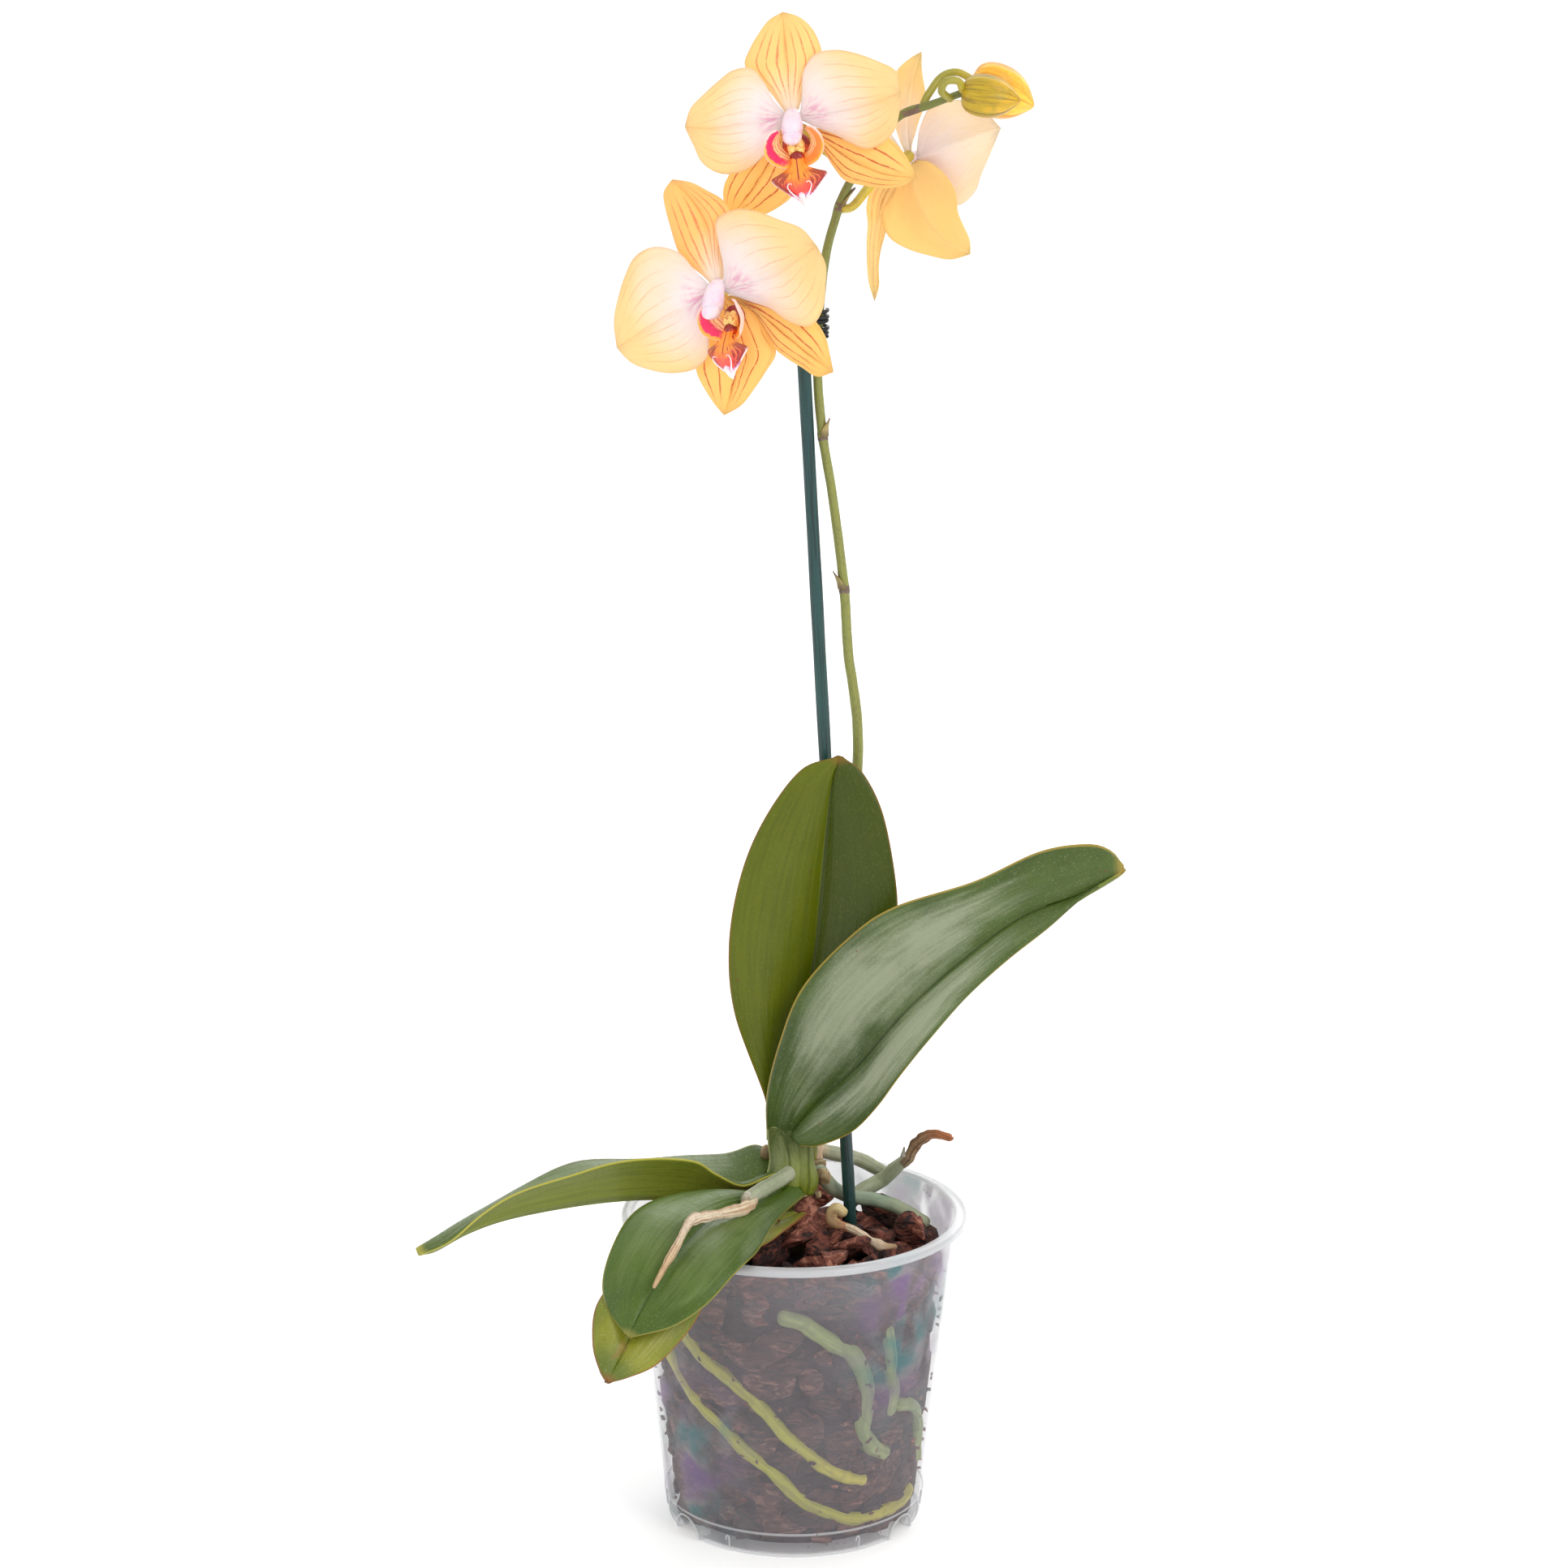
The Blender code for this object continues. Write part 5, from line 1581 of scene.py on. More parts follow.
def leaves() -> list[Leaf]:
    """The five leaves, upright one first and lowest one last.

    Returns:
        The leaves.
    """
    rim = linear(176, 150, 66)
    # The upright leaf has one half darkened as painted shade.
    olive = LeafFinish(
        "leaf_backlit", linear(104, 114, 2), linear(50, 68, 8), linear(104, 120, 34),
        linear(150, 110, 40), linear(150, 165, 90), 0.0, 0.04, glow=0.25, clouds=0.15, halves=0.7,
    )
    # The right leaf carries the strongest painted sheen patch.
    dark = LeafFinish(
        "leaf_painted_sheen", linear(74, 94, 34), linear(44, 62, 16), linear(108, 122, 44), rim,
        linear(170, 176, 150), 0.6, 0.03, foot_reach=0.16, clouds=0.6, sheen_at=0.42,
    )
    pale = LeafFinish(
        "leaf_trough", linear(84, 104, 26), linear(48, 68, 16), linear(118, 128, 36),
        linear(186, 178, 74), linear(176, 186, 156), 0.25, 0.04, clouds=0.6,
    )
    mid = LeafFinish(
        "leaf_glossy", linear(70, 94, 14), linear(42, 66, 8), linear(100, 112, 30), linear(146, 140, 62),
        linear(150, 166, 112), 0.25, 0.03, clouds=0.6,
    )
    old = LeafFinish(
        "leaf_old", linear(138, 138, 34), linear(92, 106, 26), linear(146, 140, 44), linear(140, 84, 44),
        linear(196, 198, 140), 0.22, 0.35,
    )
    return [
        Leaf(
            "leaf_upright", olive,
            [(-9.5, 18, 34.5), (-10, 14, 49.5), (-20.5, 9, 82), (-22.5, 8, 107.5), (-18.5, 9, 131.5),
             (-10.5, 12, 151), (2, 16, 167.5), (14.5, 18, 171.8)],
            [(-4.5, 20, 34.5), (-1, 20, 64), (6, 19, 94), (9, 19, 120), (11, 19, 143.5), (13, 18, 162.5),
             (15.5, 18, 172)],
            [(1, 18.5, 36), (11.5, 14, 60), (23, 10, 85), (32.5, 9, 108.5), (35.5, 9, 123),
             (31, 12, 151), (24, 16, 166), (16.5, 18, 171.8)],
            faces=(0.0, -1.0, 0.0), chance=0.2,
        ),
        Leaf(
            "leaf_right", dark,
            [(-9.5, 12, 35.5), (-9.5, 10, 52.5), (-5, 6, 73), (3, 2, 94.5), (20, -2, 114.5),
             (35, -5, 125.5), (61, -10, 135.5), (82.5, -14, 147), (98.5, -17, 150.5),
             (106.5, -18, 148.5), (110.5, -19, 143.5)],
            [(-1, 11, 37.5), (9, 8, 51.5), (23, 4, 66.3), (39, -2, 87.3), (55.5, -7, 104.8),
             (77, -12, 123.3), (96, -16, 131.7), (108, -19, 139.5), (111, -19.2, 142.5)],
            [(2, 4, 36), (9, 0, 37.5), (20, -3, 43.5), (28.5, -6, 53.5), (36.5, -9, 66),
             (47.5, -12, 81.5), (58.5, -14, 95.5), (72, -16, 109), (85.5, -18, 121), (96, -20, 131.5),
             (108, -20, 140.5), (110.5, -19.5, 141.8)],
            faces=(0.0, -1.0, 0.3), chance=0.7,
        ),
        Leaf(
            "leaf_left", pale,
            [(-2.5, 8, 26), (-10, 1.5, 25), (-18, -5, 24.5), (-27, -10, 31), (-36, -13, 36.7),
             (-60.5, -18, 37.5), (-77.5, -19, 33.5), (-94, -19, 27), (-107, -18, 18.5), (-118.5, -16, 8),
             (-129, -12, 1.5)],
            [(-5.5, 12, 24), (-18, 4, 20), (-36, -1, 20.5), (-58.5, -5, 21), (-78, -8, 19.5),
             (-99, -11, 16), (-113, -12, 11), (-124, -12, 4.5), (-130, -10.5, 1.8)],
            [(-8, 18, 29), (-14, 21, 30.5), (-25, 22, 26.5), (-45, 20, 26.5), (-69, 16, 26.5),
             (-82, 13, 24.5), (-96, 8, 19.5), (-109.5, 3, 12.5), (-123.5, -3, 5.5), (-131, -9, 3)],
            chance=0.35,
        ),
        Leaf(
            "leaf_front_left", mid,
            [(-3.5, 6.5, 19.3), (-13.5, -2, 20.3), (-30.5, -14, 26.5), (-46.5, -28, 27.5),
             (-56, -42, 26.5), (-61.5, -56, 20), (-64, -65.5, 11.5), (-62, -72.5, 4.6), (-56, -81, -0.2)],
            [(0, 6.5, 20.5), (-9.5, -8, 20.5), (-22, -25, 22.8), (-32.5, -47, 22.8), (-42, -64, 17.6),
             (-48.5, -73, 9.3), (-55, -82, -1)],
            [(3.5, 5, 17), (-5, -16, 17), (-11.5, -45, 17), (-16, -60, 17.2), (-20, -68, 15.5),
             (-29, -76, 8.3), (-40.5, -80, 2), (-54, -82.5, -0.9)],
            chance=0.5,
        ),
        Leaf(
            "leaf_lowest", old,
            [(1, 7.5, 10.5), (-12, -4, 13.0), (-28, -20, 17), (-45, -39, 16.8), (-51, -46, 15.7),
             (-58, -56, 12.5), (-66, -70, 5.5), (-67, -79.5, -4.5), (-64.5, -86, -11.5),
             (-62.5, -88, -14)],
            [(3, 7, 9.5), (-8, -8, 10.4), (-19, -27, 14.5), (-34, -46.5, 15.9), (-39, -54, 14.6),
             (-45, -63, 8.5), (-53.5, -74.5, -1.8), (-58.5, -82.5, -9.5), (-62, -88, -14.5)],
            [(5, 6.5, 10.5), (-3, -12, 10.6), (-11, -34, 13.5), (-22.5, -52.5, 15.7),
             (-26.5, -60.5, 13.8), (-30, -67.5, 6), (-35, -72, -2.3), (-45.5, -80, -11.3),
             (-55, -85, -14), (-61.5, -87.5, -14.8)],
            chance=0.9,
        ),
    ]


# ---------------------------------------------------------------- crown and roots


@dataclass
class Sheath:
    """One leaf base that wraps the crown, drawn between three rails in millimetres."""

    left: Sequence[Point]
    middle: Sequence[Point]
    right: Sequence[Point]
    bulge: float = 0.35
    stations: int = 28
    columns: int = 15

    def skin(self, finish: bpy.types.Material, chance: float) -> Skin:
        """The wrapped sheath with a thin edge.

        Args:
            finish: Its material.
            chance: A number from 0 to 1 that its finish varies with.

        Returns:
            The sheath.
        """
        left, middle, right = [
            smooth_path(rail, self.stations) * MM for rail in (self.left, self.middle, self.right)
        ]
        ahead = np.gradient(middle, axis=0)
        up = unit(np.cross(right - left, ahead))
        half = np.linalg.norm(right - left, axis=1) / 2
        rows = []
        for across in np.linspace(-1, 1, self.columns):
            wide = abs(across)
            margin = left if across < 0 else right
            push = self.bulge * wide * (1 - wide) * 2 * half
            rows.append(middle + (margin - middle) * wide + up * push[:, None])
        grid = np.stack(rows, axis=1)
        thick = (
            0.0004
            + 0.0011 * (1 - np.linspace(-1, 1, self.columns)[None, :] ** 2).repeat(self.stations, 0)
        )
        return sheet(grid, thick, finish, chance)


@dataclass
class Crown:
    """The short stem under the leaves: a core, wrapped leaf bases with waxy edges, and root collars."""

    route: tuple[Point, ...] = ((2, 13, -12), (2, 14, 9), (2, 15, 20), (2, 16, 28), (1, 15.5, 34))
    radii: tuple[float, ...] = (3.6, 4.6, 5.2, 4.2, 1.8)

    def build(self, lift: float) -> None:
        """Makes the crown and settles it.

        Args:
            lift: The bark's height above the floor.
        """
        # Painted shadow: the stem's colour runs from dark brown at its foot, among the bark, into green
        # higher up.
        green = BarFinish(
            "crown_flesh", linear(76, 58, 40), linear(110, 116, 34), linear(112, 120, 38),
            linear(84, 80, 34), streak=0.35, mottle=0.25, mottle_scale=420.0, rough=0.42, relief=0.0002,
        ).material()
        sheath = LeafFinish(
            "crown_sheath", linear(112, 122, 20), linear(60, 74, 10), linear(104, 114, 34),
            linear(170, 176, 110), linear(176, 186, 130), 0.25, 0.06,
        ).material()
        husk = BarFinish(
            "crown_husk", linear(150, 128, 92), linear(190, 168, 124), linear(128, 98, 64),
            linear(92, 64, 42), streak=0.6, rough=0.7, relief=0.0004,
        ).material()
        path = smooth_path(self.route, 30) * MM
        skins = [round_bar(path, spread(self.radii, 30) * MM, green, 20, 0.10, 0.006)]
        wraps = [
            Sheath(
                [(-12, 3, 21.5), (-10, 5, 24), (-8.6, 8, 29), (-9, 10, 34), (-9.5, 11.5, 41)],
                [(-4, 3.5, 17.5), (-2.5, 4.5, 21), (-1.5, 6, 27), (-2, 8.5, 33), (-3.5, 10.5, 41)],
                [(0.5, 6, 16.5), (2.5, 7, 20), (2.8, 8, 26), (2.5, 9.5, 32), (2, 11.5, 40)],
            ),
            Sheath(
                [(-2, 8, 17), (-1, 7.5, 21), (0, 8, 27), (0.5, 9.5, 33), (1, 11, 40)],
                [(4, 7.5, 16.5), (5, 7.5, 21), (4.8, 8.5, 26), (4.8, 10, 32), (5, 11.5, 39)],
                [(8, 12, 17.5), (8.4, 12, 21.5), (7, 12, 27), (6, 12.5, 33), (5.8, 13, 39)],
            ),
        ]
        skins += [wrap.skin(sheath, 0.2 + 0.3 * number) for number, wrap in enumerate(wraps)]
        scar = ((-4.5, 4.6, 17.4), (1.5, 5.6, 16.6), (7.6, 9.6, 17.4))
        skins.append(round_bar(smooth_path(scar, 24) * MM, np.full(24, 0.0005), husk, 8, 0.5, 0.0012))
        collars = [
            ((9.6, 15, 20.5), 3.4), ((8.4, 21.5, 23), 3.2), ((8.2, 11.4, 15.5), 1.5),
            ((-9.5, 14.5, 30), 2.8),
        ]
        dice = random.Random(12)
        for place, radius in collars:
            skin = lump([radius * MM, radius * 0.0008, radius * MM], husk, 4, dice, 0.12)
            skins.append(skin.moved(Matrix.Translation(Vector(place) * MM)))
        settle(make_piece("crown_stem", skins, lift), Slot.CROWN, "crown")


@dataclass(frozen=True)
class Stretch:
    """One stretch of a root: its route and radii in millimetres, its finish, and how flat it dries."""

    route: Sequence[Point]
    radii: Sequence[float]
    finish: str
    squash: tuple[float, ...] = (0.0, 0.0)
    lumps: float = 0.10


@dataclass
class AerialRoots:
    """The roots above the bark, plump and silvery where they live, shrunk to ribbons where they dried."""

    seed: int = 4
    finishes: dict[str, bpy.types.Material] = field(default_factory=dict)

    def paints(self) -> None:
        """Makes the roots' finishes."""
        silver = linear(170, 174, 146)
        kinds = [
            BarFinish(
                "root_living", silver, linear(152, 160, 128), silver, linear(118, 124, 94), 0.35, 9, 0.3,
                520.0, 0.58, 0.0003,
            ),
            BarFinish(
                "root_collared", linear(214, 176, 140), silver, linear(158, 164, 134),
                linear(126, 124, 98), 0.4, 9, 0.3, 520.0, 0.6, 0.0003,
            ),
            BarFinish(
                "root_stained", silver, linear(146, 160, 134), linear(160, 162, 130),
                linear(112, 136, 114), 0.35, 8, 0.4, 260.0, 0.58, 0.0003,
            ),
            BarFinish(
                "root_dry", linear(226, 208, 176), linear(232, 216, 190), linear(206, 176, 136),
                linear(170, 112, 66), 0.65, 14, 0.3, 600.0, 0.66, 0.0006,
            ),
            BarFinish(
                "root_torn", linear(176, 156, 122), linear(166, 130, 96), linear(214, 130, 84),
                linear(88, 58, 40), 0.7, 16, 0.4, 500.0, 0.75, 0.0008,
            ),
            BarFinish(
                "root_knob", linear(206, 186, 132), linear(178, 148, 104), linear(196, 140, 100),
                linear(120, 80, 52), 0.5, 10, 0.3, 600.0, 0.6, 0.0004,
            ),
            BarFinish(
                "root_cut", linear(214, 212, 200), linear(196, 190, 172), linear(168, 156, 130),
                linear(110, 94, 74), 0.6, 12, 0.5, 900.0, 0.8, 0.0006,
            ),
        ]
        self.finishes = {kind.name: kind.material() for kind in kinds}

    def roots(self) -> dict[str, list[Stretch]]:
        """Each root's stretches, from the crown outwards.

        Returns:
            The stretches of each node.
        """
        return {
            "aerial_root_over_leaf": [
                Stretch(
                    [(-2, 3, 26.3), (-5.5, -5, 26.5), (-9.5, -12, 26.5), (-13.5, -18, 26.2),
                     (-16, -22.5, 25.8)],
                    [2.6, 2.7, 2.7, 2.6, 2.5], "root_living",
                ),
                Stretch([(-15.9, -22.2, 25.9), (-16.8, -23.8, 25.7)], [2.25, 1.9], "root_cut", lumps=0.5),
                Stretch(
                    [(-13.2, -22, 25), (-15, -28, 25.6), (-21, -36, 26.4), (-27.5, -43, 27.6),
                     (-33.5, -50, 28.8), (-36.5, -56, 27.6), (-39, -63, 24.6), (-43, -70.5, 19.8),
                     (-46.5, -76.5, 15)],
                    [1.6, 2.5, 2.3, 2.0, 2.3, 1.9, 2.1, 1.8, 1.0], "root_dry", (0.5, 0.62, 0.5), 0.32,
                ),
            ],
            "aerial_root_right": [
                Stretch(
                    [(9, 17.5, 21.5), (13, 23, 14.5), (19, 25.5, 10), (29, 26, 8.2), (37.5, 24, 5.7),
                     (46, 18, 2.6)],
                    [2.9, 2.6, 2.5, 2.6, 2.5, 2.3], "root_stained",
                )
            ],
            "aerial_root_loop": [
                Stretch(
                    [(8, 24, 21), (7.5, 30, 25.2), (10.5, 36, 23), (16.5, 38, 21), (23.5, 41, 18),
                     (32, 44.5, 12)],
                    [2.7, 2.6, 2.6, 2.6, 2.6, 2.4], "root_collared",
                )
            ],
            "aerial_root_raised": [
                Stretch(
                    [(20, 32, 5), (24, 33.5, 9), (31, 36, 12), (36.5, 33.5, 18), (39.5, 31, 22)],
                    [2.5, 2.7, 2.7, 2.5, 1.8], "root_living",
                ),
                Stretch(
                    [(37.5, 32.8, 19), (40.5, 29.6, 22.6), (41.6, 28.4, 26), (45, 25.4, 31),
                     (49.5, 22.4, 34.2), (54.4, 20, 33.4)],
                    [1.9, 2.3, 1.9, 2.3, 1.9, 1.7], "root_torn", (0.2, 0.55, 0.45), 0.4,
                ),
                Stretch([(52, 21, 33.8), (55.6, 19.4, 33.4)], [1.4, 0.5], "root_knob", (0.5, 0.6), 0.5),
                Stretch([(38.6, 29, 23.8), (38.9, 28.7, 26.8)], [0.9, 0.35], "root_cut", lumps=0.4),
            ],
            "aerial_root_front": [
                Stretch(
                    [(17.2, 3.6, 11.6), (15.2, 4.2, 12.9), (13.4, 4.6, 11.4), (13.2, 3.8, 9),
                     (15.5, 2.2, 7.6), (19, 0.4, 7.2)],
                    [1.7, 2.2, 2.3, 2.0, 1.8, 1.5], "root_knob", (0.1, 0.2), 0.15,
                ),
                Stretch(
                    [(17, 1.4, 7.4), (21.5, -2, 6.8), (27, -6.6, 4.8), (31, -7.6, 3.6), (35, -8.4, 3.4)],
                    [1.3, 1.7, 1.5, 1.9, 0.9], "root_dry", (0.3, 0.55), 0.4,
                ),
            ],
        }

    def build(self, lift: float) -> None:
        """Makes every root above the bark and settles it.

        Args:
            lift: The bark's height above the floor.
        """
        self.paints()
        dry = {"aerial_root_over_leaf", "aerial_root_raised", "aerial_root_front"}
        for number, (node, stretches) in enumerate(self.roots().items()):
            skins = []
            for part, stretch in enumerate(stretches):
                count = max(8, 10 * len(stretch.route))
                path = smooth_path(stretch.route, count) * MM
                skins.append(
                    round_bar(
                        path, spread(stretch.radii, count) * MM, self.finishes[stretch.finish], 18,
                        stretch.lumps, 0.0035, stretch.squash, 0.13 * (number + 2 * part),
                    )
                )
            settle(
                make_piece(node + "_strand", skins, lift), Slot.DRY if node in dry else Slot.ROOT, node
            )


@dataclass
class WallRoots:
    """The roots that run down between the bark and the clear wall."""

    pot: Pot
    top: float
    floor: float = 0.0036
    gap: float = 0.0004

    def routes(self) -> dict[str, tuple[float, str, list[tuple[float, float]]]]:
        """Each root's radius, finish and route of (degrees from the front, share of the bark's depth).

        Returns:
            The three of each node.
        """
        return {
            "pot_root_long": (
                0.0025, "wall_root_bright",
                [(-50, 0.8), (-39, 0.71), (-26, 0.64), (-13, 0.54), (-5, 0.45), (4, 0.38), (13, 0.3),
                 (23, 0.25), (32, 0.22)],
            ),
            "pot_root_low": (
                0.0024, "wall_root_bright",
                [(-67, 0.72), (-58, 0.63), (-46, 0.53), (-33, 0.45), (-22, 0.36), (-11, 0.29), (-1, 0.2),
                 (8, 0.14), (25, 0.07), (41, 0.05), (60, 0.05), (72, 0.07)],
            ),
            "pot_root_bent": (
                0.0032, "wall_root_silver",
                [(-4, 0.93), (4, 0.9), (13, 0.83), (24, 0.76), (30, 0.66), (32, 0.54), (31, 0.43),
                 (36, 0.35), (44, 0.3)],
            ),
            "pot_root_short": (
                0.0024, "wall_root_silver", [(40, 0.83), (43, 0.72), (43, 0.65), (46, 0.57), (45, 0.48)]
            ),
            "pot_root_side": (
                0.0026, "wall_root_silver", [(50, 0.49), (62, 0.45), (73, 0.35), (76, 0.26), (80, 0.18)]
            ),
            "pot_root_stub": (0.002, "wall_root_bright", [(-46, 0.86), (-49, 0.9), (-53, 0.92)]),
        }

    def build(self) -> None:
        """Makes every root against the wall and settles it."""
        bright = linear(186, 182, 52)
        silver = linear(156, 168, 104)
        finishes = {
            kind.name: kind.material()
            for kind in (
                BarFinish(
                    "wall_root_bright", bright, linear(176, 176, 44), linear(196, 184, 60),
                    linear(122, 122, 36), 0.5, 8, 0.35, 330.0, 0.4, 0.0003,
                ),
                BarFinish(
                    "wall_root_silver", silver, linear(136, 154, 88), linear(158, 170, 104),
                    linear(98, 114, 62), 0.5, 8, 0.35, 330.0, 0.45, 0.0003,
                ),
            )
        }
        for number, (node, (radius, finish, route)) in enumerate(self.routes().items()):
            lowest = self.floor + radius
            points = []
            for angle, share in route:
                height = lowest + (self.top - lowest) * share
                bore = self.pot.outside(height) - self.pot.wall
                points.append(self.pot.around(angle, bore - self.gap - radius, height))
            count = 12 * len(route)
            skin = round_bar(
                smooth_path(points, count), np.full(count, radius * 0.94), finishes[finish], 16, 0.24,
                0.005, chance=0.17 * number,
            )
            settle(make_piece(node + "_strand", [skin]), Slot.ROOT, node)


# ---------------------------------------------------------------- spike and buds


@dataclass
class Spike:
    """The flower spike with its joints and the small sheaths that sit on them."""

    route: tuple[Point, ...] = (
        (5.5, 23.5, 17), (6, 24.5, 26), (10, 29, 60), (14.5, 31, 90), (22, 33, 166.5), (18.5, 33, 206),
        (17, 33, 228.5), (13, 33, 260), (9.5, 33, 281.5), (7.9, 34, 301), (8.2, 34, 319), (9.4, 34, 333),
        (11, 34, 344), (13.4, 33.6, 353), (17, 33, 363.6), (26, 32, 378.5), (35, 30, 389), (45, 27, 393),
        (55, 25, 397),
    )
    radii: tuple[float, ...] = (2.1, 2.1, 2.0, 1.9, 1.8, 1.7, 1.6, 1.6, 1.5, 1.4, 1.2)
    joints: tuple[float, ...] = (0.118, 0.2275, 0.2805, 0.3585, 0.391)
    bracts: tuple[tuple[str, float, float], ...] = (
        ("spike_bract_low", 0.2275, -170.0), ("spike_bract_middle", 0.2805, -10.0),
        ("spike_bract_upper", 0.3585, 20.0),
    )
    points: int = 220
    bract_length: float = 0.0062
    bract_thickness: float = 0.00035
    bract_rows: int = 14
    bract_columns: int = 13

    def line(self) -> np.ndarray:
        """The spike's middle line in metres above the bark."""
        return smooth_path(self.route, self.points) * MM

    def centre_at(self, height: float) -> np.ndarray:
        """The middle of the spike at a height above the bark."""
        line = self.line()
        return np.array([np.interp(height, line[:, 2], line[:, axis]) for axis in range(3)])

    def radius_at(self, height: float) -> float:
        """The spike's radius at a height above the bark."""
        return float(np.interp(height, self.line()[:, 2], spread(self.radii, self.points) * MM))

    def bract(self, height: float, side: float, finish: bpy.types.Material) -> Skin:
        """A short sheath that clasps the spike and opens to one side.

        Args:
            height: Where it grows, above the bark.
            side: The way that it opens, in degrees from +X.
            finish: Its material.

        Returns:
            The sheath.
        """
        rows = []
        for run in np.linspace(0, 1, self.bract_rows):
            centre = self.centre_at(height + self.bract_length * run)
            radius = self.radius_at(height) + 0.0004 + 0.0012 * run**2
            sweep = 95 * (1 - run**1.6) + 3
            angles = np.radians(side + np.linspace(-sweep, sweep, self.bract_columns))
            rows.append(
                centre + np.column_stack(
                    [np.cos(angles), np.sin(angles), np.zeros(self.bract_columns)]
                ) * radius
            )
        thick = np.full((self.bract_rows, self.bract_columns), self.bract_thickness)
        return sheet(np.stack(rows), thick, finish)

    def build(self, lift: float) -> None:
        """Makes the spike and its sheaths and settles them.

        Args:
            lift: The bark's height above the floor.
        """
        stem = BarFinish(
            "spike_skin", linear(130, 134, 58), linear(136, 140, 66), linear(118, 126, 60),
            linear(104, 96, 62), streak=0.3, streaks=12.0, mottle=0.4, mottle_scale=900.0, rough=0.5,
            relief=0.0002,
        ).material()
        husk = BarFinish(
            "spike_husk", linear(126, 112, 66), linear(176, 160, 96), linear(140, 104, 84),
            linear(92, 66, 62), streak=0.5, rough=0.6, relief=0.0002,
        ).material()
        scar = BarFinish(
            "spike_joint", linear(126, 108, 86), linear(112, 92, 80), linear(126, 108, 84),
            linear(92, 74, 70), streak=0.5, rough=0.6, relief=0.0003,
        ).material()
        line = self.line()
        radii = spread(self.radii, self.points) * MM
        for joint in self.joints:
            radii = radii * (1 + 0.12 * np.exp(-(((line[:, 2] - joint) / 0.0022) ** 2)))
        skins = [round_bar(line, radii, stem, 18, 0.05, 0.004)]
        for joint in self.joints:
            low, high = self.centre_at(joint - 0.0011), self.centre_at(joint + 0.0009)
            ring = np.linspace(low, high, 6)
            skins.append(round_bar(ring, np.full(6, self.radius_at(joint) * 1.13), scar, 18, 0.06, 0.002))
        settle(make_piece("flower_spike_stem", skins, lift), Slot.STEM, "flower_spike")
        for node, height, side in self.bracts:
            settle(make_piece(node + "_sheath", [self.bract(height, side, husk)], lift), Slot.DRY, node)


@dataclass
class Bud:
    """A closed bud of pressed sepals, and the curled stalk that carries it."""

    node: str
    slot: Slot
    middle: Point
    heading: Point
    length: float
    radius: float
    stalk: Sequence[Point]
    finish: SpeckledFinish
    stations: int = 34
    sides: int = 48
    stalk_radius: float = 0.0013
    stalk_stations: int = 60

    def skin(self, finish: bpy.types.Material) -> Skin:
        """The plump body, with seams where its sepals meet.

        Args:
            finish: Its material.

        Returns:
            The bud, at its place above the bark.
        """
        count, sides = self.stations, self.sides
        angles = np.linspace(0, 2 * math.pi, sides, endpoint=False)
        rows = []
        for run in np.linspace(0, 1, count):
            swing = math.pi * run
            taper = 1.0 - 0.16 * math.cos(swing)
            point = 0.82 + 0.24 * math.cos(swing)
            seam = 0.14 * np.exp(-((np.mod(angles * 3 / (2 * math.pi) + 0.15, 1) - 0.5) / 0.09) ** 2)
            ridge = 0.025 * np.cos(angles * 15) * math.sin(swing)
            radius = self.radius * taper * max(math.sin(swing), 0.0) ** point * (1 - seam + ridge) + 1e-05
            z = self.length / 2 * (math.cos(swing) + 0.12 * max(math.cos(swing), 0.0) ** 16)
            curl = 0.10 * self.radius * math.sin(swing)
            rows.append(
                np.column_stack(
                    [radius * np.cos(angles) + curl, radius * np.sin(angles), np.full(sides, z)]
                )
            )
        points = np.vstack(rows)
        faces = []
        for row in range(count - 1):
            for column in range(sides):
                a, b = row * sides + column, row * sides + (column + 1) % sides
                faces.append((a, a + sides, b + sides, b))
        faces += [tuple(range(sides)), tuple(range((count - 1) * sides, count * sides))[::-1]]
        turn = np.tile(np.linspace(-1, 1, sides, endpoint=False), count)
        run = np.repeat(np.linspace(0, 1, count), sides)
        place = np.column_stack([turn, run, np.ones(len(run))])
        size = np.column_stack(
            [np.full(len(run), self.radius), run * self.length, np.full(len(run), 0.5)]
        )
        skin = Skin(points, faces, place, size, finish)
        turned_to = Vector(self.heading).to_track_quat("Z", "Y").to_matrix().to_4x4()
        return skin.moved(Matrix.Translation(self.middle) @ turned_to)

    def build(self, lift: float, stalk_finish: bpy.types.Material) -> None:
        """Makes the bud and its stalk and settles them.

        Args:
            lift: The bark's height above the floor.
            stalk_finish: The stalk's material.
        """
        settle(
            make_piece(self.node + "_body", [self.skin(self.finish.material())], lift), self.slot,
            self.node,
        )
        count = self.stalk_stations
        bar = round_bar(
            smooth_path(self.stalk, count), np.full(count, self.stalk_radius), stalk_finish, 14, 0.05,
            0.003,
        )
        settle(make_piece(self.node + "_stalk", [bar], lift), Slot.STALK, self.node + "_pedicel")


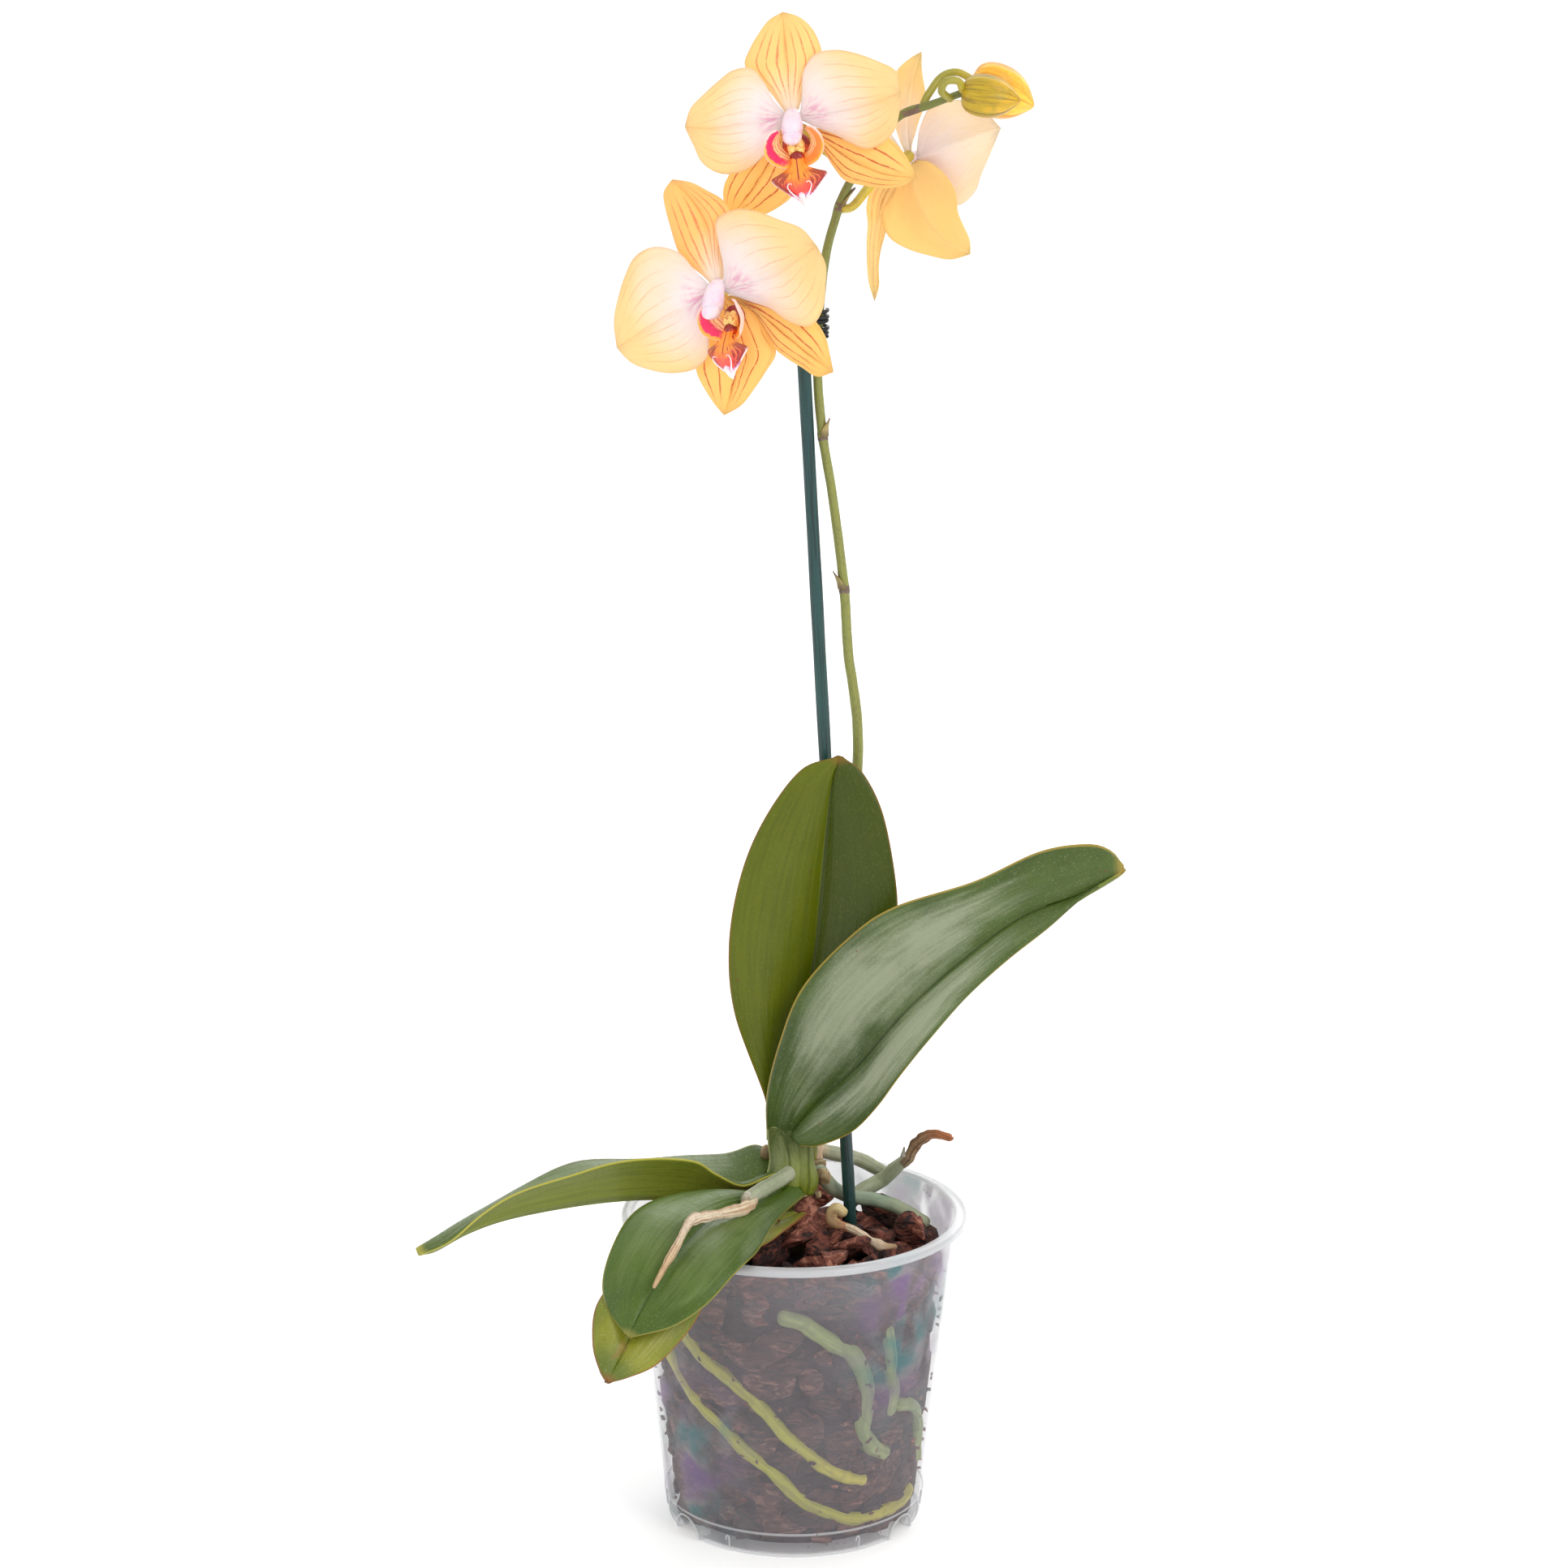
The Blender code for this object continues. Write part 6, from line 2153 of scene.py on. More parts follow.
def buds() -> list[Bud]:
    """The younger bud in front and the older one behind it.

    Returns:
        The buds.
    """
    young = SpeckledFinish(
        "bud_young_skin", linear(222, 174, 20), linear(190, 158, 14), linear(124, 100, 6), 0.1, 420.0,
        0.38, 3.6,
    )
    old = SpeckledFinish(
        "bud_old_skin", linear(252, 204, 60), linear(246, 184, 30), linear(206, 124, 14), 0.1, 420.0,
        0.38, 3.6,
    )
    return [
        Bud(
            "bud_younger", Slot.YOUNG_BUD, (0.0645, 0.02, 0.3965), (1.0, -0.15, -0.12), 0.0185, 0.0069,
            [(0.0515, 0.0235, 0.3955), (0.0485, 0.018, 0.3985), (0.05, 0.0155, 0.402),
             (0.054, 0.017, 0.4018), (0.0556, 0.0198, 0.3986)],
            young,
        ),
        Bud(
            "bud_older", Slot.OLD_BUD, (0.069, 0.035, 0.3962), (1.0, 0.1, -0.42), 0.0215, 0.0088,
            [(0.043, 0.0296, 0.3932), (0.0445, 0.031, 0.396), (0.049, 0.034, 0.4015),
             (0.054, 0.035, 0.403), (0.059, 0.0348, 0.4008)],
            old,
        ),
    ]


# ---------------------------------------------------------------- flowers


@dataclass
class Tepal:
    """One petal or sepal, drawn between two margins and a midrib in its flower's frame, in millimetres.

    X is right, Y up and Z out of the flower's face. Each rail is (x, y); depth comes from the curve below.
    """

    part: str
    left: Sequence[tuple[float, float]]
    middle: Sequence[tuple[float, float]]
    right: Sequence[tuple[float, float]]
    layer: float
    lean: float = 0.0
    stations: int = 44
    columns: int = 31
    thickness: float = 0.0007
    rim: float = 0.00022

    def rail(self, points: Sequence[tuple[float, float]], side: int) -> np.ndarray:
        """One rail in metres with its depth; side is -1 left, 0 midrib and 1 right.

        Args:
            points: The rail as (x, y) in millimetres.
            side: Which rail it is.

        Returns:
            The rail.
        """
        run = np.linspace(0, 1, self.stations)
        line = smooth_path(points, self.stations)
        petal = self.part.endswith("petal")
        rise, cup = (3.0, 0.8) if petal else (-3.0, -1.2)
        depth = self.layer + rise * run**2 + (cup * abs(side) - self.lean * side) * np.sin(run * math.pi)
        return np.column_stack([line, depth]) * MM

    def skin(self, finish: bpy.types.Material, chance: float) -> Skin:
        """The ruffled blade.

        Args:
            finish: Its material.
            chance: A number from 0 to 1 that sets its ruffles and veins apart from the others'.

        Returns:
            The skin, in the flower's frame.
        """
        left, middle, right = (
            self.rail(self.left, -1), self.rail(self.middle, 0), self.rail(self.right, 1)
        )
        run = np.linspace(0, 1, self.stations)
        half = np.linalg.norm(right - left, axis=1) / 2
        petal = self.part.endswith("petal")
        rows = []
        for across in np.linspace(-1, 1, self.columns):
            wide = abs(across)
            margin = left if across < 0 else right
            groove = -0.0007 * math.exp(-((across / 0.08) ** 2)) * np.sin(run * math.pi)
            bulge = (0.10 if petal else 0.16) * 4 * wide * (1 - wide) * half
            phase = chance * 20 + across * 1.7
            ripple = (
                0.0011 * wide ** 2.2 * np.sin(run * (15 if petal else 10) + phase) * np.sin(run * math.pi)
            )
            swell = 0.0011 * wide * np.sin(run * 5.2 + phase * 1.3) * np.sin(run * math.pi)
            line = middle + (margin - middle) * wide
            line[:, 2] += groove + bulge + (ripple + swell if petal else ripple * 0.6)
            rows.append(line)
        grid = np.stack(rows, axis=1)
        across = np.linspace(-1, 1, self.columns)[None, :]
        body = self.thickness * (1 - across**2) * (1 - 0.45 * run[:, None])
        midrib = 0.0005 * np.exp(-((across / 0.08) ** 2)) * (1 - run[:, None])
        return sheet(grid, self.rim + body + midrib, finish, chance)


@dataclass
class Lip:
    """The lip: upright side lobes, a callus, an arrow-shaped middle lobe and two fine tendrils."""

    turn: float = 0.0
    yaw: float = 0.0
    shift: tuple[float, float] = (0.0, 0.0)
    ear_stations: int = 40
    ear_columns: int = 19
    blade_stations: int = 50
    blade_columns: int = 29

    def ear(self, side: int, finish: bpy.types.Material) -> Skin:
        """One side lobe, from its outer margin to the throat.

        Args:
            side: -1 for the left one and 1 for the right one.
            finish: Its material.

        Returns:
            The lobe.
        """
        margin = [
            (-1.2, -11.8, 6.6), (-4.2, -11.8, 8.6), (-7.6, -10.2, 10.6), (-9.8, -6.8, 12.0),
            (-9.6, -2.8, 12.2), (-7.4, 0.2, 11.6), (-5.2, 1.0, 10.2),
        ]
        middle = [
            (-1.0, -10.2, 5.4), (-3.6, -9.9, 6.0), (-6.2, -8.2, 7.6), (-7.9, -5.6, 9.2),
            (-7.8, -2.8, 9.8), (-6.4, -0.6, 9.6), (-4.9, 0.6, 8.8),
        ]
        throat = [
            (-0.6, -7.4, 4.6), (-2.4, -7.2, 4.2), (-4.2, -5.8, 4.6), (-5.2, -4.0, 5.6), (-5.2, -2.2, 6.6),
            (-4.6, -0.8, 7.2), (-4.2, 0.2, 7.4),
        ]
        count, columns = self.ear_stations, self.ear_columns
        rails = [
            smooth_path([(x * -side, y, z) for x, y, z in rail], count) * MM
            for rail in (margin, middle, throat)
        ]
        share = np.linspace(0, 1, columns)
        rows = [rails[0] * (1 - s) ** 2 + rails[1] * 2 * s * (1 - s) + rails[2] * s**2 for s in share]
        grid = np.stack(rows, axis=1)
        grid[:, :, 2] += 0.0003 * np.sin(np.linspace(0, 19, count))[:, None] * (1 - share)[None, :] ** 2
        thick = 0.0004 + 0.0005 * np.sin(share * math.pi)[None, :].repeat(count, 0)
        skin = sheet(grid, thick, finish, 0.3 + 0.2 * side)
        if side > 0:
            skin.place[:, 2] = 1 - skin.place[:, 2]
        return skin

    def blade(self, finish: bpy.types.Material) -> Skin:
        """The arrow-shaped middle lobe.

        Args:
            finish: Its material.

        Returns:
            The lobe.
        """
        spine = (
            smooth_path(
                [(0, -7.5, 6.6), (0, -11, 9.0), (0, -15.5, 11), (0, -19.4, 10.6), (0, -24, 8.4)],
                self.blade_stations,
            )
            * MM
        )
        halves = (
            np.interp(
                np.linspace(0, 1, self.blade_stations),
                (0, 0.16, 0.27, 0.38, 0.5, 0.6, 0.66, 0.76, 0.86, 0.93, 1),
                (1.8, 1.9, 2.1, 3.6, 6.4, 9.2, 9.4, 6.8, 4.2, 1.8, 0.4),
            )
            * MM
        )
        rows = []
        for place, half in zip(spine, halves):
            across = np.linspace(-1, 1, self.blade_columns)
            row = place + np.outer(half * across, (1, 0, 0))
            row[:, 1] += half * 0.28 * np.abs(across) ** 1.5
            row[:, 2] += -0.18 * half * across**2 + 0.0004 * np.sin(across * 7) * np.abs(across)
            rows.append(row)
        grid = np.stack(rows)[:, ::-1]
        thick = (
            0.0005
            + 0.0008 * (
                1 - np.linspace(-1, 1, self.blade_columns) ** 2
            )[None, :].repeat(self.blade_stations, 0)
        )
        return sheet(grid, thick, finish)

    def skins(self) -> list[Skin]:
        """Every part of the lip in its flower's frame, in metres.

        Returns:
            One skin to a part.
        """
        blade = BladeFinish("lip_blade").material()
        left_ear = EarFinish("lip_ear_left").material()
        right_ear = EarFinish("lip_ear_right", flush=linear(248, 132, 62)).material()
        callus = SpeckledFinish(
            "lip_callus", linear(255, 220, 130), linear(255, 206, 120), linear(190, 70, 20), 0.7, 1500.0
        ).material()
        deep = SpeckledFinish(
            "lip_throat", linear(214, 84, 40), linear(150, 30, 20), linear(120, 14, 10), 0.9, 1300.0
        ).material()
        pale = SpeckledFinish(
            "lip_tendril", linear(246, 226, 232), linear(250, 236, 240), linear(226, 170, 206), 0.3
        ).material()
        dice = random.Random(8)
        made = [self.ear(-1, left_ear), self.ear(1, right_ear), self.blade(blade)]
        for place, radii, finish in (
            ((-1.3, -5.4, 6.2), (1.7, 2.9, 1.9), callus), ((1.3, -5.4, 6.2), (1.7, 2.9, 1.9), callus),
            ((0.0, -8.6, 7.0), (2.5, 2.0, 1.9), deep), ((0.0, -10.6, 7.9), (1.6, 2.0, 1.0), deep),
            ((0.0, -4.5, 4.4), (4.6, 3.9, 1.9), deep),
        ):
            skin = lump([radius * MM for radius in radii], finish, 0, dice, 0.10)
            made.append(skin.moved(Matrix.Translation(Vector(place) * MM)))
        for side in (-1, 1):
            curl = [
                (0.7, -22.6, 9.3), (2.0, -21.4, 10.6), (3.4, -19.6, 11.8), (4.0, -18.0, 12.6),
                (3.4, -17.0, 12.9), (2.4, -17.2, 12.8),
            ]
            path = smooth_path([(x * side, y, z) for x, y, z in curl], 40) * MM
            made.append(round_bar(path, spread((0.5, 0.26, 0.17, 0.12), 40) * MM, pale, 8, 0.1, 0.002))
        tip = [(0, -21.4, 10.0), (0, -23.2, 9.2), (0, -24.6, 8.0)]
        made.append(
            round_bar(
                smooth_path(tip, 14) * MM, spread((1.9, 1.2, 0.4), 14) * MM, pale, 14, 0.15, 0.002,
                (0.4, 0.5),
            )
        )
        place = Matrix.Translation(Vector((*self.shift, 0.0)) * MM)
        move = place @ spin("Z", self.turn) @ spin("Y", self.yaw)
        return [skin.moved(move) for skin in made]


@dataclass
class Flower:
    """One open flower: three sepals, two petals, the column, the lip and the stalk behind them."""

    name: str
    centre: Point
    pose: tuple[float, float, float]
    tepals: Sequence[Tepal]
    finishes: dict[str, PetalFinish]
    lip: Lip
    column: Sequence[Point]
    stalk: Sequence[Point]
    stalk_radius: float = 0.0016

    def frame(self) -> Matrix:
        """The move from the flower's frame to the plant's.

        Returns:
            The move.
        """
        turn, nod, roll = [math.radians(angle) for angle in self.pose]
        face = Matrix.Rotation(turn, 4, "Z") @ Matrix.Rotation(math.radians(90) + nod, 4, "X")
        return Matrix.Translation(Vector(self.centre) * MM) @ face @ Matrix.Rotation(-roll, 4, "Z")

    def column_skins(self) -> list[Skin]:
        """The column with its hooded cap, in the flower's frame.

        Returns:
            One skin to a part.
        """
        white = SpeckledFinish(
            "column_flesh", linear(236, 220, 226), linear(234, 212, 224), linear(214, 176, 208), 0.35,
            300.0,
        ).material()
        path = smooth_path(self.column, 30) * MM
        made = [round_bar(path, spread((2.4, 2.8, 3.2, 3.6, 3.6, 2.8), 30) * MM, white, 24, 0.06, 0.004)]
        dice = random.Random(6)
        cap = lump((0.0033, 0.0027, 0.0024), white, 0, dice, 0.06)
        made.append(cap.moved(Matrix.Translation(Vector(path[-1]) + Vector((0, 0.0004, 0.0008)))))
        for side in (-1, 1):
            wing = [
                path[-8] + (0.002 * side, 0, 0), path[-3] + (0.0026 * side, 0, -0.0004),
                path[-1] + (0.0017 * side, -0.0012, 0),
            ]
            made.append(round_bar(smooth_path(wing, 12), np.full(12, 0.0006), white, 8))
        return made

    def build(self, lift: float, stalk_finish: bpy.types.Material) -> None:
        """Makes the flower's pieces and settles them.

        Args:
            lift: The bark's height above the floor.
            stalk_finish: The stalk's material.
        """
        move = self.frame()
        dice = random.Random(len(self.name) * 7 + 1)
        for tepal in self.tepals:
            finish = self.finishes.get(tepal.part, self.finishes[tepal.part.split("_")[1]])
            skin = tepal.skin(finish.material(), dice.random()).moved(move)
            slot = Slot.PETAL if tepal.part.endswith("petal") else Slot.SEPAL
            node = f"{self.name}_{tepal.part}"
            settle(make_piece(node + "_blade", [skin], lift), slot, node)
        column = [skin.moved(move) for skin in self.column_skins()]
        settle(make_piece(self.name + "_column_body", column, lift), Slot.COLUMN, self.name + "_column")
        lip = [skin.moved(move) for skin in self.lip.skins()]
        settle(make_piece(self.name + "_lip_body", lip, lift), Slot.LIP, self.name + "_lip")
        behind = move @ Vector((0.0, 0.001, -0.0065))
        back = move @ Vector((0.0, 0.002, -0.0004))
        path = smooth_path([*[Vector(point) * MM for point in self.stalk], behind, back], 60)
        radii = spread((0.9, 0.95, 1.0, 1.0, 1.05, 1.15, 1.4), 60) * self.stalk_radius
        stalk = round_bar(path, radii, stalk_finish, 16, 0.05, 0.004)
        settle(make_piece(self.name + "_stalk", [stalk], lift), Slot.STALK, self.name + "_pedicel")


def top_tepals() -> list[Tepal]:
    """The sepals and petals of the upper flower.

    Returns:
        The five of them.
    """
    return [
        Tepal(
            "dorsal_sepal",
            [(-2, 5.1), (-4.6, 10.2), (-7.4, 15.1), (-11.3, 19.3), (-13.8, 24.2), (-11.3, 29),
             (-7.7, 33.3), (-3.6, 37.1), (1.4, 39.1)],
            [(-0.5, 4.4), (-0.3, 13.1), (0.1, 21.8), (0.6, 30.4), (1.4, 39.1)],
            [(1, 4.7), (3.2, 9.5), (5.9, 14.1), (9.4, 18.1), (12.1, 22.7), (11.8, 27.9), (9.8, 32.8),
             (6.3, 36.7), (1.4, 39.1)],
            layer=0.0,
        ),
        Tepal(
            "left_petal",
            [(-2.7, 4.6), (-6.2, -0.8), (-10.5, -5.4), (-15.7, -9.1), (-21.9, -10.7), (-27.7, -9.5),
             (-32.4, -5.2), (-34.2, 0.9), (-35.9, 7.1)],
            [(-1.5, 5.1), (-10.3, 4.5), (-19, 4.5), (-27.6, 4.9), (-35.9, 7.1)],
            [(-2.2, 5.8), (-5.6, 11.2), (-7.7, 17.1), (-10.9, 22.3), (-17, 22.7), (-22.7, 20),
             (-28.1, 16.5), (-33.1, 12.6), (-35.9, 7.1)],
            layer=1.6,
        ),
        Tepal(
            "right_petal",
            [(2.6, 5), (4.1, 11.9), (5.9, 18.8), (10.6, 23.7), (17.8, 23.8), (24.6, 21.5), (31, 17.9),
             (36.5, 13.6), (36.8, 6.6)],
            [(1.5, 4.3), (10.3, 3.8), (19.2, 4.2), (28.1, 5.1), (36.8, 6.6)],
            [(2.7, 3), (7.7, -0.3), (12.9, -3.4), (17.8, -7), (23.1, -9.7), (28.7, -8.3), (33.3, -4.6),
             (35.6, 0.8), (36.8, 6.6)],
            layer=1.6,
        ),
        Tepal(
            "left_sepal",
            [(-0.8, 1.6), (-0.6, -4.1), (-1, -10), (-2.2, -15.7), (-5, -20.7), (-10, -23.7),
             (-15.7, -25.6), (-21.6, -26.1), (-27.2, -24.6)],
            [(-1.8, 2.4), (-7.5, -4.9), (-13.4, -12), (-19.8, -18.8), (-27.2, -24.6)],
            [(-2.6, 2.8), (-6.9, -0), (-11.5, -2.4), (-16.1, -4.8), (-20.7, -7.4), (-24.7, -10.5),
             (-27.6, -14.7), (-28.3, -19.7), (-27.2, -24.6)],
            layer=-1.5,
        ),
        Tepal(
            "right_sepal",
            [(1.3, 2.7), (6.4, -0.1), (12.1, -1.7), (17.8, -3.1), (23.5, -4.5), (29.1, -6.4),
             (32.8, -10.8), (35.4, -16.1), (36.9, -21.7)],
            [(0.9, 1.9), (9.1, -5.4), (17.2, -12.8), (26.4, -18.6), (36.9, -21.7)],
            [(0.2, 1.2), (5.2, -2.2), (7.9, -7.7), (10.2, -13.5), (13.3, -18.7), (18.9, -21.2),
             (24.9, -23.1), (31.1, -23.5), (36.9, -21.7)],
            layer=0.0,
        ),
    ]


def low_tepals() -> list[Tepal]:
    """The sepals and petals of the lower flower.

    Returns:
        The five of them.
    """
    return [
        Tepal(
            "dorsal_sepal",
            [(-0.2, 2.4), (-2.4, 7.6), (-5.2, 12.5), (-7.4, 17.7), (-7.7, 23.1), (-7.3, 28.5),
             (-6.5, 33.8), (-4.9, 38.8), (-0.7, 41.6)],
            [(0.8, 2), (3.4, 11.7), (5.2, 21.6), (3.7, 31.8), (-0.7, 41.6)],
            [(2.1, 1.4), (5.1, 6.7), (7.2, 12.5), (10.5, 17.7), (14.4, 22.2), (13.4, 28), (9.3, 33.2),
             (5, 38), (-0.7, 41.6)],
            layer=0.0,
        ),
        Tepal(
            "left_petal",
            [(-1.6, 1), (-5.9, -4.5), (-7.1, -11.3), (-10.5, -17.4), (-16.9, -19.7), (-24.1, -18),
             (-30.4, -14.3), (-35.7, -9.4), (-38.3, -2.8)],
            [(-0.2, 1.8), (-9.8, 0.1), (-19.4, -0.7), (-28.9, -1.6), (-38.3, -2.8)],
            [(-0.4, 2.9), (-3.7, 10.3), (-6.5, 17.8), (-12.7, 22.5), (-20.5, 22.2), (-27.1, 17.7),
             (-32.1, 11.5), (-36.2, 4.8), (-38.3, -2.8)],
            layer=1.6,
        ),
        Tepal(
            "right_petal",
            [(3.2, 0.9), (6.2, 8), (7.9, 15.4), (10, 22.4), (17.9, 22.6), (25.1, 18.8), (31, 13.1),
             (36.8, 7.5), (39.5, 0.2)],
            [(3.1, -0), (12.2, -1.4), (21.3, -2.1), (30.4, -1.1), (39.5, 0.2)],
            [(4, -1.3), (9.8, -6.6), (15.6, -11.8), (20, -18.1), (26.1, -22.6), (32.4, -19.3),
             (36.7, -13.5), (39.9, -7), (39.5, 0.2)],
            layer=1.6,
        ),
        Tepal(
            "left_sepal",
            [(1.4, -0.6), (6.8, -5.3), (9.5, -11.3), (9.7, -18.2), (10, -25.1), (4.4, -29.3),
             (-1.6, -33.1), (-8, -36.4), (-15.2, -37.1)],
            [(-0.1, -0.6), (0, -11), (-1.7, -21), (-7.7, -29.5), (-15.2, -37.1)],
            [(-1, -0.5), (-5.2, -4.1), (-9.7, -7.5), (-13.4, -11.6), (-16.6, -16), (-18.2, -21.1),
             (-18, -26.5), (-17, -31.9), (-15.2, -37.1)],
            layer=-1.5,
        ),
        Tepal(
            "right_sepal",
            [(3.8, -1.9), (8.9, -5.5), (14.4, -8.5), (19.5, -12.1), (24.2, -16.2), (27.3, -21.2),
             (28.3, -27.2), (27.3, -33.1), (26.2, -39)],
            [(3.5, -2.5), (10.5, -11), (15.7, -20.5), (20.7, -30), (26.2, -39)],
            [(2.7, -2.8), (7.5, -6.5), (9.6, -11.8), (10.1, -17.7), (10.5, -23.6), (13.2, -28.6),
             (16.9, -33.4), (20.5, -38.2), (26.2, -39)],
            layer=0.0,
        ),
    ]


def rear_tepals() -> list[Tepal]:
    """The sepals and petals of the flower that faces away.

    Returns:
        The five of them.
    """
    return [
        Tepal(
            "dorsal_sepal",
            [(-1.2, 0.9), (-1.4, 5.6), (-3.9, 10.3), (-5.9, 15), (-8, 19.8), (-8.9, 24.5), (-8.8, 29.2),
             (-8.6, 33.8), (-8.8, 38.5)],
            [(-0.6, 0.9), (0.5, 10.2), (-0.9, 19.7), (-3.6, 29.2), (-8.8, 38.5)],
            [(0.1, 0.8), (2.7, 5.5), (4.6, 10.3), (5.6, 15.5), (5.5, 20.8), (4.5, 26.2), (2.1, 31.4),
             (-2.9, 35.5), (-8.8, 38.5)],
            layer=0.0,
        ),
        Tepal(
            "left_petal",
            [(-3.3, -1), (-7.9, -5.4), (-12.4, -9.8), (-17.5, -13.7), (-23.1, -9.6), (-27, -4.1),
             (-30.1, 1.6), (-32.3, 7.6), (-35.1, 13.4)],
            [(-1.5, 0.7), (-10.1, 4.7), (-18.5, 8.2), (-27, 11), (-35.1, 13.4)],
            [(-1.6, 1.3), (-2.7, 7.1), (-3.4, 12.8), (-6.2, 18), (-12.2, 20.8), (-19, 21.7), (-25.3, 20),
             (-30.9, 17.3), (-35.1, 13.4)],
            layer=1.6,
        ),
        Tepal(
            "right_petal",
            [(1.9, 0.8), (5.1, 4.6), (8.8, 8.2), (12.8, 11.5), (18, 13.9), (23.8, 15), (29.8, 13.8),
             (34.7, 10.3), (37.2, 5.4)],
            [(2, -0.2), (10.4, 1.1), (19.3, 2), (28.1, 3.7), (37.2, 5.4)],
            [(2, -1.1), (7.3, -3.6), (13, -5.6), (18.7, -7.2), (24.5, -6.9), (29.7, -5.5), (34, -2.8),
             (35.8, 1.2), (37.2, 5.4)],
            layer=1.6,
        ),
        Tepal(
            "left_sepal",
            [(0, -0.7), (6.9, -5.9), (12.3, -11.6), (11.6, -19), (8.1, -25.7), (0.6, -29.2),
             (-8.4, -30.8), (-17.6, -31.2), (-26.4, -28.6)],
            [(-1.6, 0.1), (-2.4, -9.6), (-7.1, -18.2), (-15.4, -24.8), (-26.4, -28.6)],
            [(-2.7, 0.9), (-8.7, 1), (-13.9, -1.6), (-17.8, -5.4), (-20.4, -9.7), (-21.5, -14.6),
             (-23.8, -19.1), (-26, -23.6), (-26.4, -28.6)],
            layer=0.0,
        ),
        Tepal(
            "right_sepal",
            [(-0.3, -1.6), (4.5, -7.5), (8.9, -13.4), (11.8, -19.5), (12.6, -25.6), (13.7, -31.6),
             (13.8, -37.4), (12.9, -43.1), (13.6, -48.2)],
            [(0.2, -1.1), (9, -11.9), (13.6, -23.8), (14.5, -36.1), (13.6, -48.2)],
            [(0.8, -0.7), (6, -4.5), (11.5, -8.2), (12.8, -14.1), (11.9, -20.5), (13.2, -27.4),
             (14.2, -34.4), (14.5, -41.4), (13.6, -48.2)],
            layer=-1.5, lean=5.0,
        ),
    ]


def stalk_finish(name: str, near: Colour, far: Colour) -> bpy.types.Material:
    """The smooth skin of a flower's stalk, from one colour to another."""
    dark = linear(120, 116, 60)
    return BarFinish(name, near, near, far, dark, 0.25, 8.0, 0.2, 500.0, 0.42, 0.0001).material()


def petal_finishes(
    name: str, petal: Colour, sepal: Colour, dorsal: Colour, stripes: float = 0.95
) -> dict[str, PetalFinish]:
    """A flower's finishes, by part or by kind of part.

    Args:
        name: The flower's name.
        petal: The petals' margin colour.
        sepal: The lower sepals' colour.
        dorsal: The upper sepal's colour.
        stripes: How strong the lower sepals' stripes are.

    Returns:
        The finishes.
    """
    pale, back = linear(252, 240, 228), linear(255, 230, 160)
    heart = linear(242, 232, 232)
    red, dark_red = linear(236, 128, 92), linear(196, 74, 50)
    return {
        "petal": PetalFinish(
            name + "_petal_skin", petal, heart, linear(254, 242, 222), vein=linear(240, 164, 120),
            veins=5, vein_width=0.00032, vein_strength=0.5, vein_from=0.3, vein_to=0.84, heart_reach=0.66,
            blush_strength=0.75,
        ),
        "dorsal_sepal": PetalFinish(
            name + "_dorsal_skin", dorsal, pale, back, vein=red, veins=4, vein_width=0.00042,
            vein_from=0.1, vein_to=0.86, vein_strength=0.9, heart_reach=0.36, blush_strength=0.1,
        ),
        "sepal": PetalFinish(
            name + "_sepal_skin", sepal, sepal, back, vein=dark_red, veins=3, vein_width=0.00042,
            vein_from=0.0, vein_to=0.92, vein_strength=stripes, heart_reach=0.1, blush_strength=0.0,
        ),
    }


def flowers() -> list[Flower]:
    """The three open flowers, top one first.

    Returns:
        The flowers.
    """
    upper = petal_finishes("top", linear(250, 216, 158), linear(254, 214, 132), linear(254, 218, 146))
    lower = petal_finishes("low", linear(250, 217, 158), linear(254, 212, 128), linear(254, 206, 128))
    rear = petal_finishes(
        "rear", linear(252, 232, 194), linear(255, 226, 156), linear(254, 234, 196), 0.3
    )
    return [
        Flower(
            "flower_top", (0.5, 20, 385.3), (-8, -6, -10), top_tepals(), upper, Lip(),
            [(-0.2, 5.4, 0.6), (-0.2, 4.2, 3.6), (-0.3, 1.2, 6.2), (-0.5, -2.4, 7.6)],
            [(21, 32.6, 370.6), (15, 33, 374), (7, 29, 380)],
        ),
        Flower(
            "flower_low", (-25.5, 8, 332.6), (-19, -8, -26), low_tepals(), lower,
            Lip(-17.0, -25.0, (7.0, -5.9)),
            [(1.5, 2.6, 0.6), (1.2, 1.2, 3.6), (0.0, -2.0, 6.2), (-1.6, -5.8, 7.8)],
            [(9, 34, 328.6), (4, 31.5, 330), (-8, 24, 338)],
        ),
        Flower(
            "flower_rear", (39, 51, 371), (142, -4, 0), rear_tepals(), rear, Lip(),
            [(0, 1.5, 0.5), (0, 0.5, 4), (0, -3, 6.5), (0, -6.2, 7.5)],
            [(16.4, 33.3, 357.6), (20, 35, 358.6), (27, 42, 366)],
        ),
    ]


# ---------------------------------------------------------------- studio


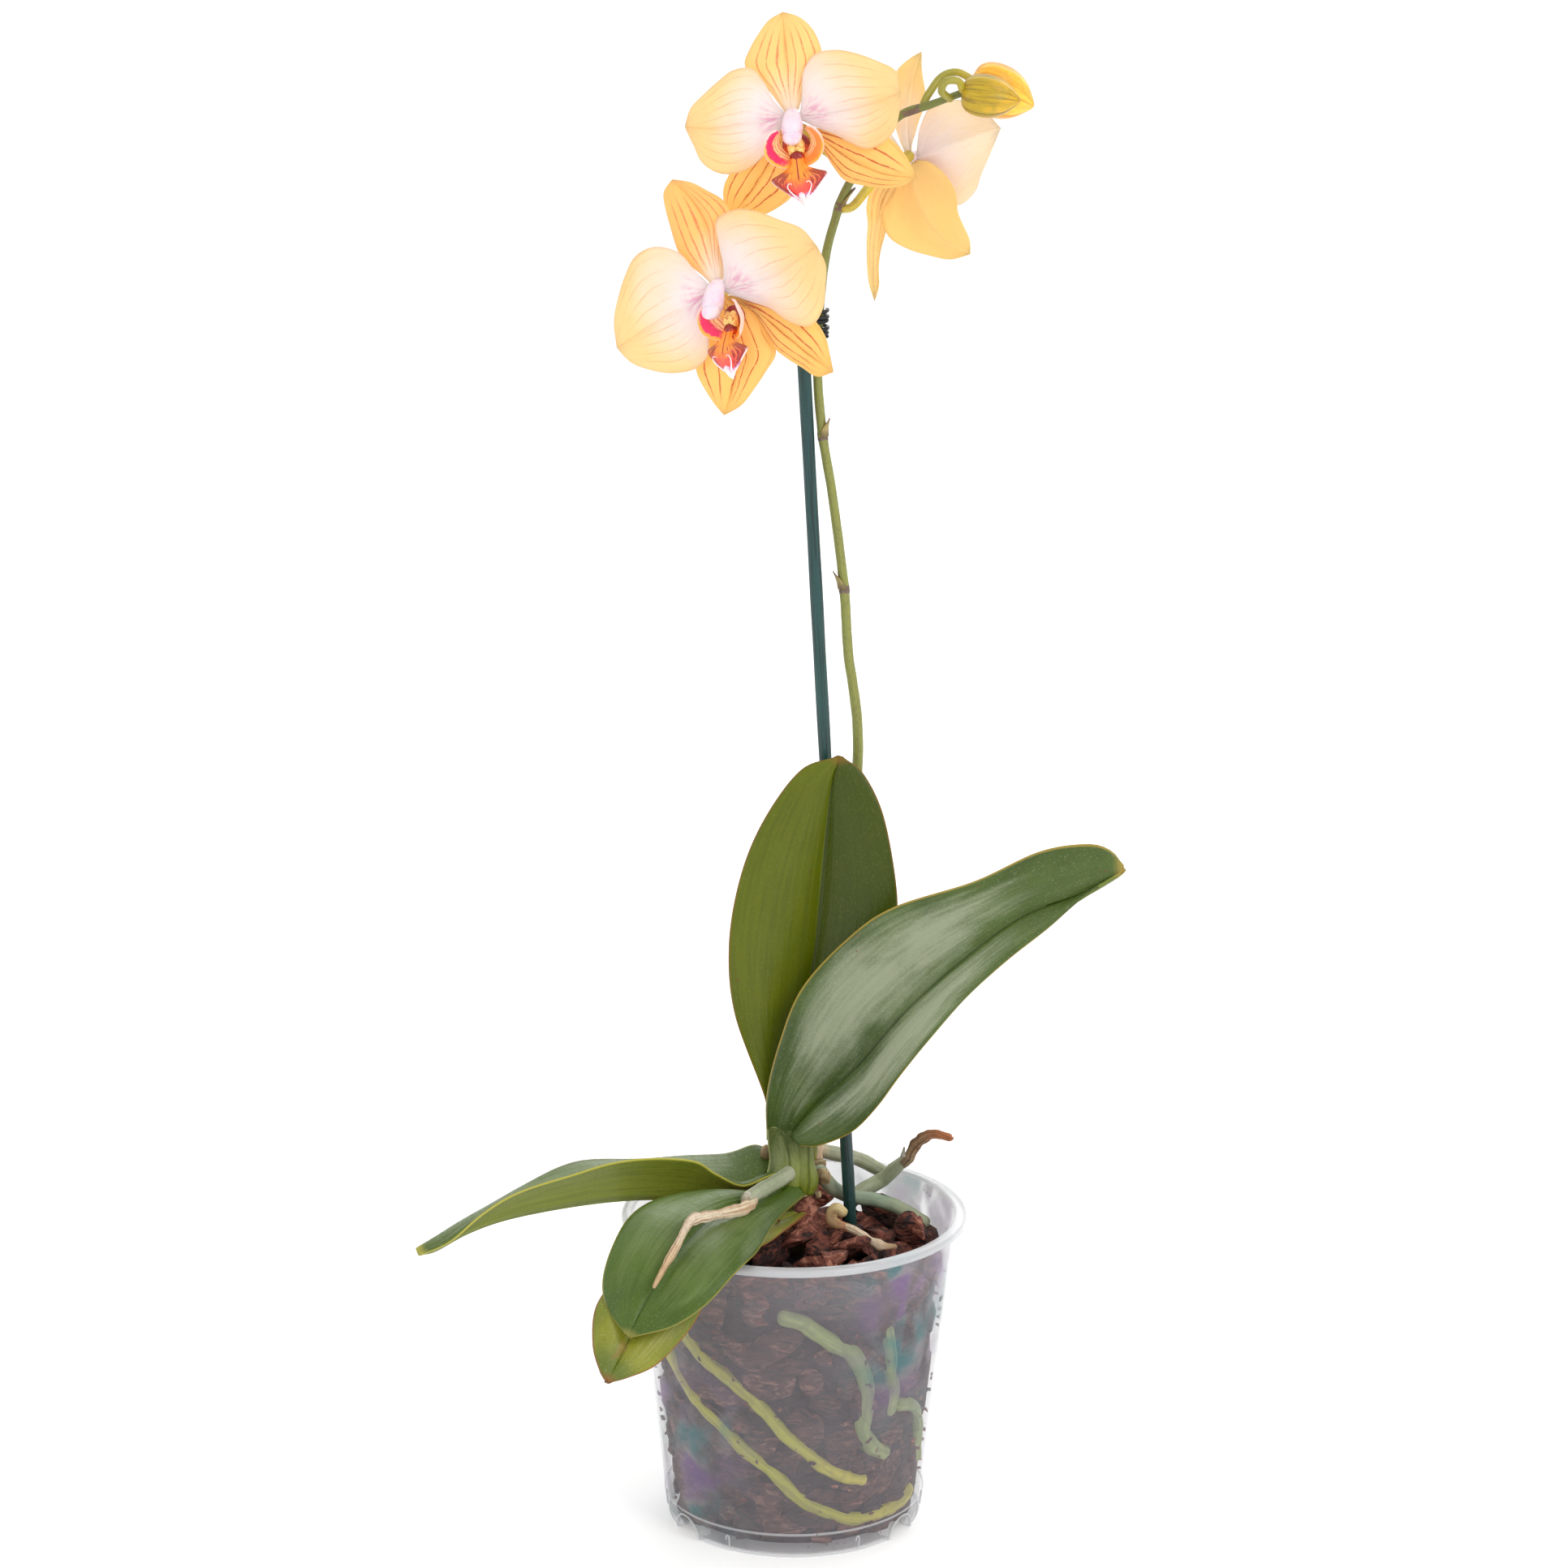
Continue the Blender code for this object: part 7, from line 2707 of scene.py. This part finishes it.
@dataclass
class Studio:
    """A white sweep of floor under soft daylight, and the camera."""

    floor_size: float = 40.0
    eye: Point = (-0.0035, -1.5, 0.656)
    look_down: float = 14.65
    lens: float = 105.0

    def floor(self) -> None:
        """A plain white floor that fills the picture."""
        mesh = bpy.data.meshes.new("floor")
        half = self.floor_size / 2
        mesh.from_pydata(
            [(-half, -half, 0), (half, -half, 0), (half, half, 0), (-half, half, 0)], [], [(0, 1, 2, 3)]
        )
        paint = Paint("floor_white")
        white = paint.finish(
            Base_Color=(0.9, 0.9, 0.9), Roughness=0.9, Specular_IOR_Level=0.1,
            Emission_Color=(1.0, 1.0, 1.0), Emission_Strength=0.2,
        )
        mesh.materials.append(white)
        plane = bpy.data.objects.new("floor", mesh)
        bpy.context.scene.collection.objects.link(plane)

    def lamp(self, name: str, place: Point, size: float, power: float) -> None:
        """One square soft lamp that looks at the middle of the plant.

        Args:
            name: Its name.
            place: Where it hangs.
            size: How long its side is.
            power: Its power in watts.
        """
        light = bpy.data.lights.new(name, "AREA")
        light.shape, light.size, light.energy = "SQUARE", size, power
        lamp = bpy.data.objects.new(name, light)
        lamp.location = place
        lamp.rotation_euler = (Vector((0, 0, 0.25)) - Vector(place)).to_track_quat("-Z", "Y").to_euler()
        bpy.context.scene.collection.objects.link(lamp)

    def build(self) -> None:
        """Makes the floor, the lights and the camera."""
        scene = bpy.context.scene
        world = bpy.data.worlds.new("daylight")
        world.use_nodes = True
        world.node_tree.nodes["Background"].inputs["Color"].default_value = (1.0, 1.0, 1.0, 1.0)
        world.node_tree.nodes["Background"].inputs["Strength"].default_value = 0.95
        scene.world = world
        scene.view_settings.view_transform = "Standard"
        self.floor()
        self.lamp("key_lamp", (1.3, -1.4, 1.7), 0.9, 16.0)
        self.lamp("fill_lamp", (-1.7, -0.8, 1.2), 1.6, 6.0)
        self.lamp("rear_lamp", (0.4, 1.6, 1.4), 1.6, 12.0)
        camera = bpy.data.cameras.new("camera")
        camera.lens, camera.sensor_width = self.lens, 36.0
        eye = bpy.data.objects.new("camera", camera)
        eye.location = self.eye
        eye.rotation_euler = (math.radians(90 - self.look_down), 0.0, 0.0)
        scene.collection.objects.link(eye)
        scene.camera = eye


def main() -> None:
    """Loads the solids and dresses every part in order."""
    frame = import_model()
    pot = Pot()
    top = pot.height - BARK_BELOW_RIM
    pot.build()
    Bark(pot, top, sorted(node for node in frame["nodes"] if node.startswith("bark_chip"))).build()
    WallRoots(pot, top).build()
    stake, spike = Stake(), Spike()
    stake.build(top)
    spike.build(top)
    Tie(stake, spike).build(top)
    Crown().build(top)
    AerialRoots().build(top)
    for leaf in leaves():
        leaf.build(top)
    green = stalk_finish("pedicel_skin", linear(206, 184, 66), linear(214, 190, 74))
    for flower in flowers():
        flower.build(top, green)
    bud_green = stalk_finish("bud_stalk_skin", linear(156, 148, 50), linear(190, 170, 50))
    for bud in buds():
        bud.build(top, bud_green)
    Studio().build()


if __name__ == "__main__":
    logging.basicConfig(level=logging.INFO, format="%(message)s")
    main()
